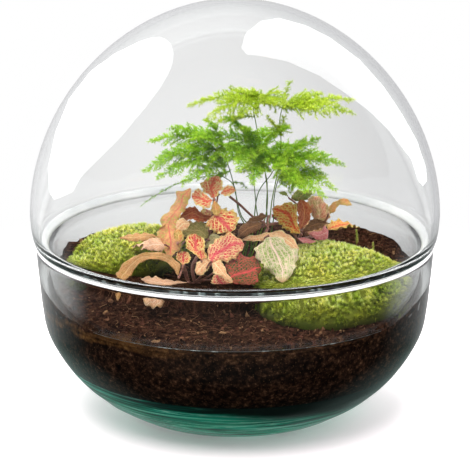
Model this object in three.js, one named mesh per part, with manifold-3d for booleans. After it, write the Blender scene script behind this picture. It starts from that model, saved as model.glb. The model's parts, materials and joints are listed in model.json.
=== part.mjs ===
// Glass plant terrarium: a two-piece blown-glass vessel with soil, two moss
// cushions, an asparagus fern and two clumps of nerve plant.
// Units are millimetres, +Z is up, and the origin is the middle of the base.
import * as THREE from 'three';
import { mergeVertices } from 'three/addons/utils/BufferGeometryUtils.js';
import Module from 'manifold-3d';

const wasm = await Module();
wasm.setup();
const { Manifold, Mesh } = wasm;

// ---- driving dimensions ----------------------------------------------------
const BELLY_RADIUS = 150;      // widest point, on the dome
const BELLY_HEIGHT = 145.9;
const RIM_HEIGHT = 125;        // top of the bowl's rim
const APEX_HEIGHT = 302.2;     // top of the dome
const BASE_RADIUS = 76;        // flat ring that the bowl stands on
const DOME_WALL = 4.0;
const DOME_POWER = 2 / 1.91;   // slightly fuller than a circle
const COLLAR_BOTTOM = 84;      // lower edge of the dome's collar
const SEAT_GAP = 0.3;          // between the rim and the dome that rests on it
const SOIL_GAP = 0.35;         // between the soil and the glass
const TOUCH = 0.3;             // gap between pieces that touch
const SEGMENTS = 40;           // round the vessel
const BLADE = 1.1;             // thickness of a leaf blade
const SPRAY = 1.6;             // thickness of a fern spray

// bowl outside and inside, as [radius, height]
const BOWL_OUTSIDE = [
  [0, 0], [BASE_RADIUS, 0], [84, 1.4], [101.4, 12.2], [114.5, 23], [124.6, 34.3], [133.5, 48],
  [140.0, 62.4], [142.6, 78], [144.1, 94.2], [145.6, 112], [146.3, 123.2], [145.6, 124.6],
];
const BOWL_INSIDE = [
  [142.4, 124.6], [141.6, 123.2], [140.7, 112], [139.1, 94.2], [137.4, 78], [134.6, 62.4],
  [127.6, 48], [117.5, 36], [103, 26.5], [84, 20.5], [58, 17.6], [30, 16.6], [0, 16.4],
];
const BOWL = [...BOWL_OUTSIDE, [144.6, RIM_HEIGHT], [143.4, RIM_HEIGHT], ...BOWL_INSIDE];

// ---- helpers ----------------------------------------------------------------
function lathe(points, segments = SEGMENTS) {
  const g = new THREE.LatheGeometry(points.map(([r, z]) => new THREE.Vector2(r, z)), segments);
  g.rotateX(Math.PI / 2);      // the lathe turns about Y; stand it up on Z
  return g;
}

// a closed solid from a geometry
function solid(geometry) {
  let g = geometry.clone();
  g.deleteAttribute('normal');
  g.deleteAttribute('uv');
  g = mergeVertices(g, 1e-3);
  const p = g.attributes.position.array;
  const idx = g.index.array;
  const tri = [];
  for (let i = 0; i < idx.length; i += 3) {
    const [a, b, c] = [idx[i], idx[i + 1], idx[i + 2]];
    if (a !== b && b !== c && a !== c) tri.push(a, b, c);
  }
  let m = new Manifold(new Mesh({ numProp: 3, vertProperties: new Float32Array(p), triVerts: new Uint32Array(tri) }));
  if (m.volume() < 0) {
    const flip = [];
    for (let i = 0; i < tri.length; i += 3) flip.push(tri[i], tri[i + 2], tri[i + 1]);
    m = new Manifold(new Mesh({ numProp: 3, vertProperties: new Float32Array(p), triVerts: new Uint32Array(flip) }));
  }
  return m;
}

// the biggest piece, so that a trimmed part stays one body
function biggest(manifold) {
  const parts = manifold.decompose();
  return parts.reduce((a, b) => (b.volume() > a.volume() ? b : a));
}

function geometryOf(manifold) {
  const bare = (body) => {
    const m = body.getMesh();
    const g = new THREE.BufferGeometry();
    g.setAttribute('position', new THREE.BufferAttribute(Float32Array.from(m.vertProperties), 3));
    g.setIndex(Array.from(m.triVerts));
    return g;
  };
  // slivers that close up when near points are joined are left out
  const g = bare(biggest(solid(bare(manifold))));
  g.computeVertexNormals();
  return g;
}

const V = (p) => new THREE.Vector3(p[0], p[1], p[2]);

// A thin blade through three lines: left edge, midrib and right edge. grow
// makes it a little larger all round, for cutting clearances.
function blade([left, mid, right], thick, grow = 0, keep = null) {
  const rows = keep ?? left.map((_, i) => i);
  const nu = rows.length - 1;
  const g = new THREE.BoxGeometry(1, 1, 1, nu, 2, 1);
  const pos = g.attributes.position;
  const at = (iu, iv) => {
    const r = rows[iu];
    return V(iv === 0 ? left[r] : iv === 1 ? mid[r] : right[r]);
  };
  const normal = (iu, iv) => {
    const u0 = Math.max(iu - 1, 0);
    const u1 = Math.min(iu + 1, nu);
    const v0 = Math.max(iv - 1, 0);
    const v1 = Math.min(iv + 1, 2);
    const du = at(u1, iv === 1 ? 1 : iv).sub(at(u0, iv === 1 ? 1 : iv));
    const dv = at(iu, v1).sub(at(iu, v0));
    const mid1 = at(Math.min(Math.max(iu, 1), nu - 1), 2).sub(at(Math.min(Math.max(iu, 1), nu - 1), 0));
    return du.cross(dv.length() > 2.5 ? dv : mid1).normalize();
  };
  for (let k = 0; k < pos.count; k++) {
    const iu = Math.round((pos.getX(k) + 0.5) * nu);
    const iv = Math.round((pos.getY(k) + 0.5) * 2);
    const side = pos.getZ(k);
    const p = at(iu, iv);
    const n = normal(iu, iv);
    if (grow) {
      const across = at(iu, 0).sub(at(iu, 2)).normalize();
      const along = at(Math.min(iu + 1, nu), 1).sub(at(Math.max(iu - 1, 0), 1)).normalize();
      if (iv === 0) p.addScaledVector(across, grow);
      if (iv === 2) p.addScaledVector(across, -grow);
      if (iu === 0) p.addScaledVector(along, -grow);
      if (iu === nu) p.addScaledVector(along, grow);
    }
    p.addScaledVector(n, side * (thick + 2 * grow));
    pos.setXYZ(k, p.x, p.y, p.z);
  }
  return solid(g);
}

// a stalk along a smooth line, five-sided, or four-sided if it is thin
function stalk(points, radius, steps = 4) {
  const path = new THREE.CatmullRomCurve3(points.map(V), false, 'centripetal');
  const sides = radius < 1.35 ? 4 : 5;
  const shape = new THREE.Shape();
  for (let i = 0; i < sides; i++) {
    const a = (i / sides) * Math.PI * 2;
    if (i === 0) shape.moveTo(radius * Math.cos(a), radius * Math.sin(a));
    else shape.lineTo(radius * Math.cos(a), radius * Math.sin(a));
  }
  shape.closePath();
  return solid(new THREE.ExtrudeGeometry(shape, { steps, bevelEnabled: false, extrudePath: path }));
}

const union = (list) => list.reduce((a, b) => a.add(b));
function near(a, b) {
  const p = a.boundingBox();
  const q = b.boundingBox();
  for (let i = 0; i < 3; i++) if (p.min[i] > q.max[i] || q.min[i] > p.max[i]) return false;
  return true;
}
function trim(body, cutters) {
  let out = body;
  for (const c of cutters) if (near(out, c)) out = out.subtract(c);
  return out;
}

const terrarium = new THREE.Group();
terrarium.name = 'terrarium';
function piece(group, name, geometry, colour, roughness, extra = {}) {
  const material = new THREE.MeshStandardMaterial({ color: colour, roughness, metalness: 0, ...extra });
  const mesh = new THREE.Mesh(geometry, material);
  mesh.name = name;
  group.add(mesh);
  return mesh;
}

// ---- glass -------------------------------------------------------------------
const vessel = new THREE.Group();
terrarium.add(vessel);
piece(vessel, 'glass_bowl', lathe(BOWL), 0xdfe9e6, 0.05, { transparent: true, opacity: 0.35 });

// the dome in its own frame: height 0 is the face that rests on the rim
const seat = RIM_HEIGHT + SEAT_GAP;
const arc = (rMax, apex, steps, from, to) => {
  const out = [];
  for (let i = 0; i <= steps; i++) {
    const t = from + ((to - from) * i) / steps;
    out.push([rMax * Math.cos(t) ** DOME_POWER, BELLY_HEIGHT - seat + (apex - BELLY_HEIGHT) * Math.sin(t) ** DOME_POWER]);
  }
  return out;
};
const H = (z) => z - seat;
const outside = arc(BELLY_RADIUS, APEX_HEIGHT, 9, Math.PI / 2, 0);
const inside = arc(BELLY_RADIUS - DOME_WALL, APEX_HEIGHT - DOME_WALL, 8, 0, Math.PI / 2);
outside[0][0] = 0;
inside[inside.length - 1][0] = 0;
const DOME = [
  ...outside, [149.5, H(138.5)], [148.9, H(133.2)], [147.9, H(129.2)], [146.4, H(126.3)], [145.2, H(125.3)], [142.4, H(125.3)],
  [140.6, H(123.6)], [138.9, H(116)], [137.6, H(108)], [136.6, H(96)], [136.0, H(85.2)], [134.8, H(COLLAR_BOTTOM)],
  [133.4, H(COLLAR_BOTTOM)], [132.4, H(85.2)], [132.8, H(96)], [133.6, H(108)], [134.6, H(117)], [136.2, H(122.8)],
  [139.6, H(127.2)], [143.4, H(130.6)], [145.0, H(134.5)], [145.6, H(139)],
  ...inside,
];
const lid = new THREE.Group();
lid.position.set(0, 0, seat);
vessel.add(lid);
piece(lid, 'glass_dome', lathe(DOME.reverse()), 0xe6eeec, 0.05, { transparent: true, opacity: 0.3 });

// ---- soil ----------------------------------------------------------------------
// Height of the soil's surface, from points that it passes near: [x, y, height].
const SURFACE = [
  [0, -131, 84], [60, -115, 83.5], [-60, -115, 85.5], [105, -76, 87], [-104, -76, 90], [130, -6, 101], [-129, -12, 100], [127, -38, 91], [-126, 25, 112],
  [118, 55, 110], [-118, 55, 109], [95, 88, 109], [-90, 92, 104.5], [45, 122, 101], [-45, 122, 101], [0, 130, 99],
  [0, 0, 99], [50, -40, 93.5], [-50, -40, 95], [0, -80, 88], [-90, -20, 101], [90, -20, 97], [60, 50, 107],
  [-60, 50, 106.5], [0, 60, 103], [60, -85, 86.5], [-60, -85, 88.5], [30, 90, 104], [-30, 90, 103.5],
];
function surface(x, y) {
  let sum = 0;
  let weight = 0;
  for (const [px, py, h] of SURFACE) {
    const d = (x - px) ** 2 + (y - py) ** 2 + 60;
    const w = 1 / d ** 1.6;
    sum += w * h;
    weight += w;
  }
  return sum / weight;
}
const soilRadius = (r, z) => [r - SOIL_GAP, z];
const soilSide = BOWL_INSIDE.slice(4).reverse().map(([r, z]) => (r === 0 ? [0, z + SOIL_GAP] : [r - SOIL_GAP * 0.85, z + SOIL_GAP * 0.55]));
soilSide[soilSide.length - 1] = soilRadius(...BOWL_INSIDE[4]);
const RINGS = [131.9, 130.6, 122, 104, 82, 58, 30, 0];
const soilProfile = [...soilSide, [137.6, 82.2], ...RINGS.map((r, i) => [r, 200 + i])];
const soilGeometry = lathe(soilProfile);
{
  const pos = soilGeometry.attributes.position;
  for (let i = 0; i < pos.count; i++) {
    const z = pos.getZ(i);
    if (z < 199) continue;
    const x = pos.getX(i);
    const y = pos.getY(i);
    const r = Math.hypot(x, y);
    pos.setZ(i, r > 131 ? 82.6 : surface(x, y));
  }
}
const soil = solid(soilGeometry);
const contents = new THREE.Group();
terrarium.add(contents);
piece(contents, 'soil', geometryOf(soil), 0x2b1c15, 0.95);
const soilUp = soil.translate(0, 0, TOUCH);

// ---- leaves ----------------------------------------------------------------------
// Each blade: left edge, midrib and right edge, from the stalk to the tip.
const LEAVES = {
  nerve_leaf_top_up: [
    [[-16.2,-18.8,160.5],[-17.9,-18.8,162.1],[-20.1,-18.1,163.7],[-22.3,-17.3,165.2],[-24.3,-16.4,167.0],[-25.0,-15.0,169.4],[-23.9,-13.5,171.5],[-21.5,-12.5,172.8],[-19.1,-11.4,174.0],[-16.6,-10.6,174.8],[-14.4,-9.4,175.0]],
    [[-15.6,-18.8,160.4],[-15.8,-17.4,161.4],[-16.3,-16.0,162.8],[-16.9,-14.6,164.3],[-17.2,-13.4,165.9],[-17.1,-12.1,167.8],[-16.4,-10.8,169.9],[-15.4,-9.9,171.5],[-14.7,-9.2,173.1],[-14.1,-9.0,174.3],[-13.8,-9.4,174.9]],
    [[-15.1,-18.8,160.3],[-13.7,-18.7,161.3],[-12.5,-17.5,162.8],[-11.5,-16.3,164.5],[-10.1,-15.1,165.9],[-9.1,-13.9,167.6],[-8.9,-12.7,169.5],[-9.3,-11.6,171.4],[-10.2,-10.7,173.2],[-11.7,-10.1,174.5],[-13.3,-9.3,174.9]],
  ],
  nerve_leaf_top_left: [
    [[-16.4,-26.9,161.8],[-17.8,-27.7,162.9],[-19.3,-27.1,164.1],[-20.9,-26.2,165.3],[-22.5,-25.0,166.3],[-24.1,-23.7,167.2],[-25.8,-22.2,167.9],[-27.8,-21.7,167.5],[-29.5,-21.7,166.4],[-30.8,-22.0,164.8],[-31.2,-21.4,163.1]],
    [[-16.3,-27.3,161.5],[-17.4,-28.0,161.2],[-18.7,-28.5,161.0],[-20.1,-28.7,160.8],[-22.0,-27.7,161.4],[-23.9,-26.4,162.1],[-25.9,-25.3,162.6],[-27.8,-24.3,162.8],[-29.4,-23.4,162.9],[-30.7,-22.6,162.8],[-31.2,-21.8,162.8]],
    [[-16.2,-27.8,161.1],[-17.1,-31.0,160.2],[-18.0,-33.5,158.8],[-19.3,-35.5,157.5],[-21.5,-35.1,157.8],[-23.6,-34.0,158.3],[-25.8,-33.0,158.5],[-27.8,-31.2,159.3],[-29.2,-28.7,160.4],[-30.6,-25.8,161.5],[-31.2,-22.3,162.4]],
  ],
  nerve_leaf_hanging: [
    [[-15.2,-32.4,162.1],[-15.4,-33.7,161.4],[-16.1,-34.8,160.5],[-16.6,-35.6,159.5],[-16.9,-36.3,158.3],[-17.1,-36.9,157.1],[-16.8,-37.2,155.9],[-16.1,-37.3,154.7],[-15.2,-37.1,153.7],[-14.1,-36.7,152.8],[-13.4,-35.8,151.9]],
    [[-14.7,-32.2,162.2],[-14.5,-32.9,161.4],[-14.3,-33.4,160.5],[-14.1,-34.0,159.5],[-13.9,-34.5,158.4],[-13.8,-35.0,157.2],[-13.6,-35.3,156.0],[-13.3,-35.6,154.8],[-13.2,-35.8,153.7],[-13.0,-35.8,152.8],[-12.9,-35.7,152.0]],
    [[-14.2,-32.1,162.3],[-13.6,-33.3,161.7],[-12.5,-33.9,161.0],[-11.6,-34.5,160.2],[-10.9,-34.9,159.1],[-10.4,-35.4,157.9],[-10.3,-35.8,156.7],[-10.5,-36.1,155.4],[-11.1,-36.2,154.2],[-12.0,-36.2,153.1],[-12.4,-35.6,152.0]],
  ],
  nerve_leaf_top_small: [
    [[-10.4,-14.4,163.1],[-9.7,-14.6,164.2],[-9.0,-13.7,165.5],[-8.0,-12.8,166.6],[-6.9,-11.6,167.4],[-5.5,-10.6,168.0],[-4.0,-9.8,168.1],[-2.5,-9.5,167.5],[-1.2,-9.6,166.5],[-0.2,-9.7,165.3],[0.7,-9.0,164.2]],
    [[-10.3,-14.8,162.8],[-9.4,-14.8,163.2],[-8.5,-14.6,163.7],[-7.4,-14.3,164.1],[-6.2,-13.7,164.4],[-4.9,-12.9,164.7],[-3.6,-12.0,165.0],[-2.3,-11.3,164.9],[-1.2,-10.7,164.7],[-0.2,-10.1,164.3],[0.7,-9.4,163.9]],
    [[-10.2,-15.2,162.4],[-9.2,-16.4,162.6],[-8.0,-17.3,162.4],[-6.8,-17.9,162.1],[-5.5,-18.1,162.0],[-4.3,-17.6,162.1],[-3.2,-16.6,162.5],[-2.2,-15.2,162.9],[-1.2,-13.7,163.3],[-0.2,-11.8,163.7],[0.7,-9.8,163.5]],
  ],
  nerve_leaf_round: [
    [[-14.4,-31.6,151.6],[-16.4,-32.6,150.3],[-18.6,-34.5,148.8],[-20.2,-36.7,146.9],[-19.5,-38.9,144.6],[-17.5,-40.5,142.7],[-15.0,-41.4,141.4],[-12.1,-41.5,140.9],[-9.1,-41.1,140.7],[-6.1,-40.7,140.4],[-3.7,-40.5,140.7]],
    [[-14.0,-31.3,151.9],[-14.0,-32.3,152.3],[-13.6,-33.4,152.1],[-12.8,-34.8,151.3],[-10.9,-36.3,149.9],[-8.7,-37.9,148.1],[-6.6,-39.2,146.3],[-5.0,-40.1,144.6],[-4.0,-40.7,143.2],[-3.5,-40.8,141.8],[-3.2,-40.3,140.9]],
    [[-13.6,-31.1,152.1],[-11.6,-29.3,153.5],[-8.6,-28.6,154.4],[-5.4,-28.6,154.5],[-2.3,-29.0,153.9],[0.2,-30.4,152.2],[1.7,-32.3,149.9],[2.1,-34.5,147.2],[1.1,-36.6,144.7],[-0.8,-38.3,142.5],[-2.8,-40.1,141.1]],
  ],
  nerve_leaf_tall: [
    [[-46.1,-38.0,132.6],[-48.8,-35.2,136.1],[-51.6,-32.4,140.1],[-53.5,-29.5,144.4],[-52.3,-27.7,149.0],[-48.7,-27.0,152.9],[-45.0,-26.2,156.7],[-42.6,-24.3,161.1],[-42.0,-21.5,165.8],[-37.2,-22.1,167.2],[-32.5,-22.6,169.1]],
    [[-45.7,-38.2,132.5],[-45.5,-37.6,135.9],[-46.3,-35.8,139.9],[-47.0,-33.8,144.2],[-46.4,-32.0,148.5],[-43.9,-30.9,152.3],[-40.8,-30.0,155.9],[-38.5,-28.3,159.8],[-37.4,-25.7,163.9],[-34.5,-24.5,166.3],[-32.0,-22.9,168.9]],
    [[-45.2,-38.5,132.5],[-42.2,-38.3,135.2],[-41.1,-37.1,139.2],[-40.6,-35.4,143.2],[-40.6,-33.5,147.2],[-39.3,-31.9,150.9],[-36.6,-31.0,154.2],[-34.5,-29.6,157.7],[-33.0,-27.7,161.4],[-31.8,-25.4,165.1],[-31.6,-23.1,168.8]],
  ],
  nerve_leaf_left: [
    [[-47.3,-50.8,125.4],[-48.6,-50.8,127.9],[-50.4,-49.6,130.2],[-52.2,-48.3,132.4],[-53.8,-46.7,134.7],[-55.0,-44.9,137.1],[-55.5,-42.9,139.7],[-55.0,-40.9,142.3],[-53.3,-39.2,144.4],[-50.8,-37.7,145.9],[-48.7,-35.6,146.7]],
    [[-46.8,-50.9,125.4],[-46.2,-49.7,127.2],[-45.9,-48.2,129.3],[-45.8,-46.6,131.6],[-45.7,-44.9,134.0],[-46.0,-43.0,136.7],[-46.6,-41.0,139.5],[-47.2,-39.0,142.0],[-47.5,-37.5,144.2],[-47.9,-36.4,145.6],[-48.1,-35.6,146.7]],
    [[-46.2,-51.0,125.3],[-43.8,-51.8,127.5],[-41.3,-51.2,129.8],[-39.2,-50.2,132.3],[-37.5,-48.8,135.0],[-36.8,-46.9,137.9],[-37.5,-44.7,140.8],[-39.2,-42.4,143.3],[-41.7,-40.2,145.2],[-44.8,-38.3,146.3],[-47.6,-35.7,146.8]],
  ],
  nerve_leaf_cream_small: [
    [[-41.5,-44.1,143.6],[-41.9,-43.0,144.6],[-42.2,-41.8,146.2],[-41.7,-40.4,147.7],[-41.0,-38.9,149.0],[-39.9,-37.6,150.2],[-38.1,-36.8,150.5],[-36.3,-36.7,150.2],[-34.8,-37.2,149.1],[-33.5,-37.8,148.0],[-32.4,-38.5,147.1]],
    [[-41.1,-44.3,143.2],[-40.9,-44.2,144.0],[-40.5,-43.8,144.8],[-39.7,-43.2,145.6],[-38.8,-42.4,146.4],[-37.8,-41.4,147.2],[-36.4,-40.7,147.6],[-35.1,-40.1,147.6],[-34.0,-39.8,147.4],[-33.1,-39.3,147.1],[-32.3,-38.9,146.7]],
    [[-40.7,-44.6,142.9],[-40.0,-44.3,143.0],[-38.9,-44.4,142.9],[-37.8,-44.3,143.0],[-36.7,-43.9,143.3],[-35.7,-43.4,143.7],[-34.8,-42.7,144.1],[-34.0,-41.8,144.6],[-33.2,-40.9,145.2],[-32.7,-39.8,145.9],[-32.1,-39.2,146.4]],
  ],
  nerve_leaf_yellow_small: [
    [[-40.7,-53.3,138.4],[-41.0,-53.6,139.1],[-41.9,-53.6,139.6],[-42.6,-53.5,140.3],[-43.1,-53.2,141.1],[-43.3,-52.7,142.0],[-43.4,-52.2,142.9],[-43.2,-51.6,143.8],[-42.9,-50.9,144.5],[-42.3,-50.2,145.2],[-42.1,-49.3,145.6]],
    [[-40.2,-53.2,138.4],[-40.1,-52.9,138.9],[-40.0,-52.5,139.4],[-40.1,-52.1,140.2],[-40.2,-51.6,141.1],[-40.3,-51.0,142.2],[-40.5,-50.4,143.2],[-40.8,-49.9,144.1],[-41.0,-49.5,144.9],[-41.3,-49.3,145.3],[-41.7,-49.1,145.7]],
    [[-39.6,-53.1,138.4],[-39.1,-53.2,139.0],[-38.1,-52.9,139.7],[-37.4,-52.4,140.6],[-37.2,-51.8,141.7],[-37.2,-51.2,142.9],[-37.6,-50.6,143.9],[-38.2,-50.0,144.9],[-39.1,-49.6,145.6],[-40.4,-49.5,145.8],[-41.2,-49.0,145.9]],
  ],
  nerve_leaf_red_curled: [
    [[-17.8,-22.2,148.5],[-20.3,-23.2,149.0],[-23.0,-23.4,149.9],[-25.4,-23.2,151.3],[-26.9,-22.7,153.7],[-29.3,-22.0,155.0],[-32.2,-21.4,154.8],[-34.7,-21.0,153.4],[-36.9,-20.5,151.4],[-38.7,-20.0,148.9],[-40.3,-18.8,146.5]],
    [[-17.5,-22.3,148.0],[-19.7,-22.9,147.5],[-22.0,-23.1,147.1],[-24.5,-23.0,147.6],[-26.5,-22.6,148.8],[-28.8,-21.9,149.9],[-31.4,-21.3,150.3],[-33.9,-20.9,149.2],[-36.2,-20.4,147.8],[-38.3,-19.7,147.0],[-40.2,-18.9,146.0]],
    [[-17.3,-22.5,147.6],[-19.0,-24.1,146.4],[-21.0,-25.1,145.0],[-23.5,-25.4,144.5],[-26.0,-25.3,144.6],[-28.3,-24.7,145.5],[-30.6,-23.9,146.5],[-33.0,-23.4,145.7],[-35.4,-22.6,144.8],[-37.8,-21.1,145.5],[-40.0,-19.1,145.5]],
  ],
  nerve_leaf_olive_back: [
    [[-19.5,-29.7,134.2],[-19.3,-29.1,136.7],[-19.4,-27.8,139.3],[-20.5,-26.4,141.8],[-22.3,-25.2,143.9],[-25.2,-24.9,144.5],[-28.1,-24.8,144.6],[-31.1,-25.1,144.1],[-33.9,-25.4,143.4],[-36.3,-26.1,141.8],[-38.1,-26.3,140.1]],
    [[-19.9,-29.9,133.9],[-20.7,-28.9,135.0],[-22.0,-27.9,136.1],[-23.7,-27.0,137.3],[-25.8,-26.3,138.3],[-28.4,-26.0,138.6],[-31.0,-26.0,138.7],[-33.6,-26.1,138.8],[-35.9,-26.1,139.2],[-37.4,-26.2,139.5],[-38.3,-26.5,139.7]],
    [[-20.2,-30.1,133.5],[-22.2,-30.7,133.9],[-24.5,-30.9,133.8],[-26.8,-31.0,133.8],[-29.1,-31.1,133.8],[-31.5,-31.1,133.8],[-33.8,-31.0,134.0],[-36.0,-30.6,134.6],[-37.8,-29.8,135.9],[-38.3,-28.5,137.8],[-38.6,-26.8,139.2]],
  ],
  nerve_leaf_pink_mid: [
    [[-24.4,-54.5,125.2],[-26.3,-54.2,126.6],[-28.3,-52.9,128.3],[-30.1,-51.4,130.2],[-33.0,-50.7,130.6],[-34.8,-49.0,132.4],[-34.2,-47.3,134.7],[-35.0,-45.4,136.8],[-33.9,-43.7,139.0],[-31.5,-42.7,140.3],[-29.2,-41.7,140.5]],
    [[-23.9,-54.6,125.1],[-23.9,-53.4,126.1],[-24.1,-51.8,127.6],[-25.5,-50.0,129.4],[-27.6,-48.7,130.4],[-28.4,-47.0,132.3],[-27.8,-45.4,134.5],[-28.7,-43.8,136.6],[-29.0,-42.5,138.5],[-28.9,-41.9,139.8],[-28.6,-41.8,140.5]],
    [[-23.3,-54.7,125.1],[-21.5,-55.2,126.3],[-19.9,-54.4,127.9],[-20.7,-52.9,129.9],[-22.2,-51.4,131.6],[-21.9,-49.8,133.7],[-21.3,-48.3,135.7],[-22.3,-46.5,137.7],[-24.0,-45.0,139.1],[-26.3,-43.7,140.0],[-28.1,-41.9,140.5]],
  ],
  nerve_leaf_pink_large: [
    [[-17.5,-57.9,123.8],[-19.2,-55.2,126.7],[-19.5,-52.3,130.3],[-18.3,-49.1,133.8],[-15.3,-46.7,136.1],[-11.5,-44.9,137.5],[-8.3,-42.1,139.8],[-4.0,-40.7,140.4],[0.2,-41.0,139.0],[3.6,-42.4,136.5],[6.3,-44.5,134.1]],
    [[-17.1,-58.1,123.5],[-16.6,-57.5,125.4],[-15.3,-56.0,127.8],[-13.2,-54.7,129.6],[-10.2,-53.7,130.7],[-7.2,-51.9,132.3],[-4.2,-50.0,133.5],[-1.2,-48.0,134.7],[2.0,-46.8,134.7],[4.7,-45.9,134.2],[6.4,-44.8,133.7]],
    [[-16.6,-58.3,123.2],[-14.0,-57.6,123.6],[-11.1,-56.9,124.4],[-8.1,-56.9,124.4],[-5.2,-56.9,124.2],[-3.0,-55.0,125.9],[-0.1,-54.2,126.3],[1.7,-51.9,128.1],[3.8,-49.7,129.6],[5.8,-47.3,131.3],[6.6,-45.2,133.3]],
  ],
  nerve_leaf_red_green: [
    [[-4.1,-62.3,113.4],[-5.3,-59.3,116.1],[-6.0,-56.2,119.5],[-5.2,-52.9,122.8],[-2.1,-50.6,124.8],[2.0,-49.2,125.7],[6.1,-48.3,126.0],[10.3,-48.2,125.6],[14.1,-49.1,123.9],[17.2,-51.0,121.5],[18.7,-53.9,118.8]],
    [[-3.9,-62.7,113.0],[-3.8,-63.4,113.6],[-2.7,-63.3,114.6],[-0.7,-62.5,115.9],[2.7,-61.6,116.7],[6.5,-60.9,117.2],[10.3,-59.7,117.7],[12.9,-57.9,118.6],[15.2,-56.4,119.1],[17.4,-55.2,119.0],[18.7,-54.3,118.5]],
    [[-3.7,-63.1,112.7],[-2.4,-65.4,110.5],[0.5,-67.4,108.9],[3.8,-68.5,107.9],[7.4,-68.9,107.5],[11.0,-68.6,107.5],[14.4,-67.3,108.3],[15.6,-64.2,110.7],[16.4,-60.8,113.3],[17.6,-57.3,115.8],[18.7,-54.7,118.1]],
  ],
  nerve_leaf_pale: [
    [[23.9,-39.9,137.3],[20.5,-41.8,135.6],[16.9,-45.1,133.5],[15.2,-49.4,130.5],[16.5,-53.7,127.2],[18.5,-57.5,124.1],[21.1,-60.9,121.3],[24.8,-62.8,119.3],[27.8,-65.5,116.8],[30.2,-68.7,113.9],[32.7,-72.2,111.6]],
    [[24.4,-39.8,137.5],[24.9,-41.7,137.0],[25.4,-44.9,135.3],[26.6,-48.8,132.8],[29.0,-52.7,129.9],[31.0,-56.9,126.7],[32.2,-60.9,123.3],[33.5,-64.0,120.5],[33.7,-67.1,117.4],[33.7,-70.2,114.2],[33.2,-72.2,111.5]],
    [[24.9,-39.6,137.6],[29.5,-38.4,137.5],[34.0,-40.3,135.9],[38.2,-42.9,133.7],[41.8,-46.2,131.0],[43.7,-50.5,127.5],[43.5,-55.3,123.7],[42.2,-60.0,120.1],[39.8,-64.3,116.7],[37.2,-68.5,113.5],[33.8,-72.2,111.5]],
  ],
  nerve_leaf_pale_back: [
    [[5.0,-21.7,130.4],[9.2,-20.4,132.4],[14.0,-20.3,133.4],[18.9,-20.5,133.9],[23.7,-19.9,134.8],[28.5,-18.8,135.8],[33.4,-18.6,135.8],[38.0,-19.9,134.4],[41.8,-22.2,131.9],[44.5,-25.3,128.6],[46.5,-28.4,125.2]],
    [[5.1,-22.1,130.1],[9.4,-22.5,131.3],[14.0,-23.4,131.8],[18.7,-23.8,132.3],[23.3,-23.4,133.0],[28.0,-22.8,133.6],[32.6,-23.2,133.2],[36.8,-24.7,131.6],[40.5,-26.6,129.2],[43.6,-28.9,126.3],[46.4,-28.8,124.9]],
    [[5.1,-22.5,129.8],[9.5,-23.6,129.9],[14.0,-24.9,129.8],[18.5,-25.3,130.1],[23.0,-25.1,130.7],[27.4,-25.0,131.0],[31.8,-25.9,130.1],[35.7,-27.7,128.3],[39.3,-29.6,126.1],[42.7,-31.5,123.7],[46.2,-29.2,124.6]],
  ],
  nerve_leaf_tan_flat: [
    [[-55.6,-38.7,137.7],[-58.1,-37.9,138.3],[-60.7,-36.8,139.1],[-63.5,-36.5,139.4],[-66.3,-36.4,139.4],[-69.1,-36.3,139.3],[-71.9,-36.3,139.0],[-74.7,-36.2,138.5],[-77.4,-36.2,137.9],[-80.0,-36.6,137.0],[-82.6,-36.8,136.2]],
    [[-55.6,-39.2,137.5],[-58.1,-39.7,137.8],[-60.7,-40.1,138.0],[-63.4,-40.6,138.0],[-66.1,-40.9,137.9],[-68.9,-40.9,137.7],[-71.7,-40.8,137.4],[-74.4,-40.4,137.1],[-77.2,-39.4,136.9],[-79.9,-38.4,136.5],[-82.5,-37.3,136.0]],
    [[-55.6,-39.7,137.2],[-58.1,-40.5,137.0],[-60.7,-41.8,136.5],[-63.4,-42.9,136.1],[-66.1,-43.4,135.8],[-68.8,-43.5,135.5],[-71.5,-43.4,135.2],[-74.3,-42.8,135.1],[-77.1,-41.0,135.4],[-79.8,-39.1,135.7],[-82.5,-37.7,135.7]],
  ],
  nerve_leaf_tan_mid: [
    [[-50.4,-54.0,136.1],[-51.5,-52.6,137.1],[-53.0,-51.1,138.4],[-54.9,-49.9,139.4],[-57.0,-49.3,139.7],[-59.1,-49.7,139.1],[-61.0,-50.4,138.2],[-62.8,-51.2,137.0],[-64.3,-52.1,135.6],[-65.5,-53.3,134.0],[-66.8,-54.5,132.8]],
    [[-50.2,-54.4,135.8],[-50.6,-55.3,135.9],[-51.8,-55.7,136.1],[-53.7,-55.6,136.4],[-55.7,-55.4,136.5],[-57.8,-55.4,136.3],[-59.7,-55.4,135.8],[-61.6,-55.2,135.3],[-63.4,-55.0,134.6],[-65.0,-54.9,133.7],[-66.6,-54.9,132.5]],
    [[-50.0,-54.8,135.4],[-49.8,-56.4,134.3],[-50.6,-58.1,133.1],[-52.6,-58.6,132.7],[-54.5,-58.6,132.5],[-56.6,-58.2,132.6],[-58.6,-57.6,132.7],[-60.6,-56.7,132.8],[-62.6,-55.7,133.0],[-64.6,-54.9,132.9],[-66.3,-55.3,132.2]],
  ],
  nerve_leaf_tan_arched: [
    [[-39.4,-72.6,119.3],[-38.8,-68.9,125.3],[-44.2,-65.3,130.1],[-51.4,-63.1,132.6],[-59.3,-62.5,132.9],[-67.0,-62.9,131.7],[-73.9,-64.7,128.4],[-79.8,-67.5,123.9],[-83.6,-71.3,118.1],[-83.8,-75.9,111.4],[-81.2,-80.0,105.3]],
    [[-39.9,-72.7,119.1],[-41.1,-69.5,124.3],[-46.1,-66.6,128.4],[-52.5,-64.8,130.5],[-59.4,-64.3,130.7],[-66.1,-64.9,129.4],[-71.7,-67.0,126.0],[-76.1,-69.9,121.5],[-79.4,-73.2,116.4],[-80.9,-76.8,110.7],[-80.7,-80.2,105.2]],
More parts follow.
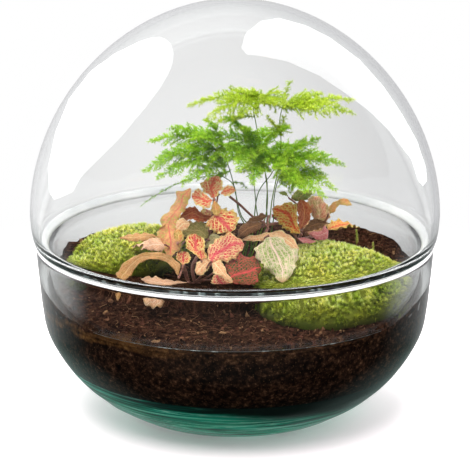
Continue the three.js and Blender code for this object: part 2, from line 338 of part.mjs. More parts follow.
    [[-40.4,-72.9,118.9],[-43.5,-70.1,123.3],[-48.0,-67.8,126.6],[-53.6,-66.5,128.4],[-59.6,-66.2,128.5],[-65.3,-66.9,127.1],[-69.5,-69.3,123.6],[-72.4,-72.3,119.2],[-75.3,-75.1,114.6],[-77.9,-77.8,109.9],[-80.2,-80.3,105.1]],
  ],
  nerve_leaf_tan_low: [
    [[-33.9,-69.3,110.9],[-37.3,-69.4,111.2],[-40.7,-69.4,112.1],[-44.1,-69.2,112.8],[-47.6,-68.8,113.4],[-51.0,-68.1,114.1],[-54.3,-66.9,114.9],[-57.8,-65.8,115.3],[-61.3,-65.2,114.9],[-64.2,-65.6,113.2],[-66.5,-66.6,111.3]],
    [[-33.9,-69.7,110.5],[-37.5,-71.6,110.1],[-41.0,-73.1,109.7],[-44.5,-74.4,109.1],[-48.1,-75.4,108.5],[-51.8,-75.8,108.0],[-55.7,-75.1,108.2],[-59.5,-73.5,109.0],[-62.8,-71.3,110.0],[-65.1,-69.2,110.6],[-66.6,-66.9,110.9]],
    [[-34.0,-70.1,110.1],[-37.6,-72.1,108.5],[-41.3,-74.7,106.6],[-44.9,-77.1,104.6],[-48.7,-79.1,102.7],[-52.6,-80.7,101.0],[-57.1,-80.4,100.7],[-61.3,-78.5,102.0],[-64.5,-75.2,104.3],[-66.1,-71.1,107.5],[-66.7,-67.3,110.5]],
  ],
  nerve_leaf_pink_small: [
    [[-37.5,-57.7,121.7],[-38.2,-57.6,122.7],[-39.3,-57.0,123.7],[-40.4,-56.2,124.7],[-41.4,-55.5,125.8],[-41.7,-54.7,127.2],[-41.3,-53.9,128.6],[-40.6,-53.2,129.8],[-39.2,-53.0,130.5],[-37.6,-53.1,130.6],[-36.5,-52.7,130.5]],
    [[-37.0,-57.8,121.6],[-36.9,-57.1,122.3],[-36.8,-56.3,123.0],[-36.7,-55.6,123.9],[-36.8,-54.9,124.9],[-36.7,-54.0,126.2],[-36.5,-53.3,127.6],[-36.4,-52.7,128.9],[-36.2,-52.4,129.8],[-36.0,-52.5,130.2],[-36.0,-52.8,130.4]],
    [[-36.4,-57.9,121.6],[-35.6,-58.1,122.3],[-34.2,-57.9,123.0],[-33.0,-57.5,123.8],[-32.1,-57.0,124.9],[-31.7,-56.3,126.2],[-31.7,-55.5,127.5],[-32.1,-54.7,128.8],[-33.1,-54.1,129.8],[-34.5,-53.6,130.3],[-35.4,-52.9,130.3]],
  ],
  nerve_leaf_red_low: [
    [[-13.3,-63.8,118.2],[-14.1,-64.8,117.2],[-15.2,-66.1,116.1],[-16.0,-67.4,114.8],[-16.5,-68.6,113.4],[-16.7,-69.8,111.8],[-16.3,-70.8,110.3],[-14.6,-71.1,109.6],[-12.8,-70.8,109.4],[-11.0,-70.3,109.2],[-9.7,-70.1,109.1]],
    [[-12.8,-63.8,118.2],[-12.6,-65.2,117.3],[-12.3,-66.6,116.4],[-11.8,-67.8,115.3],[-11.2,-68.9,114.1],[-10.5,-69.9,112.7],[-9.5,-70.8,111.3],[-8.9,-71.3,110.2],[-8.9,-71.2,109.7],[-9.1,-70.8,109.3],[-9.2,-70.1,109.1]],
    [[-12.2,-63.7,118.2],[-11.1,-64.6,117.1],[-9.3,-65.6,116.2],[-7.6,-66.5,115.2],[-5.9,-67.3,114.2],[-4.3,-68.1,113.0],[-2.8,-68.8,111.8],[-3.1,-69.8,110.3],[-5.0,-70.2,109.5],[-7.1,-70.2,109.1],[-8.6,-70.1,109.1]],
  ],
  nerve_leaf_cream_low: [
    [[-16.9,-55.4,123.6],[-18.1,-54.5,124.6],[-19.6,-53.5,125.8],[-21.7,-53.4,125.9],[-23.5,-54.1,125.1],[-25.2,-54.8,124.0],[-26.7,-55.7,122.6],[-27.8,-56.8,121.0],[-28.3,-58.0,119.3],[-28.0,-59.3,117.5],[-27.5,-60.4,116.1]],
    [[-16.7,-55.8,123.2],[-17.7,-56.2,123.5],[-18.8,-56.6,123.6],[-20.2,-57.2,123.2],[-21.5,-58.1,122.3],[-22.9,-58.9,121.3],[-24.2,-59.6,120.1],[-25.3,-60.3,118.9],[-26.2,-60.8,117.6],[-26.8,-60.9,116.7],[-27.1,-60.7,115.8]],
    [[-16.6,-56.1,122.9],[-17.3,-56.9,122.1],[-17.9,-58.2,121.0],[-18.7,-59.3,120.0],[-19.6,-60.3,119.0],[-20.6,-61.1,118.0],[-21.7,-61.7,117.1],[-22.8,-62.1,116.1],[-24.2,-62.2,115.5],[-25.7,-61.4,115.5],[-26.8,-61.0,115.5]],
  ],
  nerve_leaf_cream_curl: [
    [[-15.6,-66.9,126.3],[-13.7,-66.3,127.0],[-11.5,-66.1,127.5],[-9.3,-67.1,126.8],[-7.7,-68.7,125.4],[-7.1,-70.6,123.6],[-6.2,-72.3,121.9],[-4.9,-73.9,120.2],[-3.6,-75.2,118.5],[-2.1,-76.4,116.9],[-1.4,-77.8,115.3]],
    [[-15.8,-67.2,126.0],[-14.8,-68.3,125.8],[-13.5,-69.5,125.3],[-12.0,-71.0,124.2],[-10.4,-72.5,123.0],[-9.1,-73.9,121.7],[-7.7,-75.1,120.4],[-6.1,-76.1,119.1],[-4.6,-77.1,117.7],[-3.0,-77.7,116.3],[-1.7,-78.1,115.0]],
    [[-16.1,-67.6,125.6],[-15.9,-69.2,124.3],[-15.6,-71.3,122.7],[-14.8,-73.2,121.1],[-13.1,-74.5,120.0],[-11.2,-75.3,119.3],[-9.2,-76.0,118.5],[-7.3,-76.6,117.6],[-5.7,-77.5,116.3],[-3.8,-78.1,115.3],[-2.0,-78.4,114.7]],
  ],
  nerve_leaf_brown_centre: [
    [[19.4,-13.8,141.4],[17.3,-14.0,141.4],[14.8,-14.4,141.8],[12.3,-15.0,141.9],[9.9,-15.7,141.8],[7.6,-16.6,141.2],[5.5,-17.7,140.2],[3.7,-18.9,138.8],[2.7,-20.2,136.9],[2.2,-21.6,134.7],[1.5,-23.1,133.1]],
    [[19.7,-14.0,141.0],[18.3,-15.5,140.5],[16.7,-16.9,139.9],[14.5,-18.0,139.6],[12.2,-18.9,139.2],[10.0,-19.9,138.5],[8.0,-20.9,137.5],[6.1,-21.9,136.2],[4.5,-22.6,135.0],[3.2,-23.0,133.9],[1.8,-23.3,132.7]],
    [[20.0,-14.2,140.7],[19.3,-15.4,139.1],[18.5,-17.1,137.4],[16.6,-18.3,136.4],[14.5,-19.3,135.8],[12.5,-20.3,135.0],[10.6,-21.4,133.9],[8.6,-22.3,133.0],[6.4,-22.8,132.6],[4.1,-22.9,132.6],[2.1,-23.5,132.3]],
  ],
  nerve_leaf_centre_small: [
    [[23.1,-4.2,143.6],[21.8,-3.8,144.2],[20.4,-3.3,145.1],[18.7,-3.6,144.9],[17.2,-4.4,144.0],[15.7,-5.1,143.3],[13.9,-5.3,143.0],[12.2,-5.5,142.6],[10.7,-6.2,141.7],[9.6,-7.0,140.5],[8.4,-7.5,139.7]],
    [[23.2,-4.6,143.2],[22.0,-5.0,143.3],[20.7,-5.3,143.3],[19.1,-5.8,143.0],[17.6,-6.4,142.3],[16.0,-7.0,141.8],[14.4,-7.3,141.4],[12.7,-7.5,140.9],[11.2,-7.8,140.3],[9.8,-7.9,139.8],[8.5,-7.9,139.3]],
    [[23.2,-4.9,142.8],[22.1,-5.6,142.2],[20.9,-6.5,141.3],[19.5,-7.1,140.7],[17.9,-7.5,140.4],[16.3,-7.9,140.0],[14.8,-8.3,139.4],[13.3,-8.7,138.9],[11.7,-8.7,138.7],[10.1,-8.3,138.9],[8.6,-8.2,138.8]],
  ],
  nerve_leaf_right_orange: [
    [[48.1,-3.2,130.3],[47.0,-0.7,133.2],[46.4,1.7,136.7],[46.0,4.2,140.1],[45.9,6.7,143.6],[45.8,9.2,147.1],[42.9,11.2,149.0],[38.9,12.1,148.7],[35.0,12.5,147.8],[31.1,12.6,146.5],[28.0,12.0,144.9]],
    [[47.8,-3.4,129.9],[45.9,-2.6,131.6],[44.1,-1.5,133.5],[42.7,0.2,136.0],[41.5,2.1,138.5],[40.2,4.1,141.0],[37.7,6.0,142.7],[34.8,7.5,143.5],[32.1,9.0,144.1],[29.6,10.4,144.5],[27.7,11.7,144.5]],
    [[47.6,-3.7,129.5],[44.9,-3.0,129.5],[41.9,-2.4,129.8],[39.5,-1.1,131.2],[37.1,0.3,132.6],[34.7,1.8,134.0],[32.6,3.6,135.7],[30.8,5.6,137.7],[29.3,7.7,139.7],[28.1,9.9,142.0],[27.4,11.5,144.1]],
  ],
  nerve_leaf_right_brown: [
    [[48.0,3.0,131.4],[47.6,3.9,133.2],[46.9,4.9,135.2],[46.7,6.0,137.2],[46.6,7.2,139.2],[46.5,8.3,141.3],[46.3,9.2,143.3],[46.1,10.0,145.5],[46.2,10.8,147.6],[47.2,11.9,149.4],[48.1,13.1,150.8]],
    [[48.5,3.2,131.2],[49.2,5.2,132.7],[50.0,7.0,134.3],[50.7,8.8,136.2],[51.3,10.5,138.2],[51.6,11.9,140.5],[51.5,13.0,142.8],[51.0,13.7,145.3],[50.1,13.8,147.5],[49.3,13.8,149.3],[48.6,13.3,150.9]],
    [[48.9,3.4,131.1],[50.8,5.3,132.5],[52.9,7.7,133.9],[54.8,9.9,135.6],[56.0,11.9,137.8],[56.7,13.7,140.2],[56.7,14.9,142.9],[55.8,15.6,145.5],[53.9,15.4,147.8],[51.4,14.5,149.6],[49.1,13.6,150.9]],
  ],
  nerve_leaf_right_bud: [
    [[39.7,21.8,151.4],[39.2,21.9,152.0],[39.0,22.5,152.7],[38.7,23.2,153.4],[38.0,23.8,153.9],[37.2,24.2,154.3],[36.3,24.5,154.4],[35.4,24.7,154.4],[34.5,24.6,154.2],[33.7,24.5,153.8],[33.0,25.1,153.7]],
    [[39.5,21.4,151.1],[39.0,21.8,151.7],[38.6,22.2,152.2],[38.0,22.7,152.6],[37.3,23.0,153.0],[36.6,23.2,153.1],[35.7,23.4,153.3],[34.9,23.7,153.4],[34.2,24.0,153.4],[33.5,24.3,153.4],[32.8,24.6,153.4]],
    [[39.2,21.1,150.9],[38.8,21.2,151.5],[38.1,21.2,151.8],[37.4,21.3,152.1],[36.6,21.3,152.2],[35.9,21.3,152.3],[35.1,21.5,152.4],[34.4,21.9,152.5],[33.9,22.6,152.8],[33.3,23.5,153.1],[32.7,24.2,153.1]],
  ],
  nerve_leaf_right_green_top: [
    [[47.9,20.8,147.5],[46.0,20.9,147.9],[43.6,21.0,148.6],[42.3,22.2,150.2],[43.1,24.1,152.1],[45.0,25.6,153.5],[47.2,26.8,154.4],[49.7,27.2,154.4],[52.2,27.7,154.3],[54.8,28.3,154.3],[56.8,28.9,154.5]],
    [[48.4,20.8,147.5],[47.9,20.4,148.0],[47.4,20.3,148.5],[47.4,20.9,149.6],[48.5,22.0,150.8],[50.0,23.1,151.8],[51.6,24.1,152.6],[53.4,25.0,153.1],[55.0,26.1,153.4],[56.2,27.3,153.9],[57.3,28.7,154.3]],
    [[49.0,20.9,147.4],[49.8,21.0,147.7],[51.2,21.0,148.0],[52.6,21.3,148.5],[53.9,21.8,149.0],[55.1,22.5,149.6],[56.1,23.4,150.4],[57.1,24.6,151.2],[57.8,26.0,152.2],[57.7,27.5,153.2],[57.8,28.6,154.1]],
  ],
  nerve_leaf_right_peach: [
    [[60.3,18.3,131.9],[59.4,19.8,133.8],[58.1,21.0,136.2],[56.9,22.2,138.6],[55.8,23.6,141.1],[54.7,25.0,143.5],[53.8,26.5,145.9],[55.2,28.3,147.9],[57.8,29.7,148.8],[60.8,30.8,149.0],[63.2,31.1,149.2]],
    [[60.8,18.2,131.6],[61.6,18.4,132.8],[62.4,19.0,134.3],[63.0,20.1,136.2],[63.3,21.5,138.6],[63.0,23.1,141.1],[62.0,24.6,143.5],[62.0,26.4,145.7],[62.7,28.1,147.3],[63.3,29.7,148.3],[63.7,31.1,149.1]],
    [[61.2,18.1,131.4],[63.8,19.1,131.2],[66.8,20.0,131.6],[69.3,21.4,132.9],[71.0,23.2,135.1],[71.5,25.0,137.6],[70.5,26.5,140.1],[69.0,27.9,142.5],[67.7,29.4,144.9],[66.0,30.7,147.1],[64.2,31.1,148.9]],
  ],
  nerve_leaf_right_yellow_tip: [
    [[70.0,9.7,142.1],[70.0,11.0,144.0],[70.2,12.8,146.1],[71.9,14.6,147.6],[74.2,16.2,148.6],[76.6,17.7,149.3],[79.1,19.3,149.9],[81.6,20.6,150.1],[84.0,20.8,149.1],[85.8,20.0,147.4],[87.2,19.4,145.7]],
    [[70.3,9.4,141.8],[71.1,10.2,143.0],[72.1,11.4,144.4],[73.4,13.0,145.8],[75.1,14.6,147.0],[77.0,16.1,147.8],[79.1,17.4,148.3],[81.4,18.2,148.1],[83.6,18.6,147.4],[85.4,18.7,146.4],[87.1,19.0,145.3]],
    [[70.7,9.1,141.5],[72.2,9.4,142.0],[74.0,10.0,142.7],[74.9,11.4,144.1],[75.9,13.0,145.3],[77.4,14.5,146.3],[79.2,15.5,146.6],[81.1,15.8,146.1],[83.1,16.4,145.6],[85.1,17.4,145.3],[87.0,18.5,145.0]],
  ],
  nerve_leaf_right_crumpled: [
    [[50.5,4.5,130.2],[51.9,4.4,131.7],[53.1,5.3,133.3],[54.5,6.3,134.9],[56.0,7.4,136.3],[57.7,8.5,137.5],[59.8,9.0,137.7],[62.0,9.0,137.0],[64.1,9.1,136.3],[66.2,9.2,135.5],[68.0,10.2,134.7]],
    [[50.7,4.2,129.8],[52.3,4.9,130.5],[53.9,5.7,131.3],[55.6,6.5,132.0],[57.3,7.2,132.7],[59.1,8.0,133.4],[61.1,8.5,133.7],[63.1,8.8,133.7],[65.0,9.1,133.8],[66.7,9.5,134.0],[68.2,9.9,134.3]],
    [[50.9,3.9,129.4],[52.6,3.3,130.0],[54.6,3.1,130.0],[56.5,3.1,130.1],[58.4,3.3,130.2],[60.4,3.7,130.4],[62.2,4.3,130.8],[64.1,5.1,131.4],[65.8,6.2,132.1],[67.1,7.7,133.2],[68.4,9.6,133.8]],
  ],
  nerve_leaf_right_pink_low: [
    [[54.8,2.1,128.7],[56.5,2.4,128.9],[58.4,2.8,129.4],[60.3,2.8,129.4],[62.3,2.8,129.2],[63.9,3.7,130.1],[65.1,5.0,131.4],[66.5,6.2,132.4],[68.0,5.9,131.3],[68.8,5.2,129.6],[69.1,4.4,128.4]],
    [[54.6,1.8,128.3],[56.2,1.1,128.1],[57.9,0.5,127.9],[59.6,0.0,127.4],[61.5,-0.3,126.9],[63.2,0.1,127.2],[64.8,0.9,127.8],[66.6,2.0,128.4],[68.0,2.7,128.3],[68.9,3.3,128.1],[69.1,4.1,127.9]],
    [[54.5,1.4,127.9],[56.0,0.8,127.0],[57.4,-0.2,125.9],[59.0,-1.0,125.0],[60.8,-1.5,124.1],[62.7,-1.6,123.7],[64.7,-1.3,123.6],[66.6,-0.5,123.8],[68.1,0.9,124.9],[68.9,2.5,126.3],[69.1,3.7,127.5]],
  ],
  nerve_leaf_right_pink_ground: [
    [[46.8,-4.0,126.4],[47.9,-4.4,126.5],[49.3,-4.4,126.8],[50.6,-4.6,126.8],[51.9,-4.9,126.7],[53.3,-5.3,126.4],[54.5,-5.6,126.1],[55.8,-5.9,125.8],[57.1,-6.2,125.3],[58.3,-6.4,124.8],[59.6,-6.2,124.6]],
    [[46.6,-4.4,126.1],[47.7,-5.1,125.9],[48.8,-5.8,125.6],[50.1,-6.3,125.4],[51.5,-6.7,125.2],[52.8,-7.0,125.0],[54.2,-7.2,124.8],[55.6,-7.2,124.6],[56.9,-7.1,124.5],[58.2,-6.9,124.4],[59.5,-6.6,124.2]],
    [[46.5,-4.8,125.7],[47.5,-5.8,125.3],[48.4,-7.1,124.5],[49.6,-7.9,124.0],[51.0,-8.4,123.8],[52.4,-8.6,123.6],[53.9,-8.7,123.5],[55.3,-8.6,123.5],[56.8,-8.1,123.6],[58.1,-7.4,124.0],[59.5,-7.0,123.9]],
  ],
  nerve_leaf_back_a: [
    [[-36.5,-8.3,128.0],[-42.9,-8.7,130.3],[-46.6,-7.7,132.1],[-49.2,-6.0,133.6],[-51.1,-3.8,134.7],[-52.3,-1.3,135.3],[-52.9,1.5,135.4],[-53.1,4.7,135.0],[-52.7,8.1,134.2],[-51.9,11.8,133.1],[-50.4,15.8,131.5]],
    [[-36.0,-8.0,128.0],[-37.4,-5.6,129.8],[-38.8,-3.2,131.3],[-40.2,-0.8,132.4],[-41.6,1.6,133.2],[-43.0,4.1,133.8],[-44.4,6.5,133.9],[-45.7,8.9,133.8],[-47.1,11.3,133.4],[-48.5,13.7,132.6],[-49.9,16.1,131.5]],
    [[-35.5,-7.7,128.0],[-31.9,-2.4,130.3],[-31.0,1.3,132.1],[-31.1,4.5,133.6],[-32.1,7.1,134.7],[-33.6,9.4,135.3],[-35.8,11.4,135.4],[-38.4,13.1,135.0],[-41.5,14.5,134.2],[-45.2,15.7,133.1],[-49.4,16.4,131.5]],
  ],
  nerve_leaf_back_b: [
    [[-22.5,-1.7,118.0],[-26.2,3.6,119.9],[-27.1,7.5,121.4],[-27.0,10.8,122.6],[-26.1,13.8,123.3],[-24.5,16.3,123.5],[-22.3,18.6,123.2],[-19.6,20.5,122.5],[-16.4,22.2,121.4],[-12.8,23.7,119.9],[-8.4,24.8,118.0]],
    [[-22.0,-2.0,118.0],[-20.6,0.7,119.4],[-19.2,3.3,120.6],[-17.8,6.0,121.3],[-16.4,8.6,121.8],[-15.0,11.3,122.0],[-13.5,13.9,121.8],[-12.1,16.6,121.3],[-10.7,19.2,120.5],[-9.3,21.9,119.4],[-7.9,24.5,118.0]],
    [[-21.5,-2.3,118.0],[-15.0,-2.3,119.9],[-11.3,-0.9,121.4],[-8.6,1.1,122.6],[-6.7,3.4,123.3],[-5.4,6.2,123.5],[-4.8,9.3,123.2],[-4.7,12.6,122.5],[-5.0,16.2,121.4],[-5.9,20.0,119.9],[-7.4,24.2,118.0]],
  ],
  nerve_leaf_back_c: [
    [[57.5,30.1,118.0],[53.2,34.2,119.9],[51.6,37.5,121.5],[51.0,40.5,122.8],[51.2,43.3,123.6],[52.1,45.9,124.0],[53.6,48.4,124.0],[55.6,50.7,123.6],[58.1,52.9,122.7],[61.0,55.0,121.5],[64.6,56.9,120.0]],
    [[58.0,30.0,118.0],[58.7,32.7,119.5],[59.4,35.4,120.6],[60.2,38.0,121.5],[60.9,40.7,122.2],[61.6,43.4,122.5],[62.3,46.1,122.6],[63.0,48.7,122.3],[63.7,51.4,121.8],[64.5,54.1,121.1],[65.2,56.8,120.0]],
    [[58.5,29.9,118.0],[64.3,31.2,119.9],[67.3,33.2,121.5],[69.3,35.6,122.8],[70.5,38.1,123.6],[71.0,40.8,124.0],[71.0,43.7,124.0],[70.4,46.8,123.6],[69.4,49.9,122.7],[67.9,53.2,121.5],[65.7,56.6,120.0]],
  ],
  nerve_leaf_back_d: [
    [[69.7,26.5,124.0],[69.7,32.1,125.4],[71.0,35.5,126.4],[72.8,38.0,127.1],[75.0,39.9,127.5],[77.6,41.1,127.4],[80.4,41.9,126.9],[83.4,42.2,126.0],[86.7,42.1,124.8],[90.3,41.6,123.2],[94.1,40.6,121.3]],
    [[70.0,26.0,124.0],[72.4,27.4,124.9],[74.9,28.8,125.5],[77.3,30.2,125.9],[79.8,31.6,126.0],[82.2,33.0,125.9],[84.6,34.5,125.5],[87.1,35.9,124.8],[89.5,37.3,123.9],[92.0,38.7,122.7],[94.4,40.1,121.3]],
    [[70.3,25.5,124.0],[75.2,22.7,125.4],[78.8,22.1,126.4],[81.8,22.4,127.1],[84.5,23.4,127.5],[86.9,25.0,127.4],[88.9,27.1,126.9],[90.7,29.5,126.0],[92.3,32.4,124.8],[93.7,35.8,123.2],[94.7,39.6,121.3]],
  ],
  nerve_leaf_back_e: [
    [[-14.5,-10.0,140.0],[-19.7,-7.9,141.8],[-22.2,-5.5,143.3],[-23.7,-3.0,144.5],[-24.4,-0.5,145.2],[-24.4,2.1,145.5],[-23.9,4.8,145.4],[-22.9,7.5,144.9],[-21.4,10.2,143.9],[-19.4,13.0,142.6],[-16.8,15.8,141.0]],
    [[-14.0,-10.0,140.0],[-14.2,-7.4,141.4],[-14.5,-4.8,142.4],[-14.7,-2.2,143.2],[-14.9,0.4,143.8],[-15.1,2.9,144.0],[-15.4,5.5,144.0],[-15.6,8.1,143.6],[-15.8,10.7,143.0],[-16.0,13.3,142.2],[-16.3,15.9,141.0]],
    [[-13.5,-10.0,140.0],[-8.8,-6.9,141.8],[-6.7,-4.1,143.3],[-5.7,-1.5,144.5],[-5.5,1.2,145.2],[-5.9,3.8,145.5],[-6.8,6.3,145.4],[-8.3,8.8,144.9],[-10.3,11.2,143.9],[-12.7,13.6,142.6],[-15.7,15.9,141.0]],
  ],
  nerve_leaf_back_f: [
    [[-50.2,-20.5,122.0],[-54.4,-24.2,123.6],[-57.8,-25.4,124.9],[-60.7,-25.7,125.8],[-63.5,-25.2,126.3],[-66.0,-24.1,126.3],[-68.3,-22.5,126.0],[-70.4,-20.3,125.2],[-72.3,-17.8,124.1],[-74.1,-14.8,122.5],[-75.7,-11.2,120.7]],
    [[-50.0,-20.0,122.0],[-52.6,-19.1,123.1],[-55.1,-18.1,124.0],[-57.7,-17.2,124.5],[-60.2,-16.3,124.8],[-62.8,-15.4,124.8],[-65.3,-14.4,124.6],[-67.9,-13.5,124.0],[-70.4,-12.6,123.2],[-73.0,-11.6,122.1],[-75.5,-10.7,120.7]],
    [[-49.8,-19.5,122.0],[-50.7,-13.9,123.6],[-52.5,-10.9,124.9],[-54.6,-8.7,125.8],[-57.0,-7.4,126.3],[-59.6,-6.6,126.3],[-62.4,-6.4,126.0],[-65.4,-6.6,125.2],[-68.5,-7.3,124.1],[-71.8,-8.5,122.5],[-75.4,-10.2,120.7]],
  ],
  nerve_leaf_back_g: [
    [[41.5,25.8,128.0],[36.2,26.1,129.5],[33.2,27.5,130.8],[31.0,29.3,131.7],[29.6,31.4,132.2],[28.6,33.8,132.4],[28.2,36.4,132.2],[28.2,39.2,131.6],[28.6,42.2,130.7],[29.5,45.3,129.4],[30.8,48.8,127.8]],
    [[42.0,26.0,128.0],[40.9,28.3,129.1],[39.9,30.6,129.9],[38.8,32.9,130.5],[37.7,35.2,130.8],[36.6,37.5,130.9],[35.6,39.8,130.8],[34.5,42.1,130.4],[33.4,44.4,129.8],[32.3,46.7,128.9],[31.3,49.0,127.8]],
    [[42.5,26.2,128.0],[45.6,30.5,129.5],[46.5,33.7,130.8],[46.5,36.5,131.7],[45.9,39.0,132.2],[44.6,41.2,132.4],[42.9,43.2,132.2],[40.8,45.0,131.6],[38.2,46.6,130.7],[35.2,48.0,129.4],[31.8,49.2,127.8]],
  ],
};
const LEAF_COLOUR = {
  nerve_leaf_top_up: 0xe77a5c,
  nerve_leaf_top_left: 0xec8a66,
  nerve_leaf_top_small: 0xe9a04f,
  nerve_leaf_hanging: 0xd98a63,
  nerve_leaf_round: 0xe98a66,
  nerve_leaf_tall: 0xd99a5c,
  nerve_leaf_left: 0xd9855c,
  nerve_leaf_cream_small: 0xefc79a,
  nerve_leaf_yellow_small: 0xcdb04a,
  nerve_leaf_red_curled: 0x9a3b20,
  nerve_leaf_olive_back: 0x8c8450,
  nerve_leaf_pink_mid: 0xeda08a,
  nerve_leaf_pink_large: 0xe8737a,
  nerve_leaf_red_green: 0xb04a3c,
  nerve_leaf_pale: 0xcfd39a,
  nerve_leaf_pale_back: 0xcfc08a,
  nerve_leaf_tan_flat: 0xdfa873,
  nerve_leaf_tan_mid: 0xe8c0a4,
  nerve_leaf_tan_arched: 0xc78a55,
  nerve_leaf_tan_low: 0xd3a57c,
  nerve_leaf_pink_small: 0xeba58a,
  nerve_leaf_red_low: 0xd76a5e,
  nerve_leaf_cream_low: 0xe8c58f,
  nerve_leaf_cream_curl: 0xecc594,
  nerve_leaf_brown_centre: 0x84603f,
  nerve_leaf_centre_small: 0xa86a3c,
  nerve_leaf_right_orange: 0xd98d3e,
  nerve_leaf_right_brown: 0x8a3a22,
  nerve_leaf_right_bud: 0x8f9a48,
  nerve_leaf_right_green_top: 0x7f9444,
  nerve_leaf_right_peach: 0xdba07c,
  nerve_leaf_right_yellow_tip: 0xc9984c,
  nerve_leaf_right_crumpled: 0xa8603a,
  nerve_leaf_right_pink_low: 0xd98a80,
  nerve_leaf_right_pink_ground: 0xc77f86,
  nerve_leaf_back_a: 0xb9894f,
  nerve_leaf_back_b: 0xa9824a,
  nerve_leaf_back_c: 0xb7824a,
  nerve_leaf_back_d: 0xa88a52,
  nerve_leaf_back_e: 0xb58a50,
  nerve_leaf_back_f: 0xb0804a,
  nerve_leaf_back_g: 0xa87d48,
};
const ROWS = [0, 2, 4, 6, 8, 10];
const leafCut = [];
const leafSolid = {};
for (const [name, lines] of Object.entries(LEAVES)) {
  const cutters = leafCut.map((c) => c.cut);
  const body = biggest(trim(blade(lines, BLADE, 0, ROWS), [soilUp, ...cutters]));
  leafSolid[name] = body;
  leafCut.push({ name, cut: blade(lines, BLADE, TOUCH, ROWS) });
}
const leafCutters = leafCut.map((c) => c.cut);

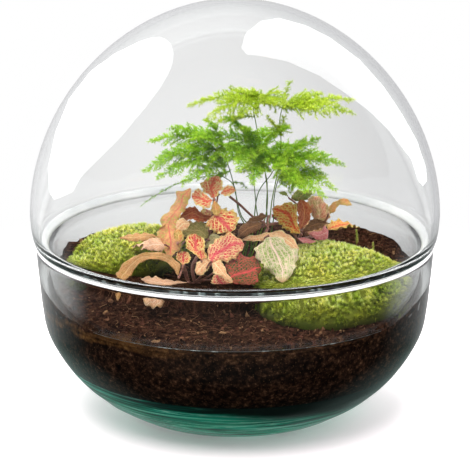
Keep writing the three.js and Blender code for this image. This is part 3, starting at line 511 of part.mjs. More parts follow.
// ---- stems of the nerve plants, joined to their leaf stalks ----------------------
const STEMS = {
  nerve_stems_left: [
    { p: [[-31.0,-37.0,95.5],[-33.5,-44.0,104.2],[-36.6,-47.0,117.2],[-41.0,-38.0,124.2],[-43.3,-32.0,130.7]], r: 1.5 },
    { p: [[-26.0,-33.0,95.5],[-28.9,-40.0,103.0],[-30.3,-36.0,114.6],[-22.6,-21.0,126.0],[-17.4,-21.0,140.4],[-15.5,-25.0,152.0]], r: 1.5 },
    { p: [[-31.0,-37.0,95.5],[-30.0,-36.0,98.5],[-27.0,-34.0,98.5],[-26.0,-33.0,95.5]], r: 1.5 },
    { p: [[-43.3,-32.0,130.7],[-44.5,-35.2,131.3],[-45.8,-38.7,130.4],[-45.7,-38.4,131.8]], r: 0.8 },
    { p: [[-41.0,-38.0,124.2],[-44.0,-42.6,124.5],[-47.3,-52.1,123.6],[-46.9,-51.3,124.8]], r: 0.8 },
    { p: [[-36.6,-47.0,117.2],[-36.8,-52.7,119.2],[-37.2,-59.5,120.2],[-37.0,-58.3,121.2]], r: 1.0 },
    { p: [[-36.6,-47.0,117.2],[-38.1,-61.0,117.8],[-39.4,-73.9,117.3],[-39.7,-73.1,118.5]], r: 0.8 },
    { p: [[-41.0,-38.0,124.2],[-45.5,-43.9,129.9],[-49.2,-52.5,135.4],[-49.9,-53.8,135.6]], r: 0.8 },
    { p: [[-43.3,-32.0,130.7],[-49.1,-34.5,134.0],[-53.4,-38.8,137.2],[-54.9,-39.1,137.4]], r: 0.8 },
    { p: [[-43.3,-32.0,130.7],[-41.8,-42.8,134.2],[-40.6,-54.3,136.5],[-40.3,-53.6,137.8]], r: 0.8 },
    { p: [[-43.3,-32.0,130.7],[-42.3,-39.2,136.6],[-41.6,-44.7,141.1],[-41.2,-44.4,142.6]], r: 0.8 },
    { p: [[-33.5,-44.0,104.2],[-33.4,-59.7,107.4],[-32.0,-68.6,110.6],[-33.3,-69.3,110.5]], r: 0.8 },
    { p: [[-30.3,-36.0,114.6],[-27.1,-44.6,119.6],[-23.8,-56.3,123.7],[-23.8,-55.1,124.7]], r: 0.8 },
    { p: [[-30.3,-36.0,114.6],[-23.2,-45.7,118.8],[-14.8,-54.8,122.8],[-16.1,-55.5,123.1]], r: 0.8 },
    { p: [[-28.9,-40.0,103.0],[-22.6,-54.4,114.5],[-17.3,-65.6,126.3],[-16.3,-66.7,126.1]], r: 0.8 },
    { p: [[-30.3,-36.0,114.6],[-23.8,-45.1,118.7],[-17.6,-58.7,121.5],[-17.2,-58.3,122.9]], r: 0.8 },
    { p: [[-22.6,-21.0,126.0],[-21.0,-24.7,129.7],[-18.8,-31.2,132.5],[-19.5,-30.3,133.4]], r: 0.8 },
    { p: [[-17.4,-21.0,140.4],[-15.7,-25.8,146.0],[-14.2,-29.3,151.1],[-14.1,-30.7,151.6]], r: 0.8 },
    { p: [[-17.4,-21.0,140.4],[-17.1,-19.6,144.3],[-15.5,-21.9,148.6],[-16.9,-22.2,148.2]], r: 0.8 },
    { p: [[-15.5,-25.0,152.0],[-15.2,-28.4,160.4],[-15.1,-30.9,163.9],[-14.9,-31.8,162.7]], r: 0.8 },
    { p: [[-15.5,-25.0,152.0],[-15.6,-25.0,156.8],[-14.4,-26.3,161.8],[-15.7,-27.0,161.6]], r: 0.8 },
    { p: [[-15.5,-25.0,152.0],[-15.5,-19.2,156.0],[-15.5,-20.6,159.2],[-15.6,-19.4,160.1]], r: 0.8 },
    { p: [[-15.5,-25.0,152.0],[-13.2,-15.9,157.2],[-12.3,-14.8,161.7],[-10.9,-14.8,162.4]], r: 0.8 },
    { p: [[-28.9,-40.0,103.0],[-20.9,-53.6,110.7],[-13.0,-61.9,119.3],[-12.8,-63.2,118.5]], r: 0.8 },
    { p: [[-28.9,-40.0,103.0],[-16.4,-48.1,107.8],[-4.1,-61.0,111.6],[-4.0,-62.2,112.6]], r: 0.8 },
    { p: [[-41.0,-38.0,124.2],[-38.4,-18.3,125.9],[-35.1,-9.6,126.8],[-35.7,-8.5,127.6]], r: 0.8 },
    { p: [[-30.3,-36.0,114.6],[-26.3,-14.3,116.1],[-22.9,-3.8,117.1],[-22.3,-2.6,117.7]], r: 0.8 },
    { p: [[-22.6,-21.0,126.0],[-18.3,-12.8,132.8],[-13.8,-11.9,139.0],[-13.9,-10.6,139.7]], r: 0.8 },
    { p: [[-41.0,-38.0,124.2],[-45.2,-24.1,123.0],[-48.1,-20.7,121.2],[-49.4,-20.2,121.7]], r: 0.8 },
  ],
  nerve_stems_centre: [
    { p: [[20.0,-14.0,96.5],[15.3,-22.0,113.4],[19.7,-18.0,128.9],[24.2,-10.0,135.7]], r: 1.4 },
    { p: [[19.7,-18.0,128.9],[21.9,-26.5,133.3],[23.8,-37.7,138.0],[24.2,-39.1,137.6]], r: 0.8 },
    { p: [[19.7,-18.0,128.9],[12.0,-16.0,129.4],[3.0,-21.9,129.5],[4.4,-22.1,129.9]], r: 0.8 },
    { p: [[24.2,-10.0,135.7],[22.1,-11.8,138.5],[21.1,-12.5,141.6],[20.1,-13.5,141.2]], r: 0.8 },
    { p: [[24.2,-10.0,135.7],[24.0,-7.2,141.5],[25.3,-3.9,143.1],[23.8,-4.4,143.2]], r: 0.8 },
    { p: [[-4.0,-6.0,158.5],[3.7,-3.0,151.3],[12.5,-2.0,142.6],[19.8,-4.0,138.6],[24.2,-10.0,135.7]], r: 1.0 },
  ],
  nerve_stems_right: [
    { p: [[50.0,17.0,99.0],[48.4,13.0,117.6],[49.1,13.0,126.1],[50.7,20.0,139.7]], r: 1.4 },
    { p: [[49.1,13.0,126.1],[48.7,4.7,127.8],[49.4,-4.1,128.5],[48.3,-3.6,129.5]], r: 0.8 },
    { p: [[49.1,13.0,126.1],[48.7,9.8,128.5],[47.8,1.5,130.0],[48.2,2.6,130.9]], r: 0.8 },
    { p: [[50.7,20.0,139.7],[45.3,20.6,146.2],[40.8,20.4,149.7],[39.9,21.1,150.7]], r: 0.8 },
    { p: [[50.7,20.0,139.7],[49.8,20.6,143.3],[49.8,21.9,146.1],[48.9,21.2,147.0]], r: 0.8 },
    { p: [[49.1,13.0,126.1],[54.7,18.6,128.6],[59.6,17.9,129.8],[60.4,18.1,131.1]], r: 0.8 },
    { p: [[49.1,13.0,126.1],[49.6,8.4,127.8],[48.9,3.3,129.0],[50.1,3.9,129.5]], r: 0.8 },
    { p: [[48.4,13.0,117.6],[51.2,8.5,123.0],[52.6,2.7,128.5],[54.0,2.1,128.3]], r: 0.8 },
    { p: [[48.4,13.0,117.6],[47.3,4.5,121.9],[44.8,-3.2,126.4],[46.1,-4.0,126.2]], r: 0.8 },
    { p: [[49.1,13.0,126.1],[60.1,11.0,129.8],[67.5,12.0,135.7],[69.3,9.4,141.3]], r: 0.9 },
    { p: [[16.9,-4.0,134.4],[24.3,0.0,135.1],[32.9,8.0,134.0],[40.9,11.0,128.3],[48.4,13.0,117.6]], r: 1.2 },
    { p: [[48.4,13.0,117.6],[53.1,27.2,117.6],[57.5,28.1,117.0],[57.8,29.4,117.7]], r: 0.8 },
    { p: [[48.4,13.0,117.6],[58.9,24.3,120.7],[68.2,25.0,123.3],[69.4,25.7,123.8]], r: 0.8 },
    { p: [[49.1,13.0,126.1],[45.7,21.2,126.9],[42.9,24.2,127.1],[42.3,25.4,127.7]], r: 0.8 },
  ],
};
const STEM_COLOUR = { nerve_stems_left: 0x7a4a44, nerve_stems_centre: 0x7d5a48, nerve_stems_right: 0x74483c };
const stemSolid = {};
const stemCut = [];
for (const [name, runs] of Object.entries(STEMS)) {
  const body = union(runs.map((s) => stalk(s.p, s.r, s.r > 1.1 ? 12 : 4)));
  const fat = union(runs.map((s) => stalk(s.p, s.r + TOUCH, s.r > 1.1 ? 12 : 4)));
  stemSolid[name] = biggest(trim(body, [soilUp, ...leafCutters, ...stemCut]));
  stemCut.push(fat);
}

// ---- asparagus fern: every stem carries its own flat sprays -----------------------
const FERN = {
  fern_stem_top_left: {
    stem: [[9.0,15.0,98.0],[20.8,14.0,130.5],[24.1,13.0,150.8],[21.4,12.0,177.7],[15.0,9.0,211.3],[13.8,7.0,221.8],[21.1,8.0,229.7]],
    sprays: [
      { a: [21.1,8.0,229.7], b: [-34.6,24.0,219.5], hw: 11, rise: 6, roll: -18 },
      { a: [21.1,8.0,229.7], b: [-20.0,-24.0,219.1], hw: 13, rise: 7, roll: -22 },
      { a: [21.1,8.0,229.7], b: [26.5,-16.0,229.7], hw: 9, rise: 2, roll: 0.0 },
      { a: [21.1,8.0,229.7], b: [-5.1,2.0,231.0], hw: 15, rise: 3, roll: -24 },
      { a: [21.1,8.0,229.7], b: [36.5,-16.0,228.3], hw: 10, rise: 2, roll: 16 },
      { a: [19.8,7.8,228.4], b: [3.6,-22.0,222.3], hw: 11, rise: 3, roll: -20 },
      { a: [14.4,8.6,214.4], b: [-15.4,16.0,207.8], hw: 9, rise: 4, roll: -20 },
    ],
  },
  fern_stem_top_right: {
    stem: [[16.0,13.0,98.0],[24.9,12.0,131.1],[27.4,11.0,151.3],[30.9,8.0,171.2],[33.6,5.0,194.6],[32.6,4.0,212.4],[34.2,4.0,222.4]],
    sprays: [
      { a: [34.2,4.0,222.4], b: [87.4,34.0,222.6], hw: 12, rise: 4, roll: 14 },
      { a: [34.2,4.0,222.4], b: [83.7,-20.0,223.3], hw: 13, rise: 5, roll: 22 },
      { a: [34.2,4.0,222.4], b: [39.7,12.0,240.7], hw: 4, rise: 0, roll: 0.0 },
      { a: [33.5,4.5,201.2], b: [23.8,-6.0,218.0], hw: 6, rise: 1, roll: 0.0 },
      { a: [33.5,4.5,201.2], b: [35.8,8.0,214.8], hw: 6, rise: 1, roll: 0.0 },
      { a: [34.2,4.0,222.4], b: [63.3,8.0,231.9], hw: 12, rise: 3, roll: 22 },
      { a: [34.2,4.0,222.4], b: [58.2,-12.0,224.5], hw: 12, rise: 2, roll: 26 },
      { a: [34.2,4.0,222.4], b: [19.4,-8.0,228.0], hw: 9, rise: 2, roll: -18 },
    ],
  },
  fern_stem_mid_left: {
    stem: [[5.0,10.0,98.0],[11.1,8.0,127.6],[4.4,6.0,141.2],[0.7,5.0,156.7],[-2.2,3.0,170.2],[-6.6,1.0,185.8],[-9.5,1.0,197.8]],
    sprays: [
      { a: [-9.2,1.0,196.8], b: [-63.0,26.0,192.6], hw: 14, rise: 6, roll: -22 },
      { a: [-8.1,0.9,192.0], b: [-66.3,-4.0,177.2], hw: 15, rise: 8, roll: -24 },
      { a: [-6.6,1.0,185.8], b: [-56.0,-28.0,178.1], hw: 12, rise: 6, roll: -20 },
      { a: [-9.5,1.0,197.8], b: [-20.9,-12.0,217.1], hw: 8, rise: 3, roll: 0.0 },
      { a: [-9.0,1.0,195.8], b: [-47.7,14.0,205.2], hw: 13, rise: 5, roll: -24 },
      { a: [-7.6,0.9,190.0], b: [-54.2,-14.0,190.2], hw: 14, rise: 6, roll: -26 },
      { a: [-5.2,1.5,180.8], b: [-37.8,-36.0,175.8], hw: 10, rise: 4, roll: -18 },
      { a: [-8.3,0.9,192.9], b: [-27.9,-26.0,208.6], hw: 13, rise: 5, roll: -12 },
      { a: [-3.6,2.3,175.3], b: [-21.5,14.0,161.2], hw: 10, rise: 3, roll: -20 },
    ],
  },
  fern_stem_centre: {
    stem: [[14.0,20.0,98.0],[23.2,20.0,128.8],[23.5,20.0,145.1],[23.7,18.0,164.0],[19.2,13.0,181.3],[16.2,11.0,190.9]],
    sprays: [
      { a: [16.2,11.0,190.9], b: [-17.0,24.0,198.4], hw: 14, rise: 5, roll: -20 },
      { a: [16.2,11.0,190.9], b: [2.1,-30.0,183.1], hw: 12, rise: 7, roll: -10 },
      { a: [16.4,11.2,190.1], b: [23.1,34.0,200.6], hw: 12, rise: 3, roll: 0.0 },
      { a: [16.6,11.3,189.3], b: [-6.5,4.0,215.0], hw: 13, rise: 5, roll: -18 },
      { a: [17.1,11.6,188.0], b: [38.3,-8.0,210.3], hw: 13, rise: 5, roll: 16 },
      { a: [17.8,12.0,185.8], b: [-16.6,-18.0,190.4], hw: 13, rise: 5, roll: -24 },
      { a: [19.2,13.0,181.3], b: [12.1,-36.0,175.8], hw: 10, rise: 4, roll: -8 },
      { a: [18.3,12.3,184.2], b: [36.6,-26.0,182.1], hw: 12, rise: 5, roll: 18 },
      { a: [16.4,11.2,190.1], b: [7.9,-20.0,213.1], hw: 12, rise: 4, roll: -10 },
    ],
  },
  fern_stem_mid_right: {
    stem: [[10.0,9.0,98.0],[13.7,8.0,132.2],[15.8,8.0,152.1],[19.1,7.0,161.9],[25.7,6.0,170.9],[30.1,6.0,178.5]],
    sprays: [
      { a: [29.7,6.0,177.9], b: [62.1,24.0,195.3], hw: 12, rise: 4, roll: 16 },
      { a: [30.1,6.0,178.5], b: [78.8,-2.0,182.0], hw: 13, rise: 6, roll: 22 },
      { a: [29.4,6.0,177.2], b: [19.5,-14.0,195.4], hw: 9, rise: 4, roll: -6 },
      { a: [30.1,6.0,178.5], b: [51.5,-6.0,197.9], hw: 13, rise: 4, roll: 18 },
      { a: [30.1,6.0,178.5], b: [66.9,-20.0,192.4], hw: 13, rise: 5, roll: 24 },
      { a: [29.4,6.0,177.2], b: [45.1,-32.0,174.7], hw: 11, rise: 4, roll: 18 },
      { a: [27.3,5.9,173.5], b: [3.7,16.0,172.9], hw: 11, rise: 4, roll: -22 },
      { a: [30.1,6.0,178.5], b: [36.0,14.0,193.2], hw: 11, rise: 3, roll: 8 },
    ],
  },
  fern_stem_low_right: {
    stem: [[20.0,20.0,98.0],[28.0,18.0,129.4],[29.0,17.0,150.5],[31.0,13.0,163.0],[33.1,9.0,170.2]],
    sprays: [
      { a: [33.1,9.0,170.2], b: [72.4,-18.0,167.3], hw: 12, rise: 6, roll: 22 },
      { a: [33.1,9.0,170.2], b: [63.9,-30.0,164.6], hw: 10, rise: 5, roll: 20 },
      { a: [33.1,9.0,170.2], b: [49.8,22.0,160.7], hw: 8, rise: 3, roll: 14 },
      { a: [33.1,9.0,170.2], b: [66.5,-2.0,173.0], hw: 12, rise: 4, roll: 24 },
      { a: [33.1,9.0,170.2], b: [50.8,-36.0,169.9], hw: 9, rise: 3, roll: 16 },
    ],
  },
  fern_stem_drooping: {
    stem: [[2.0,14.0,98.0],[9.7,12.0,123.3],[2.6,12.0,141.8],[-0.7,13.0,161.5],[-9.6,14.0,168.9]],
    sprays: [
      { a: [-9.6,14.0,168.9], b: [-68.7,8.0,148.3], hw: 4, rise: 9, roll: 0.0 },
      { a: [-1.9,13.2,163.4], b: [8.0,-4.0,164.4], hw: 4, rise: 3, roll: 0.0 },
      { a: [-6.4,13.7,166.9], b: [-29.1,30.0,167.9], hw: 9, rise: 3, roll: -20 },
    ],
  },
  fern_stem_back: {
    stem: [[7.0,20.0,98.0],[17.2,21.0,123.9],[15.7,24.0,144.0],[14.2,30.0,161.7],[14.2,36.0,175.6]],
    sprays: [
      { a: [14.2,36.0,175.6], b: [-5.4,74.0,178.8], hw: 16, rise: 5, roll: 0.0 },
      { a: [14.2,36.0,175.6], b: [43.6,72.0,177.7], hw: 16, rise: 5, roll: 0.0 },
      { a: [14.2,35.5,174.5], b: [11.4,58.0,179.5], hw: 8, rise: 3, roll: 0.0 },
      { a: [14.2,35.5,174.5], b: [-20.4,52.0,170.1], hw: 13, rise: 4, roll: -14 },
      { a: [14.2,35.5,174.5], b: [52.1,48.0,168.0], hw: 13, rise: 4, roll: 14 },
    ],
  },
};
function sprayLines(s) {
  const a = V(s.a);
  const b = V(s.b);
  const run = b.clone().sub(a);
  const flat = new THREE.Vector3(run.x, run.y, 0).normalize();
  const side = new THREE.Vector3(-flat.y, flat.x, Math.tan((s.roll * Math.PI) / 180)).normalize();
  const lines = [[], [], []];
  const n = 5;
  for (let i = 0; i < n; i++) {
    const u = i / (n - 1);
    const m = a.clone().addScaledVector(run, u);
    m.z += s.rise * 2.8 * u * (1 - u);
    const shape = (u > 0 ? Math.min(1, (u / 0.22) ** 0.8) : 0) * (1 - Math.max(0, (u - 0.22) / 0.78)) ** 0.75;
    const w = Math.max(s.hw * shape, 0.7);
    [w, 0, -w].forEach((k, j) => {
      const p = m.clone().addScaledVector(side, k);
      p.z -= 0.12 * Math.abs(k);
      lines[j].push([p.x, p.y, p.z]);
    });
  }
  return lines;
}
const fernStemFat = {};
for (const [name, f] of Object.entries(FERN)) fernStemFat[name] = stalk(f.stem, 0.7 + TOUCH, 8);
const fernSolid = {};
const sprayCut = [];
for (const [name, f] of Object.entries(FERN)) {
  const others = Object.entries(fernStemFat).filter(([k]) => k !== name).map(([, m]) => m);
  const stem = trim(stalk(f.stem, 0.7, 8), [soilUp, ...leafCutters, ...stemCut]);
  const sprays = f.sprays.map((s) => trim(blade(sprayLines(s), SPRAY), [...others, ...sprayCut, ...leafCutters, ...stemCut]));
  fernSolid[name] = biggest(union([stem, ...sprays]));
  for (const s of f.sprays) sprayCut.push(blade(sprayLines(s), SPRAY, TOUCH));
}

// ---- moss cushions ----------------------------------------------------------------
// A low mound: outline radius in steps round its middle, with a height over the soil.
const MOSS = {
  moss_left: {
    middle: [-78, 6], height: 24, outline: [36, 46, 52, 52, 47, 39, 34, 34, 40, 52, 56, 46, 34, 27, 25, 28],
  },
  moss_right: {
    middle: [68, -32], height: 30, outline: [60, 51, 47, 49, 53, 53, 51, 52, 56, 58, 64, 66, 62, 56, 54, 60],
  },
};
const mossSolid = {};
for (const [name, m] of Object.entries(MOSS)) {
  const n = m.outline.length;
  const rings = 5;
  const g = new THREE.SphereGeometry(1, n * 2, rings * 2);
  g.rotateX(Math.PI / 2);
  const pos = g.attributes.position;
  for (let i = 0; i < pos.count; i++) {
    const x = pos.getX(i);
    const y = pos.getY(i);
    const z = pos.getZ(i);
    const rr = Math.min(1, Math.hypot(x, y));
    let a = Math.atan2(y, x) / (Math.PI * 2);
    if (a < 0) a += 1;
    const k = a * n;
    const k0 = Math.floor(k + 1e-6) % n;
    const t = k - Math.floor(k + 1e-6);
    const radius = m.outline[k0] * (1 - t) + m.outline[(k0 + 1) % n] * t;
    let px = m.middle[0] + (rr > 0 ? (x / Math.hypot(x, y)) * rr * radius : 0);
    let py = m.middle[1] + (rr > 0 ? (y / Math.hypot(x, y)) * rr * radius : 0);
    const r = Math.hypot(px, py);
    if (r > 129.5) {
      px *= 129.5 / r;
      py *= 129.5 / r;
    }
    const top = Math.sign(z) * Math.abs(z) ** 0.8;
    pos.setXYZ(i, px, py, surface(px, py) + (z > 0 ? top * m.height : z * 3));
  }
  const body = trim(solid(g), [soilUp, ...leafCutters, ...stemCut, ...Object.values(fernStemFat), ...sprayCut]);
  mossSolid[name] = biggest(body);
}
const sprig = (x, y, h) => {
  const g = new THREE.CylinderGeometry(0.6, 2.4, h, 6, 1);
  g.rotateX(Math.PI / 2);
  g.translate(x, y, surface(x, y) + h / 2 - 0.5);
  return biggest(trim(solid(g), [soilUp]));
};
const SPRIGS = { moss_shoot_a: [93, 43, 13], moss_shoot_b: [104, 22, 13] };

const moss = new THREE.Group();
contents.add(moss);
for (const [name, m] of Object.entries(mossSolid)) piece(moss, name, geometryOf(m), 0x9db52f, 0.9);
for (const [name, [x, y, h]] of Object.entries(SPRIGS)) piece(moss, name, geometryOf(sprig(x, y, h)), 0x9cc03a, 0.9);
const nerve = new THREE.Group();
contents.add(nerve);
for (const [name, m] of Object.entries(leafSolid)) piece(nerve, name, geometryOf(m), LEAF_COLOUR[name] ?? 0xcf8a66, 0.6);
for (const [name, m] of Object.entries(stemSolid)) piece(nerve, name, geometryOf(m), STEM_COLOUR[name], 0.7);
const fern = new THREE.Group();
contents.add(fern);
for (const [name, m] of Object.entries(fernSolid)) piece(fern, name, geometryOf(m), name.includes('top') ? 0x9fcb3c : 0x4f9130, 0.8);

export default terrarium;
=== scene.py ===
# Glass plant terrarium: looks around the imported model.
import json
import math
import bpy
import numpy as np
from mathutils import Vector, Matrix
from mathutils.geometry import tessellate_polygon


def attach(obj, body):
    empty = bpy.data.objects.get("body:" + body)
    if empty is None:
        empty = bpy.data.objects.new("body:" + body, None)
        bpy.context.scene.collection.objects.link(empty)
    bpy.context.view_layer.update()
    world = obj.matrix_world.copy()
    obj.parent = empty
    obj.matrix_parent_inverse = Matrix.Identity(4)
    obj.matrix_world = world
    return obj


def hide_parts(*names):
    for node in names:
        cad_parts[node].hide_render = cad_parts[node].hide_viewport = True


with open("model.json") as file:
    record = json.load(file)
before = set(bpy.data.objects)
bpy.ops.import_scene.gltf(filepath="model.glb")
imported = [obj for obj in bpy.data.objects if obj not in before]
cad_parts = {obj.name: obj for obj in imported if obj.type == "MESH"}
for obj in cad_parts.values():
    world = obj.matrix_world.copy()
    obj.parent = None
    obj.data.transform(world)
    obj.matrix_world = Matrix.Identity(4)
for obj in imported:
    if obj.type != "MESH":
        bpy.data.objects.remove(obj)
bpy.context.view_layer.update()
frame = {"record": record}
scene = bpy.context.scene
MM = 0.001

# ---------------------------------------------------------------- camera ----
CAM = np.array([0.0, -1441.9, 541.0])
AIM = np.array([0.0, 0.0, 127.55])
cam_data = bpy.data.cameras.new("camera")
cam_data.sensor_width = 36.0
cam_data.lens = 155.75
cam_data.clip_end = 50.0
cam = bpy.data.objects.new("camera", cam_data)
cam.location = Vector(CAM * MM)
cam.rotation_euler = Vector((AIM - CAM) * MM).to_track_quat("-Z", "Y").to_euler()
scene.collection.objects.link(cam)
scene.camera = cam

# ---------------------------------------------------------------- helpers ----
def spline(points, n):
    """n points on a Catmull-Rom curve through the given ones."""
    p = np.asarray(points, float)
    k = len(p)
    t = np.linspace(0, k - 1, n)
    i = np.minimum(t.astype(int), k - 2)
    f = (t - i)[:, None]
    p1, p2 = p[i], p[i + 1]
    p0 = np.where((i == 0)[:, None], 2 * p1 - p2, p[np.maximum(i - 1, 0)])
    p3 = np.where((i == k - 2)[:, None], 2 * p2 - p1, p[np.minimum(i + 2, k - 1)])
    return 0.5 * (2 * p1 + (p2 - p0) * f + (2 * p0 - 5 * p1 + 4 * p2 - p3) * f**2 + (3 * p1 - p0 - 3 * p2 + p3) * f**3)


def unit(v):
    v = np.asarray(v, float)
    return v / np.maximum(np.linalg.norm(v, axis=-1, keepdims=True), 1e-9)


def lattice(ix, iy, iz, seed):
    n = (ix * 374761393 + iy * 668265263 + iz * 1274126177 + seed * 974634777) & 0xFFFFFFFF
    n = ((n ^ (n >> 13)) * 1103515245) & 0xFFFFFFFF
    n = ((n ^ (n >> 16)) * 1597334677) & 0xFFFFFFFF
    return ((n ^ (n >> 15)) & 0xFFFF) / 32767.5 - 1.0


def noise3(p, seed=1):
    """Smooth value noise between -1 and 1."""
    p = np.asarray(p, float)
    i = np.floor(p).astype(np.int64)
    f = p - i
    f = f * f * (3 - 2 * f)
    out = 0
    for dx in (0, 1):
        for dy in (0, 1):
            for dz in (0, 1):
                w = (f[..., 0] if dx else 1 - f[..., 0]) * (f[..., 1] if dy else 1 - f[..., 1]) * (f[..., 2] if dz else 1 - f[..., 2])
                out = out + w * lattice(i[..., 0] + dx, i[..., 1] + dy, i[..., 2] + dz, seed)
    return out


def fractal(p, octaves=4, seed=1, gain=0.5):
    p = np.asarray(p, float)
    out, amp, total = 0, 1.0, 0.0
    for k in range(octaves):
        out = out + amp * noise3(p * 2**k + 17.3 * k, seed + k)
        total += amp
        amp *= gain
    return out / total


def add_mesh(name, verts, faces, material, smooth=True, attrs=None):
    """A mesh object from arrays in millimetres."""
    me = bpy.data.meshes.new(name)
    me.from_pydata((np.asarray(verts, float) * MM).tolist(), [], np.asarray(faces).tolist())
    me.update()
    if smooth:
        me.polygons.foreach_set("use_smooth", np.ones(len(me.polygons), bool))
    for key, values in (attrs or {}).items():
        values = np.asarray(values, np.float32)
        if values.ndim == 1:
            a = me.attributes.new(key, "FLOAT", "POINT")
            a.data.foreach_set("value", values)
        else:
            a = me.attributes.new(key, "FLOAT_VECTOR", "POINT")
            a.data.foreach_set("vector", values.ravel())
    me.materials.append(material)
    ob = bpy.data.objects.new(name, me)
    scene.collection.objects.link(ob)
    return ob


def place(ob, slot, *nodes):
    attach(ob, "root")
    if nodes:
        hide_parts(*nodes)
    return ob


def lathe(profile, seg):
    """Triangles of a body of revolution whose profile runs from axis to axis."""
    profile = np.asarray(profile, float)
    a = np.arange(seg) / seg * 2 * math.pi
    verts, rings = [], []
    n = 0
    for r, z in profile:
        if r < 1e-6:
            verts.append([[0, 0, z]])
            rings.append(np.array([n]))
            n += 1
        else:
            verts.append(np.stack([r * np.cos(a), r * np.sin(a), np.full(seg, z)], 1))
            rings.append(np.arange(n, n + seg))
            n += seg
    faces = []
    for u, v in zip(rings[:-1], rings[1:]):
        if len(u) == 1 and len(v) == 1:
            continue
        if len(u) == 1:
            faces.append(np.stack([np.full(seg, u[0]), v, np.roll(v, -1)], 1))
        elif len(v) == 1:
            faces.append(np.stack([u, np.full(seg, v[0]), np.roll(u, -1)], 1))
        else:
            faces.append(np.stack([u, v, np.roll(v, -1)], 1))
            faces.append(np.stack([u, np.roll(v, -1), np.roll(u, -1)], 1))
    verts = np.vstack(verts)
    faces = np.vstack(faces)
    if signed_volume(verts, faces) < 0:
        faces = faces[:, ::-1]
    return verts, faces


def hoop(profile, seg):
    """Triangles of a ring whose profile closes on itself."""
    p = np.asarray(profile, float)
    n = len(p)
    a = np.arange(seg) / seg * 2 * math.pi
    verts = np.stack([p[:, None, 0] * np.cos(a), p[:, None, 0] * np.sin(a), np.repeat(p[:, 1:2], seg, 1)], -1).reshape(-1, 3)
    i, j = np.meshgrid(np.arange(n), np.arange(seg), indexing="ij")
    a0, a1 = i * seg + j, i * seg + (j + 1) % seg
    b0, b1 = ((i + 1) % n) * seg + j, ((i + 1) % n) * seg + (j + 1) % seg
    faces = np.concatenate([np.stack([a0, b0, b1], -1).reshape(-1, 3), np.stack([a0, b1, a1], -1).reshape(-1, 3)])
    if signed_volume(verts, faces) < 0:
        faces = faces[:, ::-1]
    return verts, faces


def signed_volume(v, f):
    a, b, c = v[f[:, 0]], v[f[:, 1]], v[f[:, 2]]
    return float(np.einsum("ij,ij->i", a, np.cross(b, c)).sum() / 6)


def tube(points, radii, sides=6, twist=0.0):
    """A closed round tube along points, with its own radius at each."""
    p = np.asarray(points, float)
    n = len(p)
    r = np.broadcast_to(np.asarray(radii, float), (n,))
    t = unit(np.gradient(p, axis=0))
    ref = np.array([0.0, 0.0, 1.0]) if abs(t[0, 2]) < 0.9 else np.array([1.0, 0.0, 0.0])
    u = unit(np.cross(t[0], ref))
    us = [u]
    for k in range(1, n):
        u = us[-1] - t[k] * np.dot(us[-1], t[k])
        us.append(unit(u))
    us = np.array(us)
    vs = np.cross(t, us)
    a = np.arange(sides) / sides * 2 * math.pi + twist
    ring = p[:, None] + r[:, None, None] * (us[:, None] * np.cos(a)[None, :, None] + vs[:, None] * np.sin(a)[None, :, None])
    verts = np.vstack([ring.reshape(-1, 3), p[:1], p[-1:]])
    f = []
    for k in range(n - 1):
        u0 = k * sides + np.arange(sides)
        u1 = k * sides + (np.arange(sides) + 1) % sides
        f.append(np.stack([u0, u1, u1 + sides], 1))
        f.append(np.stack([u0, u1 + sides, u0 + sides], 1))
    k0 = np.arange(sides)
    k1 = (k0 + 1) % sides
    f.append(np.stack([k1, k0, np.full(sides, n * sides)], 1))
    e = (n - 1) * sides
    f.append(np.stack([e + k0, e + k1, np.full(sides, n * sides + 1)], 1))
    return verts, np.vstack(f)


class Bunch:
    """Gathers many small bodies into one mesh."""

    def __init__(self):
        self.v, self.f, self.a, self.n = [], [], [], 0

    def add(self, v, f, shade):
        v = np.asarray(v, float)
        self.v.append(v)
        self.f.append(np.asarray(f) + self.n)
        self.a.append(np.broadcast_to(np.asarray(shade, float), (len(v),)))
        self.n += len(v)

    def done(self):
        return np.vstack(self.v), np.vstack(self.f), np.concatenate(self.a)


def needles(p, d, length, width, side=None, flat=1.0, shade0=0.0, shade1=1.0, bunch=None):
    """Thin closed spikes: each a triangle at its foot drawn to a point."""
    p, d = np.asarray(p, float), unit(d)
    n = len(p)
    length = np.broadcast_to(length, (n,))[:, None]
    width = np.broadcast_to(width, (n,))[:, None]
    if side is None:
        ref = np.where(np.abs(d[:, 2:3]) < 0.9, [[0.0, 0.0, 1.0]], [[1.0, 0.0, 0.0]])
        side = np.cross(d, ref)
    u = unit(side - d * np.sum(side * d, 1, keepdims=True))
    w = np.cross(d, u)
    v = np.stack([p + u * width, p - u * width, p - w * width * flat, p + d * length], 1).reshape(-1, 3)
    base = np.arange(n)[:, None] * 4
    f = np.concatenate([base + [[0, 1, 3]], base + [[1, 2, 3]], base + [[2, 0, 3]], base + [[0, 2, 1]]], 1).reshape(-1, 3)
    # each spike faces out
    a, b, c, e = v[0], v[1], v[2], v[3]
    if np.dot(np.cross(b - a, e - a), c - a) > 0:
        f = f[:, ::-1]
    s0 = np.broadcast_to(shade0, (n,))
    s1 = np.broadcast_to(shade1, (n,))
    s = np.stack([s0, s0, s0, s1], 1).reshape(-1)
    bunch.add(v, f, s)


# ---------------------------------------------------------------- materials ----
def new_material(name):
    m = bpy.data.materials.new(name)
    m.use_nodes = True
    nt = m.node_tree
    nt.nodes.clear()
    out = nt.nodes.new("ShaderNodeOutputMaterial")
    return m, nt, out


def principled(nt, **values):
    b = nt.nodes.new("ShaderNodeBsdfPrincipled")
    for k, v in values.items():
        b.inputs[k.replace("_", " ")].default_value = v
    return b


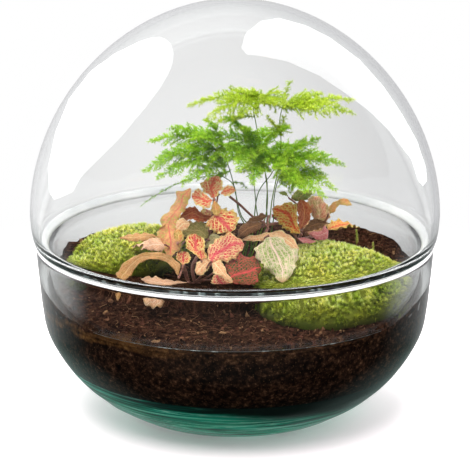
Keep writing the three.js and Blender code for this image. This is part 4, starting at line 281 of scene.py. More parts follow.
def math_node(nt, op, a, b=None, c=None, clamp=False):
    n = nt.nodes.new("ShaderNodeMath")
    n.operation = op
    n.use_clamp = clamp
    for k, x in enumerate((a, b, c)):
        if x is None:
            continue
        if isinstance(x, (int, float)):
            n.inputs[k].default_value = x
        else:
            nt.links.new(x, n.inputs[k])
    return n.outputs[0]


def ramp(nt, fac, stops, interpolation="LINEAR"):
    n = nt.nodes.new("ShaderNodeValToRGB")
    n.color_ramp.interpolation = interpolation
    e = n.color_ramp.elements
    while len(e) < len(stops):
        e.new(0.5)
    for k, (pos, col) in enumerate(stops):
        e[k].position = pos
        e[k].color = (*col, 1.0)
    nt.links.new(fac, n.inputs[0])
    return n.outputs[0]


def mix_rgb(nt, fac, a, b, blend="MIX"):
    n = nt.nodes.new("ShaderNodeMix")
    n.data_type = "RGBA"
    n.blend_type = blend
    for sock, x in ((n.inputs[0], fac), (n.inputs[6], a), (n.inputs[7], b)):
        if isinstance(x, (int, float)):
            sock.default_value = x
        elif isinstance(x, tuple):
            sock.default_value = (*x, 1.0)
        else:
            nt.links.new(x, sock)
    return n.outputs[2]


def attribute(nt, name):
    n = nt.nodes.new("ShaderNodeAttribute")
    n.attribute_name = name
    return n


def noise_node(nt, vec, scale, detail=3.0, rough=0.5, distortion=0.0):
    n = nt.nodes.new("ShaderNodeTexNoise")
    n.inputs["Scale"].default_value = scale
    n.inputs["Detail"].default_value = detail
    n.inputs["Roughness"].default_value = rough
    n.inputs["Distortion"].default_value = distortion
    if vec is not None:
        nt.links.new(vec, n.inputs["Vector"])
    return n


def object_coords(nt):
    return nt.nodes.new("ShaderNodeTexCoord").outputs["Object"]


def bump(nt, height, strength, distance):
    n = nt.nodes.new("ShaderNodeBump")
    n.inputs["Strength"].default_value = strength
    n.inputs["Distance"].default_value = distance
    nt.links.new(height, n.inputs["Height"])
    return n.outputs[0]


def srgb(h):
    """Linear colour from a hex code."""
    c = [int(h[i : i + 2], 16) / 255 for i in (0, 2, 4)]
    return tuple(x / 12.92 if x <= 0.04045 else ((x + 0.055) / 1.055) ** 2.4 for x in c)


def glass_material(name, absorb, density, foot=False):
    m, nt, out = new_material(name)
    b = principled(nt, Base_Color=(1.0, 1.0, 1.0, 1.0), Roughness=0.0, IOR=1.5, Transmission_Weight=1.0)
    if foot:
        # the thick foot is bottle green, drawn into streaks round the bowl
        co = object_coords(nt)
        mp = nt.nodes.new("ShaderNodeMapping")
        mp.inputs["Scale"].default_value = (13.0, 13.0, 260.0)
        nt.links.new(co, mp.inputs["Vector"])
        streak = noise_node(nt, mp.outputs[0], 1.0, 4.0, 0.62, 0.6)
        sep = nt.nodes.new("ShaderNodeSeparateXYZ")
        nt.links.new(co, sep.inputs[0])
        mk = nt.nodes.new("ShaderNodeMapRange")
        mk.interpolation_type = "SMOOTHSTEP"
        mk.inputs["From Min"].default_value = 0.050
        mk.inputs["From Max"].default_value = 0.020
        nt.links.new(sep.outputs[2], mk.inputs["Value"])
        green = ramp(nt, streak.outputs[0], [(0.34, (0.10, 0.55, 0.40)), (0.47, (0.30, 0.80, 0.62)), (0.56, (0.72, 0.95, 0.87)), (0.66, (0.18, 0.66, 0.50))])
        nt.links.new(mix_rgb(nt, mk.outputs[0], (1.0, 1.0, 1.0), green), b.inputs["Base Color"])
    clear = nt.nodes.new("ShaderNodeBsdfTransparent")
    clear.inputs[0].default_value = (0.972, 0.972, 0.972, 1)
    lp = nt.nodes.new("ShaderNodeLightPath")
    mx = nt.nodes.new("ShaderNodeMixShader")
    nt.links.new(lp.outputs["Is Shadow Ray"], mx.inputs[0])
    nt.links.new(b.outputs[0], mx.inputs[1])
    nt.links.new(clear.outputs[0], mx.inputs[2])
    nt.links.new(mx.outputs[0], out.inputs["Surface"])
    va = nt.nodes.new("ShaderNodeVolumeAbsorption")
    va.inputs["Color"].default_value = (*absorb, 1.0)
    va.inputs["Density"].default_value = density
    nt.links.new(va.outputs[0], out.inputs["Volume"])
    return m


# ---------------------------------------------------------------- glass ----
BELLY_R, BELLY_Z, APEX_Z, WALL, POWER = 150.0, 145.9, 302.2, 4.0, 2 / 1.91
BOWL_OUT = [(0, 0), (76, 0), (84, 1.4), (101.4, 12.2), (114.5, 23), (124.6, 34.3), (133.5, 48), (140.0, 62.4), (142.6, 78), (144.1, 94.2), (145.6, 112), (146.3, 123.2), (145.6, 124.6)]
BOWL_IN = [(142.4, 124.6), (141.6, 123.2), (140.7, 112), (139.1, 94.2), (137.4, 78), (134.6, 62.4), (127.6, 48), (117.5, 36), (103, 26.5), (84, 20.5), (58, 17.6), (30, 16.6), (0, 16.4)]


def bowl_inside(n):
    return spline([(p[0], p[1]) for p in BOWL_IN[1:]], n)


outer = np.vstack([[(0, 0), (40, 0)], spline(BOWL_OUT[1:-1], 52)])
rim = spline([(146.3, 123.2), (145.6, 124.6), (144.6, 125), (143.4, 125), (142.4, 124.6), (141.6, 123.2)], 16)[1:-1]
bowl_profile = np.vstack([outer, rim, bowl_inside(52)])
bowl_profile[-1, 0] = 0.0
v, f = lathe(bowl_profile, 208)
# hand-blown waviness where the glass is thick
r = np.hypot(v[:, 0], v[:, 1])
ang = np.arctan2(v[:, 1], v[:, 0])
thick = np.clip((52 - v[:, 2]) / 40, 0, 1) * np.clip((v[:, 2] - 0.4) / 4, 0, 1)
wave = fractal(np.stack([np.cos(ang) * 3.2, np.sin(ang) * 3.2, v[:, 2] * 0.16], 1), 3, 11)
v[:, 2] += np.where(v[:, 2] > 2, wave * thick * 1.1, 0)
glass_bowl_mat = glass_material("glass_bowl", (0.42, 0.68, 0.61), 5.5, foot=True)
bowl = place(add_mesh("bowl_glass", v, f, glass_bowl_mat), "glass", "glass_bowl")


def cap(rmax, apex, n, start, end):
    t = np.linspace(start, end, n)
    c, s = np.clip(np.cos(t), 0, 1), np.clip(np.sin(t), 0, 1)
    return np.stack([rmax * c**POWER, BELLY_Z + (apex - BELLY_Z) * s**POWER], 1)


COLLAR = [(149.5, 138.5), (148.9, 133.2), (148.0, 129.2), (146.9, 126.7), (145.6, 125.4), (142.6, 125.35), (141.2, 124.8), (140.4, 123.2), (138.9, 116), (137.6, 108), (136.6, 96), (136.0, 85.6), (134.9, 84.1), (133.4, 84.1), (132.5, 85.4), (132.8, 96), (133.6, 108), (134.6, 117), (136.2, 122.8), (139.6, 127.2), (143.2, 130.4), (144.9, 134.5), (145.5, 139)]
dome_profile = np.vstack([
    cap(BELLY_R, APEX_Z, 52, math.pi / 2, 0.0),
    spline(COLLAR, 60),
    cap(BELLY_R - WALL, APEX_Z - WALL, 42, 0.0, math.pi / 2),
])
dome_profile[0, 0] = 0.0
dome_profile[-1, 0] = 0.0
v, f = lathe(dome_profile, 208)
glass_dome_mat = glass_material("glass_dome", (0.45, 0.66, 0.60), 4.0)
dome = place(add_mesh("dome_glass", v, f, glass_dome_mat), "glass", "glass_dome")

# the heart of the thick foot: bottle green glass drawn out in streaks, its top painted near black as shade under the
# soil
FOOT_OUT = [(74, 1.6), (82, 2.8), (99.5, 13.6), (112.5, 24.4), (122.3, 35.2), (125.6, 40)]
FOOT_IN = [(124.4, 40), (119.6, 36.0), (104, 26.2), (84, 20.1), (58, 17.2), (30, 16.2), (0, 16.0)]
core_profile = np.vstack([[(0, 1.6), (40, 1.6)], spline(FOOT_OUT, 28), spline(FOOT_IN, 30)])
core_profile[-1, 0] = 0.0
v, f = lathe(core_profile, 144)
m, nt, out = new_material("glass_foot_painted_shade")
co = object_coords(nt)
mp = nt.nodes.new("ShaderNodeMapping")
mp.inputs["Scale"].default_value = (9.0, 9.0, 330.0)
nt.links.new(co, mp.inputs["Vector"])
streak = noise_node(nt, mp.outputs[0], 1.0, 4.0, 0.6, 0.6)
green = ramp(nt, streak.outputs[0], [(0.38, (0.003, 0.05, 0.04)), (0.455, (0.005, 0.20, 0.14)), (0.495, (0.01, 0.50, 0.34)), (0.53, (0.10, 0.72, 0.54)), (0.552, (0.62, 0.98, 0.88)), (0.58, (0.02, 0.52, 0.36)), (0.64, (0.003, 0.12, 0.09))])
sep = nt.nodes.new("ShaderNodeSeparateXYZ")
nt.links.new(co, sep.inputs[0])
wave_n = noise_node(nt, co, 9.0, 2.0, 0.5)
# painted shade and light: the heart goes near black above about 23 to 37 mm, and x tilts that line so the green reaches
# higher on the left, as painted light
mk = nt.nodes.new("ShaderNodeMapRange")
mk.interpolation_type = "SMOOTHSTEP"
mk.inputs["From Min"].default_value = 0.037
mk.inputs["From Max"].default_value = 0.023
level = math_node(nt, "ADD", sep.outputs[2], math_node(nt, "MULTIPLY", math_node(nt, "SUBTRACT", wave_n.outputs[0], 0.5), 0.02))
level = math_node(nt, "ADD", level, math_node(nt, "MULTIPLY", sep.outputs[0], 0.11))
nt.links.new(level, mk.inputs["Value"])
col = mix_rgb(nt, mk.outputs[0], (0.006, 0.012, 0.010), green)
b = principled(nt, Roughness=0.25, IOR=1.0, Transmission_Weight=0.12)
b.inputs["Specular IOR Level"].default_value = 0.0
nt.links.new(col, b.inputs["Base Color"])
clear = nt.nodes.new("ShaderNodeBsdfTransparent")
clear.inputs[0].default_value = (0.80, 0.80, 0.80, 1)
lp = nt.nodes.new("ShaderNodeLightPath")
mx = nt.nodes.new("ShaderNodeMixShader")
nt.links.new(lp.outputs["Is Shadow Ray"], mx.inputs[0])
nt.links.new(b.outputs[0], mx.inputs[1])
nt.links.new(clear.outputs[0], mx.inputs[2])
nt.links.new(mx.outputs[0], out.inputs["Surface"])
place(add_mesh("bowl_foot_heart", v, f, m), "glass", "glass_bowl")


# thin opaque rings carry painted highlights where the glass rims catch the light: white outer faces with a grey
# painted-shade inner side, and for the broken kind white spots on a dark ring
def painted_highlight_ring_material(name, low, high, grey, broken=False):
    m, nt, out = new_material(name)
    co = object_coords(nt)
    ln = nt.nodes.new("ShaderNodeVectorMath")
    ln.operation = "LENGTH"
    flat = nt.nodes.new("ShaderNodeVectorMath")
    flat.operation = "MULTIPLY"
    flat.inputs[1].default_value = (1.0, 1.0, 0.0)
    nt.links.new(co, flat.inputs[0])
    nt.links.new(flat.outputs[0], ln.inputs[0])
    n = noise_node(nt, co, 45.0 if not broken else 130.0, 3.0, 0.6)
    # painted highlight colours: the broken kind puts white spots on the low colour; the plain kind runs from the grey
    # painted-shade inner side to a white outer side
    if broken:
        col = ramp(nt, n.outputs[0], [(0.54, low), (0.62, high), (0.72, (1.0, 1.0, 1.0))])
    else:
        band = ramp(nt, math_node(nt, "MULTIPLY", math_node(nt, "SUBTRACT", ln.outputs["Value"], 0.1415), 200.0), [(0.0, grey), (0.62, grey), (0.72, high)])
        tone = ramp(nt, n.outputs[0], [(0.3, (0.90, 0.90, 0.91)), (0.7, (1.0, 1.0, 1.0))])
        col = mix_rgb(nt, 1.0, band, tone, "MULTIPLY")
    p = principled(nt, Roughness=0.3)
    p.inputs["Specular IOR Level"].default_value = 0.6
    nt.links.new(col, p.inputs["Base Color"])
    nt.links.new(p.outputs[0], out.inputs["Surface"])
    return m


# the bowl's rim and the dome's shoulder line are painted highlights: white rings, and the rim's inner side is painted
# grey as shade
rim_painted_highlight = painted_highlight_ring_material("glass_rim_painted_highlight", (0.5, 0.5, 0.5), (0.96, 0.96, 0.96), (0.78, 0.78, 0.79))
v, f = hoop(np.array([(146.5, 123.3), (146.4, 124.0), (145.8, 124.75), (145.0, 125.1), (144.3, 125.08), (144.5, 124.5), (145.3, 124.0), (145.8, 123.3)]), 208)
place(add_mesh("bowl_rim_painted_highlight", v, f, rim_painted_highlight), "glass", "glass_bowl")
v, f = hoop(np.array([(146.3, 126.15), (146.95, 126.7), (146.9, 126.95), (146.2, 126.55)]), 208)
place(add_mesh("dome_shoulder_painted_highlight", v, f, rim_painted_highlight), "glass", "glass_dome")
# the dome's ledge ring: faces turned outward are painted near-black shade, and faces turned inward are painted light
# grey with a random tone
m, nt, out = new_material("glass_ledge_painted_light_and_shade")
co = object_coords(nt)
geo = nt.nodes.new("ShaderNodeNewGeometry")
flatten = nt.nodes.new("ShaderNodeVectorMath")
flatten.operation = "MULTIPLY"
nt.links.new(co, flatten.inputs[0])
flatten.inputs[1].default_value = (1.0, 1.0, 0.0)
radial = nt.nodes.new("ShaderNodeVectorMath")
radial.operation = "NORMALIZE"
nt.links.new(flatten.outputs[0], radial.inputs[0])
facing = nt.nodes.new("ShaderNodeVectorMath")
facing.operation = "DOT_PRODUCT"
nt.links.new(geo.outputs["Normal"], facing.inputs[0])
nt.links.new(radial.outputs[0], facing.inputs[1])
n = noise_node(nt, co, 14.0, 3.0, 0.5)
tone = ramp(nt, n.outputs[0], [(0.35, (0.60, 0.61, 0.62)), (0.62, (0.80, 0.80, 0.80))])
col = mix_rgb(nt, math_node(nt, "GREATER_THAN", facing.outputs["Value"], 0.0), tone, (0.045, 0.044, 0.043))
p = principled(nt, Roughness=0.4)
p.inputs["Specular IOR Level"].default_value = 0.2
nt.links.new(col, p.inputs["Base Color"])
nt.links.new(p.outputs[0], out.inputs["Surface"])
v, f = hoop(np.array([(137.75, 125.15), (139.45, 127.35), (141.3, 128.95), (142.95, 130.45), (142.75, 130.6), (141.1, 129.15), (139.25, 127.5), (137.6, 125.3)]), 208)
place(add_mesh("dome_ledge_painted_light_and_shade", v, f, m), "glass", "glass_dome")
# the collar's lip: a near-black ring with broken painted highlights
lip_painted_highlight = painted_highlight_ring_material("glass_lip_painted_highlight", (0.02, 0.025, 0.025), (0.30, 0.36, 0.36), (0.5, 0.5, 0.5), broken=True)
v, f = hoop(np.array([(134.9, 84.0), (135.3, 84.3), (135.1, 84.7), (134.2, 84.75), (133.4, 84.4), (133.7, 84.0)]), 256)
place(add_mesh("dome_collar_lip_painted_highlight", v, f, lip_painted_highlight), "glass", "glass_dome")

# ---------------------------------------------------------------- soil ----
SURFACE = np.array([
    [0, -131, 84], [60, -115, 83.5], [-60, -115, 85.5], [105, -76, 87], [-104, -76, 90], [130, -6, 101], [-129, -12, 100], [127, -38, 91], [-126, 25, 112],
    [118, 55, 110], [-118, 55, 109], [95, 88, 109], [-90, 92, 104.5], [45, 122, 101], [-45, 122, 101], [0, 130, 99],
    [0, 0, 99], [50, -40, 93.5], [-50, -40, 95], [0, -80, 88], [-90, -20, 101], [90, -20, 97], [60, 50, 107],
    [-60, 50, 106.5], [0, 60, 103], [60, -85, 86.5], [-60, -85, 88.5], [30, 90, 104], [-30, 90, 103.5]], float)


def surface(x, y):
    x, y = np.asarray(x, float), np.asarray(y, float)
    d = (x[..., None] - SURFACE[:, 0]) ** 2 + (y[..., None] - SURFACE[:, 1]) ** 2 + 60
    w = 1 / d**1.6
    return (w * SURFACE[:, 2]).sum(-1) / w.sum(-1)


def soil_top(x, y):
    """The ground's surface with its crumbs."""
    x, y = np.asarray(x, float), np.asarray(y, float)
    q = np.stack([x, y, np.zeros_like(x)], -1)
    z = surface(x, y)
    z = z + 1.6 * fractal(q / 26.0, 3, 21) + 1.5 * fractal(q / 7.5, 3, 22) + 0.9 * np.abs(fractal(q / 2.6, 2, 23))
    return z


inside = bowl_inside(72)[::-1]  # from the axis up
side = inside[inside[:, 1] < 82.0].copy()
nrm = unit(np.gradient(side, axis=0))[:, ::-1] * [-1.0, 1.0]  # towards the middle
side = side - nrm * 0.22
side[0] = (0.0, side[0, 1])
ring_r = np.concatenate([[137.2, 135.0, 132.6, 131.4], np.linspace(130.4, 0, 70)])
n_side = len(side)
profile = np.vstack([side, np.stack([ring_r, 200 + np.arange(len(ring_r))], 1)])
SEG = 208
v, f = lathe(profile, SEG)
r = np.hypot(v[:, 0], v[:, 1])
is_top = v[:, 2] >= 199.5
x, y = v[:, 0], v[:, 1]
out_ring = r > 131.0
top_z = soil_top(x, y)
edge_z = 82.3 + 0.7 * fractal(np.stack([x, y, 0 * x], 1) / 5.0, 2, 24)
blend = np.clip((r - 129.0) / 2.0, 0, 1)
top_z = np.where(out_ring, np.minimum(edge_z, 83.2), np.maximum(top_z, 83.0))
v[:, 2] = np.where(is_top, top_z, v[:, 2])
# the side is lumpy: crumbs touch the glass and the gaps between them sit back
lump = np.clip(np.abs(fractal(v / 4.2, 3, 25)) * 1.9 - 0.30, 0, 2) + np.clip(np.abs(fractal(v / 1.9, 2, 26)) * 1.0 - 0.25, 0, 1)
direction = unit(np.stack([x, y, (v[:, 2] - 95) * 0.9], 1))
push = np.where(is_top, 0.0, np.clip(lump * 0.12, 0, 0.17) * np.clip(r / 20, 0, 1))
v = v - direction * push[:, None]


def soil_material(name):
    m, nt, out = new_material(name)
    co = object_coords(nt)
    n1 = noise_node(nt, co, 260.0, 6.0, 0.72)
    n2 = noise_node(nt, co, 38.0, 3.0, 0.55)
    n3 = noise_node(nt, co, 900.0, 2.0, 0.6)
    top = ramp(nt, n1.outputs[0], [(0.36, srgb("100906")), (0.48, srgb("2e1c13")), (0.60, srgb("503528")), (0.72, srgb("8c6648"))])
    deep = ramp(nt, n1.outputs[0], [(0.38, srgb("100a08")), (0.50, srgb("281a14")), (0.60, srgb("4c3426")), (0.72, srgb("8c6a50"))])
    tan = ramp(nt, n1.outputs[0], [(0.36, srgb("2e1c10")), (0.52, srgb("664628")), (0.70, srgb("8e683e"))])
    sep = nt.nodes.new("ShaderNodeSeparateXYZ")
    nt.links.new(co, sep.inputs[0])
    n4 = noise_node(nt, co, 24.0, 3.0, 0.55)
    level = math_node(nt, "ADD", sep.outputs[2], math_node(nt, "MULTIPLY", math_node(nt, "SUBTRACT", n4.outputs[0], 0.5), 0.014))

    def above(z0, z1):
        mr = nt.nodes.new("ShaderNodeMapRange")
        mr.interpolation_type = "SMOOTHSTEP"
        mr.inputs["From Min"].default_value = z0
        mr.inputs["From Max"].default_value = z1
        nt.links.new(level, mr.inputs["Value"])
        return mr.outputs[0]

    left = nt.nodes.new("ShaderNodeMapRange")
    left.interpolation_type = "SMOOTHSTEP"
    left.inputs["From Min"].default_value = -0.02
    left.inputs["From Max"].default_value = -0.085
    left.inputs["To Min"].default_value = 0.08
    left.inputs["To Max"].default_value = 1.0
    nt.links.new(sep.outputs[0], left.inputs["Value"])
    col = mix_rgb(nt, math_node(nt, "MULTIPLY", above(0.0768, 0.0790), left.outputs[0]), deep, tan)
    col = mix_rgb(nt, above(0.0825, 0.0860), col, top)
    patch = ramp(nt, n2.outputs[0], [(0.36, (0.50, 0.48, 0.50)), (0.62, (1.0, 0.96, 0.92))])
    col = mix_rgb(nt, 1.0, col, patch, "MULTIPLY")
    vo = nt.nodes.new("ShaderNodeTexVoronoi")
    vo.inputs["Scale"].default_value = 430.0
    nt.links.new(co, vo.inputs["Vector"])
    grit = math_node(nt, "LESS_THAN", vo.outputs["Distance"], 0.16)
    col = mix_rgb(nt, math_node(nt, "MULTIPLY", grit, 0.40), col, srgb("7c5c40"))
    b = principled(nt, Roughness=0.95)
    b.inputs["Specular IOR Level"].default_value = 0.0
    nt.links.new(col, b.inputs["Base Color"])
    h = math_node(nt, "ADD", math_node(nt, "MULTIPLY", n1.outputs[0], 1.0), math_node(nt, "MULTIPLY", n3.outputs[0], 0.35))
    nt.links.new(bump(nt, h, 0.9, 0.0012), b.inputs["Normal"])
    nt.links.new(b.outputs[0], out.inputs["Surface"])
    return m


soil_mat = soil_material("soil")
place(add_mesh("soil_bed", v, f, soil_mat), "soil", "soil")

# soil worked up between the dome's collar and the bowl
seg = 240
a = np.arange(seg) / seg * 2 * math.pi
front = np.degrees(np.abs(np.arctan2(np.cos(a), -np.sin(a))))
zt = 83.2 + 19.0 * np.clip((front - 38) / 40, 0, 1) ** 1.2 - 4.0 * np.clip((front - 120) / 40, 0, 1)
zt = zt + 2.0 * fractal(np.stack([np.cos(a) * 9, np.sin(a) * 9, 0 * a], 1), 3, 27)
rows = []
for dr, w in ((0.0, 0.0), (0.0, 0.5), (0.0, 0.95), (-0.55, 1.0), (-1.1, 0.95), (-1.3, 0.5), (-1.3, 0.0)):
    z = 81.6 + (np.maximum(zt, 82.6) - 81.6) * w
    rr_ = np.interp(z, [82, 94.2, 112], [138.0, 139.1, 140.7]) + 0.12 + dr
    rr_ = rr_ - 0.30 * np.abs(fractal(np.stack([np.cos(a) * 40, np.sin(a) * 40, z / 3.0], 1), 2, 28))
    rows.append(np.stack([rr_ * np.cos(a), rr_ * np.sin(a), z], 1))
k = len(rows)
v = np.vstack(rows)
i, j = np.meshgrid(np.arange(k), np.arange(seg), indexing="ij")
a0, a1 = i * seg + j, i * seg + (j + 1) % seg
b0, b1 = ((i + 1) % k) * seg + j, ((i + 1) % k) * seg + (j + 1) % seg
f = np.concatenate([np.stack([a0, b0, b1], -1).reshape(-1, 3), np.stack([a0, b1, a1], -1).reshape(-1, 3)])
if signed_volume(v, f) < 0:
    f = f[:, ::-1]
place(add_mesh("soil_in_gap", v, f, soil_mat), "soil")

# crumbs and fibres lying on the ground
rng = np.random.default_rng(5)
phi = (1 + 5**0.5) / 2
ICO_V = unit(np.array([[-1, phi, 0], [1, phi, 0], [-1, -phi, 0], [1, -phi, 0], [0, -1, phi], [0, 1, phi], [0, -1, -phi], [0, 1, -phi], [phi, 0, -1], [phi, 0, 1], [-phi, 0, -1], [-phi, 0, 1]]))
ICO_F = np.array([[0, 11, 5], [0, 5, 1], [0, 1, 7], [0, 7, 10], [0, 10, 11], [1, 5, 9], [5, 11, 4], [11, 10, 2], [10, 7, 6], [7, 1, 8], [3, 9, 4], [3, 4, 2], [3, 2, 6], [3, 6, 8], [3, 8, 9], [4, 9, 5], [2, 4, 11], [6, 2, 10], [8, 6, 7], [9, 8, 1]])


def crumbs(count, rmin, rmax, size0, size1, seed, bunch):
    g = np.random.default_rng(seed)
    for _ in range(count):
        rr = math.sqrt(g.uniform(rmin**2, rmax**2))
        a = g.uniform(0, 2 * math.pi)
        x, y = rr * math.cos(a), rr * math.sin(a)
        s = size0 + (size1 - size0) * g.random() ** 3
        shape = ICO_V * (1 + 0.35 * g.standard_normal((12, 1))) * g.uniform(0.6, 1.2, 3) * s
        c, sn = math.cos(a * 7), math.sin(a * 7)
        shape = shape @ np.array([[c, -sn, 0], [sn, c, 0], [0, 0, 1]])
        z = float(soil_top(x, y)) + s * 0.35
        bunch.add(shape + [x, y, z], ICO_F, g.random())


b = Bunch()
crumbs(2100, 0, 128.5, 0.5, 1.9, 31, b)
v, f, s = b.done()


def crumb_material(name):
    m, nt, out = new_material(name)
    co = object_coords(nt)
    n = noise_node(nt, co, 420.0, 4.0, 0.65)
    sh = attribute(nt, "shade")
    base = ramp(nt, sh.outputs["Fac"], [(0.0, srgb("1e110c")), (0.5, srgb("44291e")), (0.8, srgb("70483a")), (1.0, srgb("a5805c"))])
    var = ramp(nt, n.outputs[0], [(0.3, (0.5, 0.5, 0.5)), (0.7, (1.25, 1.2, 1.15))])
    col = mix_rgb(nt, 1.0, base, var, "MULTIPLY")
    p = principled(nt, Roughness=0.9)
    p.inputs["Specular IOR Level"].default_value = 0.0
    nt.links.new(col, p.inputs["Base Color"])
    nt.links.new(bump(nt, n.outputs[0], 0.7, 0.0006), p.inputs["Normal"])
    nt.links.new(p.outputs[0], out.inputs["Surface"])
    return m


crumb_mat = crumb_material("crumbs")
place(add_mesh("soil_crumbs", v, f, crumb_mat, smooth=False, attrs={"shade": s}), "soil")

b = Bunch()
g = np.random.default_rng(41)
for _ in range(1300):
    rr = 127.5 * math.sqrt(g.random())
    a = g.uniform(0, 2 * math.pi)
    x, y = rr * math.cos(a), rr * math.sin(a)
    h = g.uniform(0, 2 * math.pi)
    L = g.uniform(3, 11)
    t = np.linspace(-0.5, 0.5, 4)
    bend = g.uniform(-0.35, 0.35) * L
    px = x + math.cos(h) * t * L - math.sin(h) * bend * (t**2) * 4
    py = y + math.sin(h) * t * L + math.cos(h) * bend * (t**2) * 4
    keep = np.hypot(px, py) < 129
    if not keep.all():
        continue
    pz = soil_top(px, py) + 0.5 + g.uniform(0, 1.2) * (1 - 4 * t**2)
    vv, ff = tube(np.stack([px, py, pz], 1), g.uniform(0.13, 0.30) * (1 - 0.8 * np.abs(t) * 2 * 0.8), 3)
    b.add(vv, ff, g.random())
fa = np.radians(g.uniform(-8, 66, 420))
fr_ = g.uniform(96, 128, 420)
fx, fy = fr_ * np.cos(fa), fr_ * np.sin(fa)
needles(np.stack([fx, fy, soil_top(fx, fy) - 0.4], 1), np.stack([g.uniform(-1, 1, 420), g.uniform(-1, 1, 420), g.uniform(0.2, 1.2, 420)], 1), g.uniform(1.5, 5.0, 420), 0.2, shade0=0.45, shade1=0.95, bunch=b)
v, f, s = b.done()
place(add_mesh("soil_fibres", v, f, crumb_mat, attrs={"shade": 0.45 + 0.55 * s}), "soil")

# ---------------------------------------------------------------- moss ----
MOSS = {
    "moss_left": {"middle": (-78, 6), "height": 24, "outline": [36, 46, 52, 52, 47, 39, 34, 34, 40, 52, 56, 46, 34, 27, 25, 28]},
    "moss_right": {"middle": (68, -32), "height": 30, "outline": [60, 51, 47, 49, 53, 53, 51, 52, 56, 58, 64, 66, 62, 56, 54, 60]},
}


def moss_radius(m, a):
    o = np.asarray(m["outline"], float)
    n = len(o)
    k = (np.asarray(a) / (2 * math.pi) % 1.0) * n
    i = np.floor(k).astype(int) % n
    t = k - np.floor(k)
    t = t * t * (3 - 2 * t) * 0.5 + t * 0.5
    return o[i] * (1 - t) + o[(i + 1) % n] * t


def moss_height(m, x, y, lumps=True):
    dx, dy = x - m["middle"][0], y - m["middle"][1]
    rr = np.clip(np.hypot(dx, dy) / moss_radius(m, np.arctan2(dy, dx)), 0, 1)
    h = m["height"] * (1 - rr**2) ** 0.4
    if lumps:
        q = np.stack([x, y, 0 * x], -1)
        h = h * (1 + 0.05 * fractal(q / 9.0, 2, 51)) - 2.2 * np.clip(-fractal(q / 13.0, 2, 52) + 0.1, 0, 1) * np.clip(h / 12, 0, 1)
    return h, rr


def moss_material(name, dark, mid, light, tip):
    m, nt, out = new_material(name)
    sh = attribute(nt, "shade")
    co = object_coords(nt)
    n = noise_node(nt, co, 75.0, 3.0, 0.6)
    n2 = noise_node(nt, co, 700.0, 2.0, 0.5)
    base = ramp(nt, sh.outputs["Fac"], [(0.0, dark), (0.35, mid), (0.75, light), (1.0, tip)])
    patch = ramp(nt, n.outputs[0], [(0.32, (0.74, 0.88, 0.62)), (0.52, (1.0, 1.0, 1.0)), (0.70, (1.18, 1.08, 0.95))])
    col = mix_rgb(nt, 1.0, base, patch, "MULTIPLY")
    fine = ramp(nt, n2.outputs[0], [(0.3, (0.85, 0.85, 0.85)), (0.7, (1.1, 1.1, 1.1))])
    col = mix_rgb(nt, 1.0, col, fine, "MULTIPLY")
    p = principled(nt, Roughness=0.6)
    p.inputs["Specular IOR Level"].default_value = 0.3
    nt.links.new(col, p.inputs["Base Color"])
    nt.links.new(p.outputs[0], out.inputs["Surface"])
    return m


# moss colours follow the shade value: its near-black low end is painted shadow between shoots and at the cushion's
# foot, and its pale high end is painted light on shoots that face up
moss_mat = moss_material("moss", srgb("141609"), srgb("c0cc40"), srgb("f4f48c"), srgb("ffffe4"))


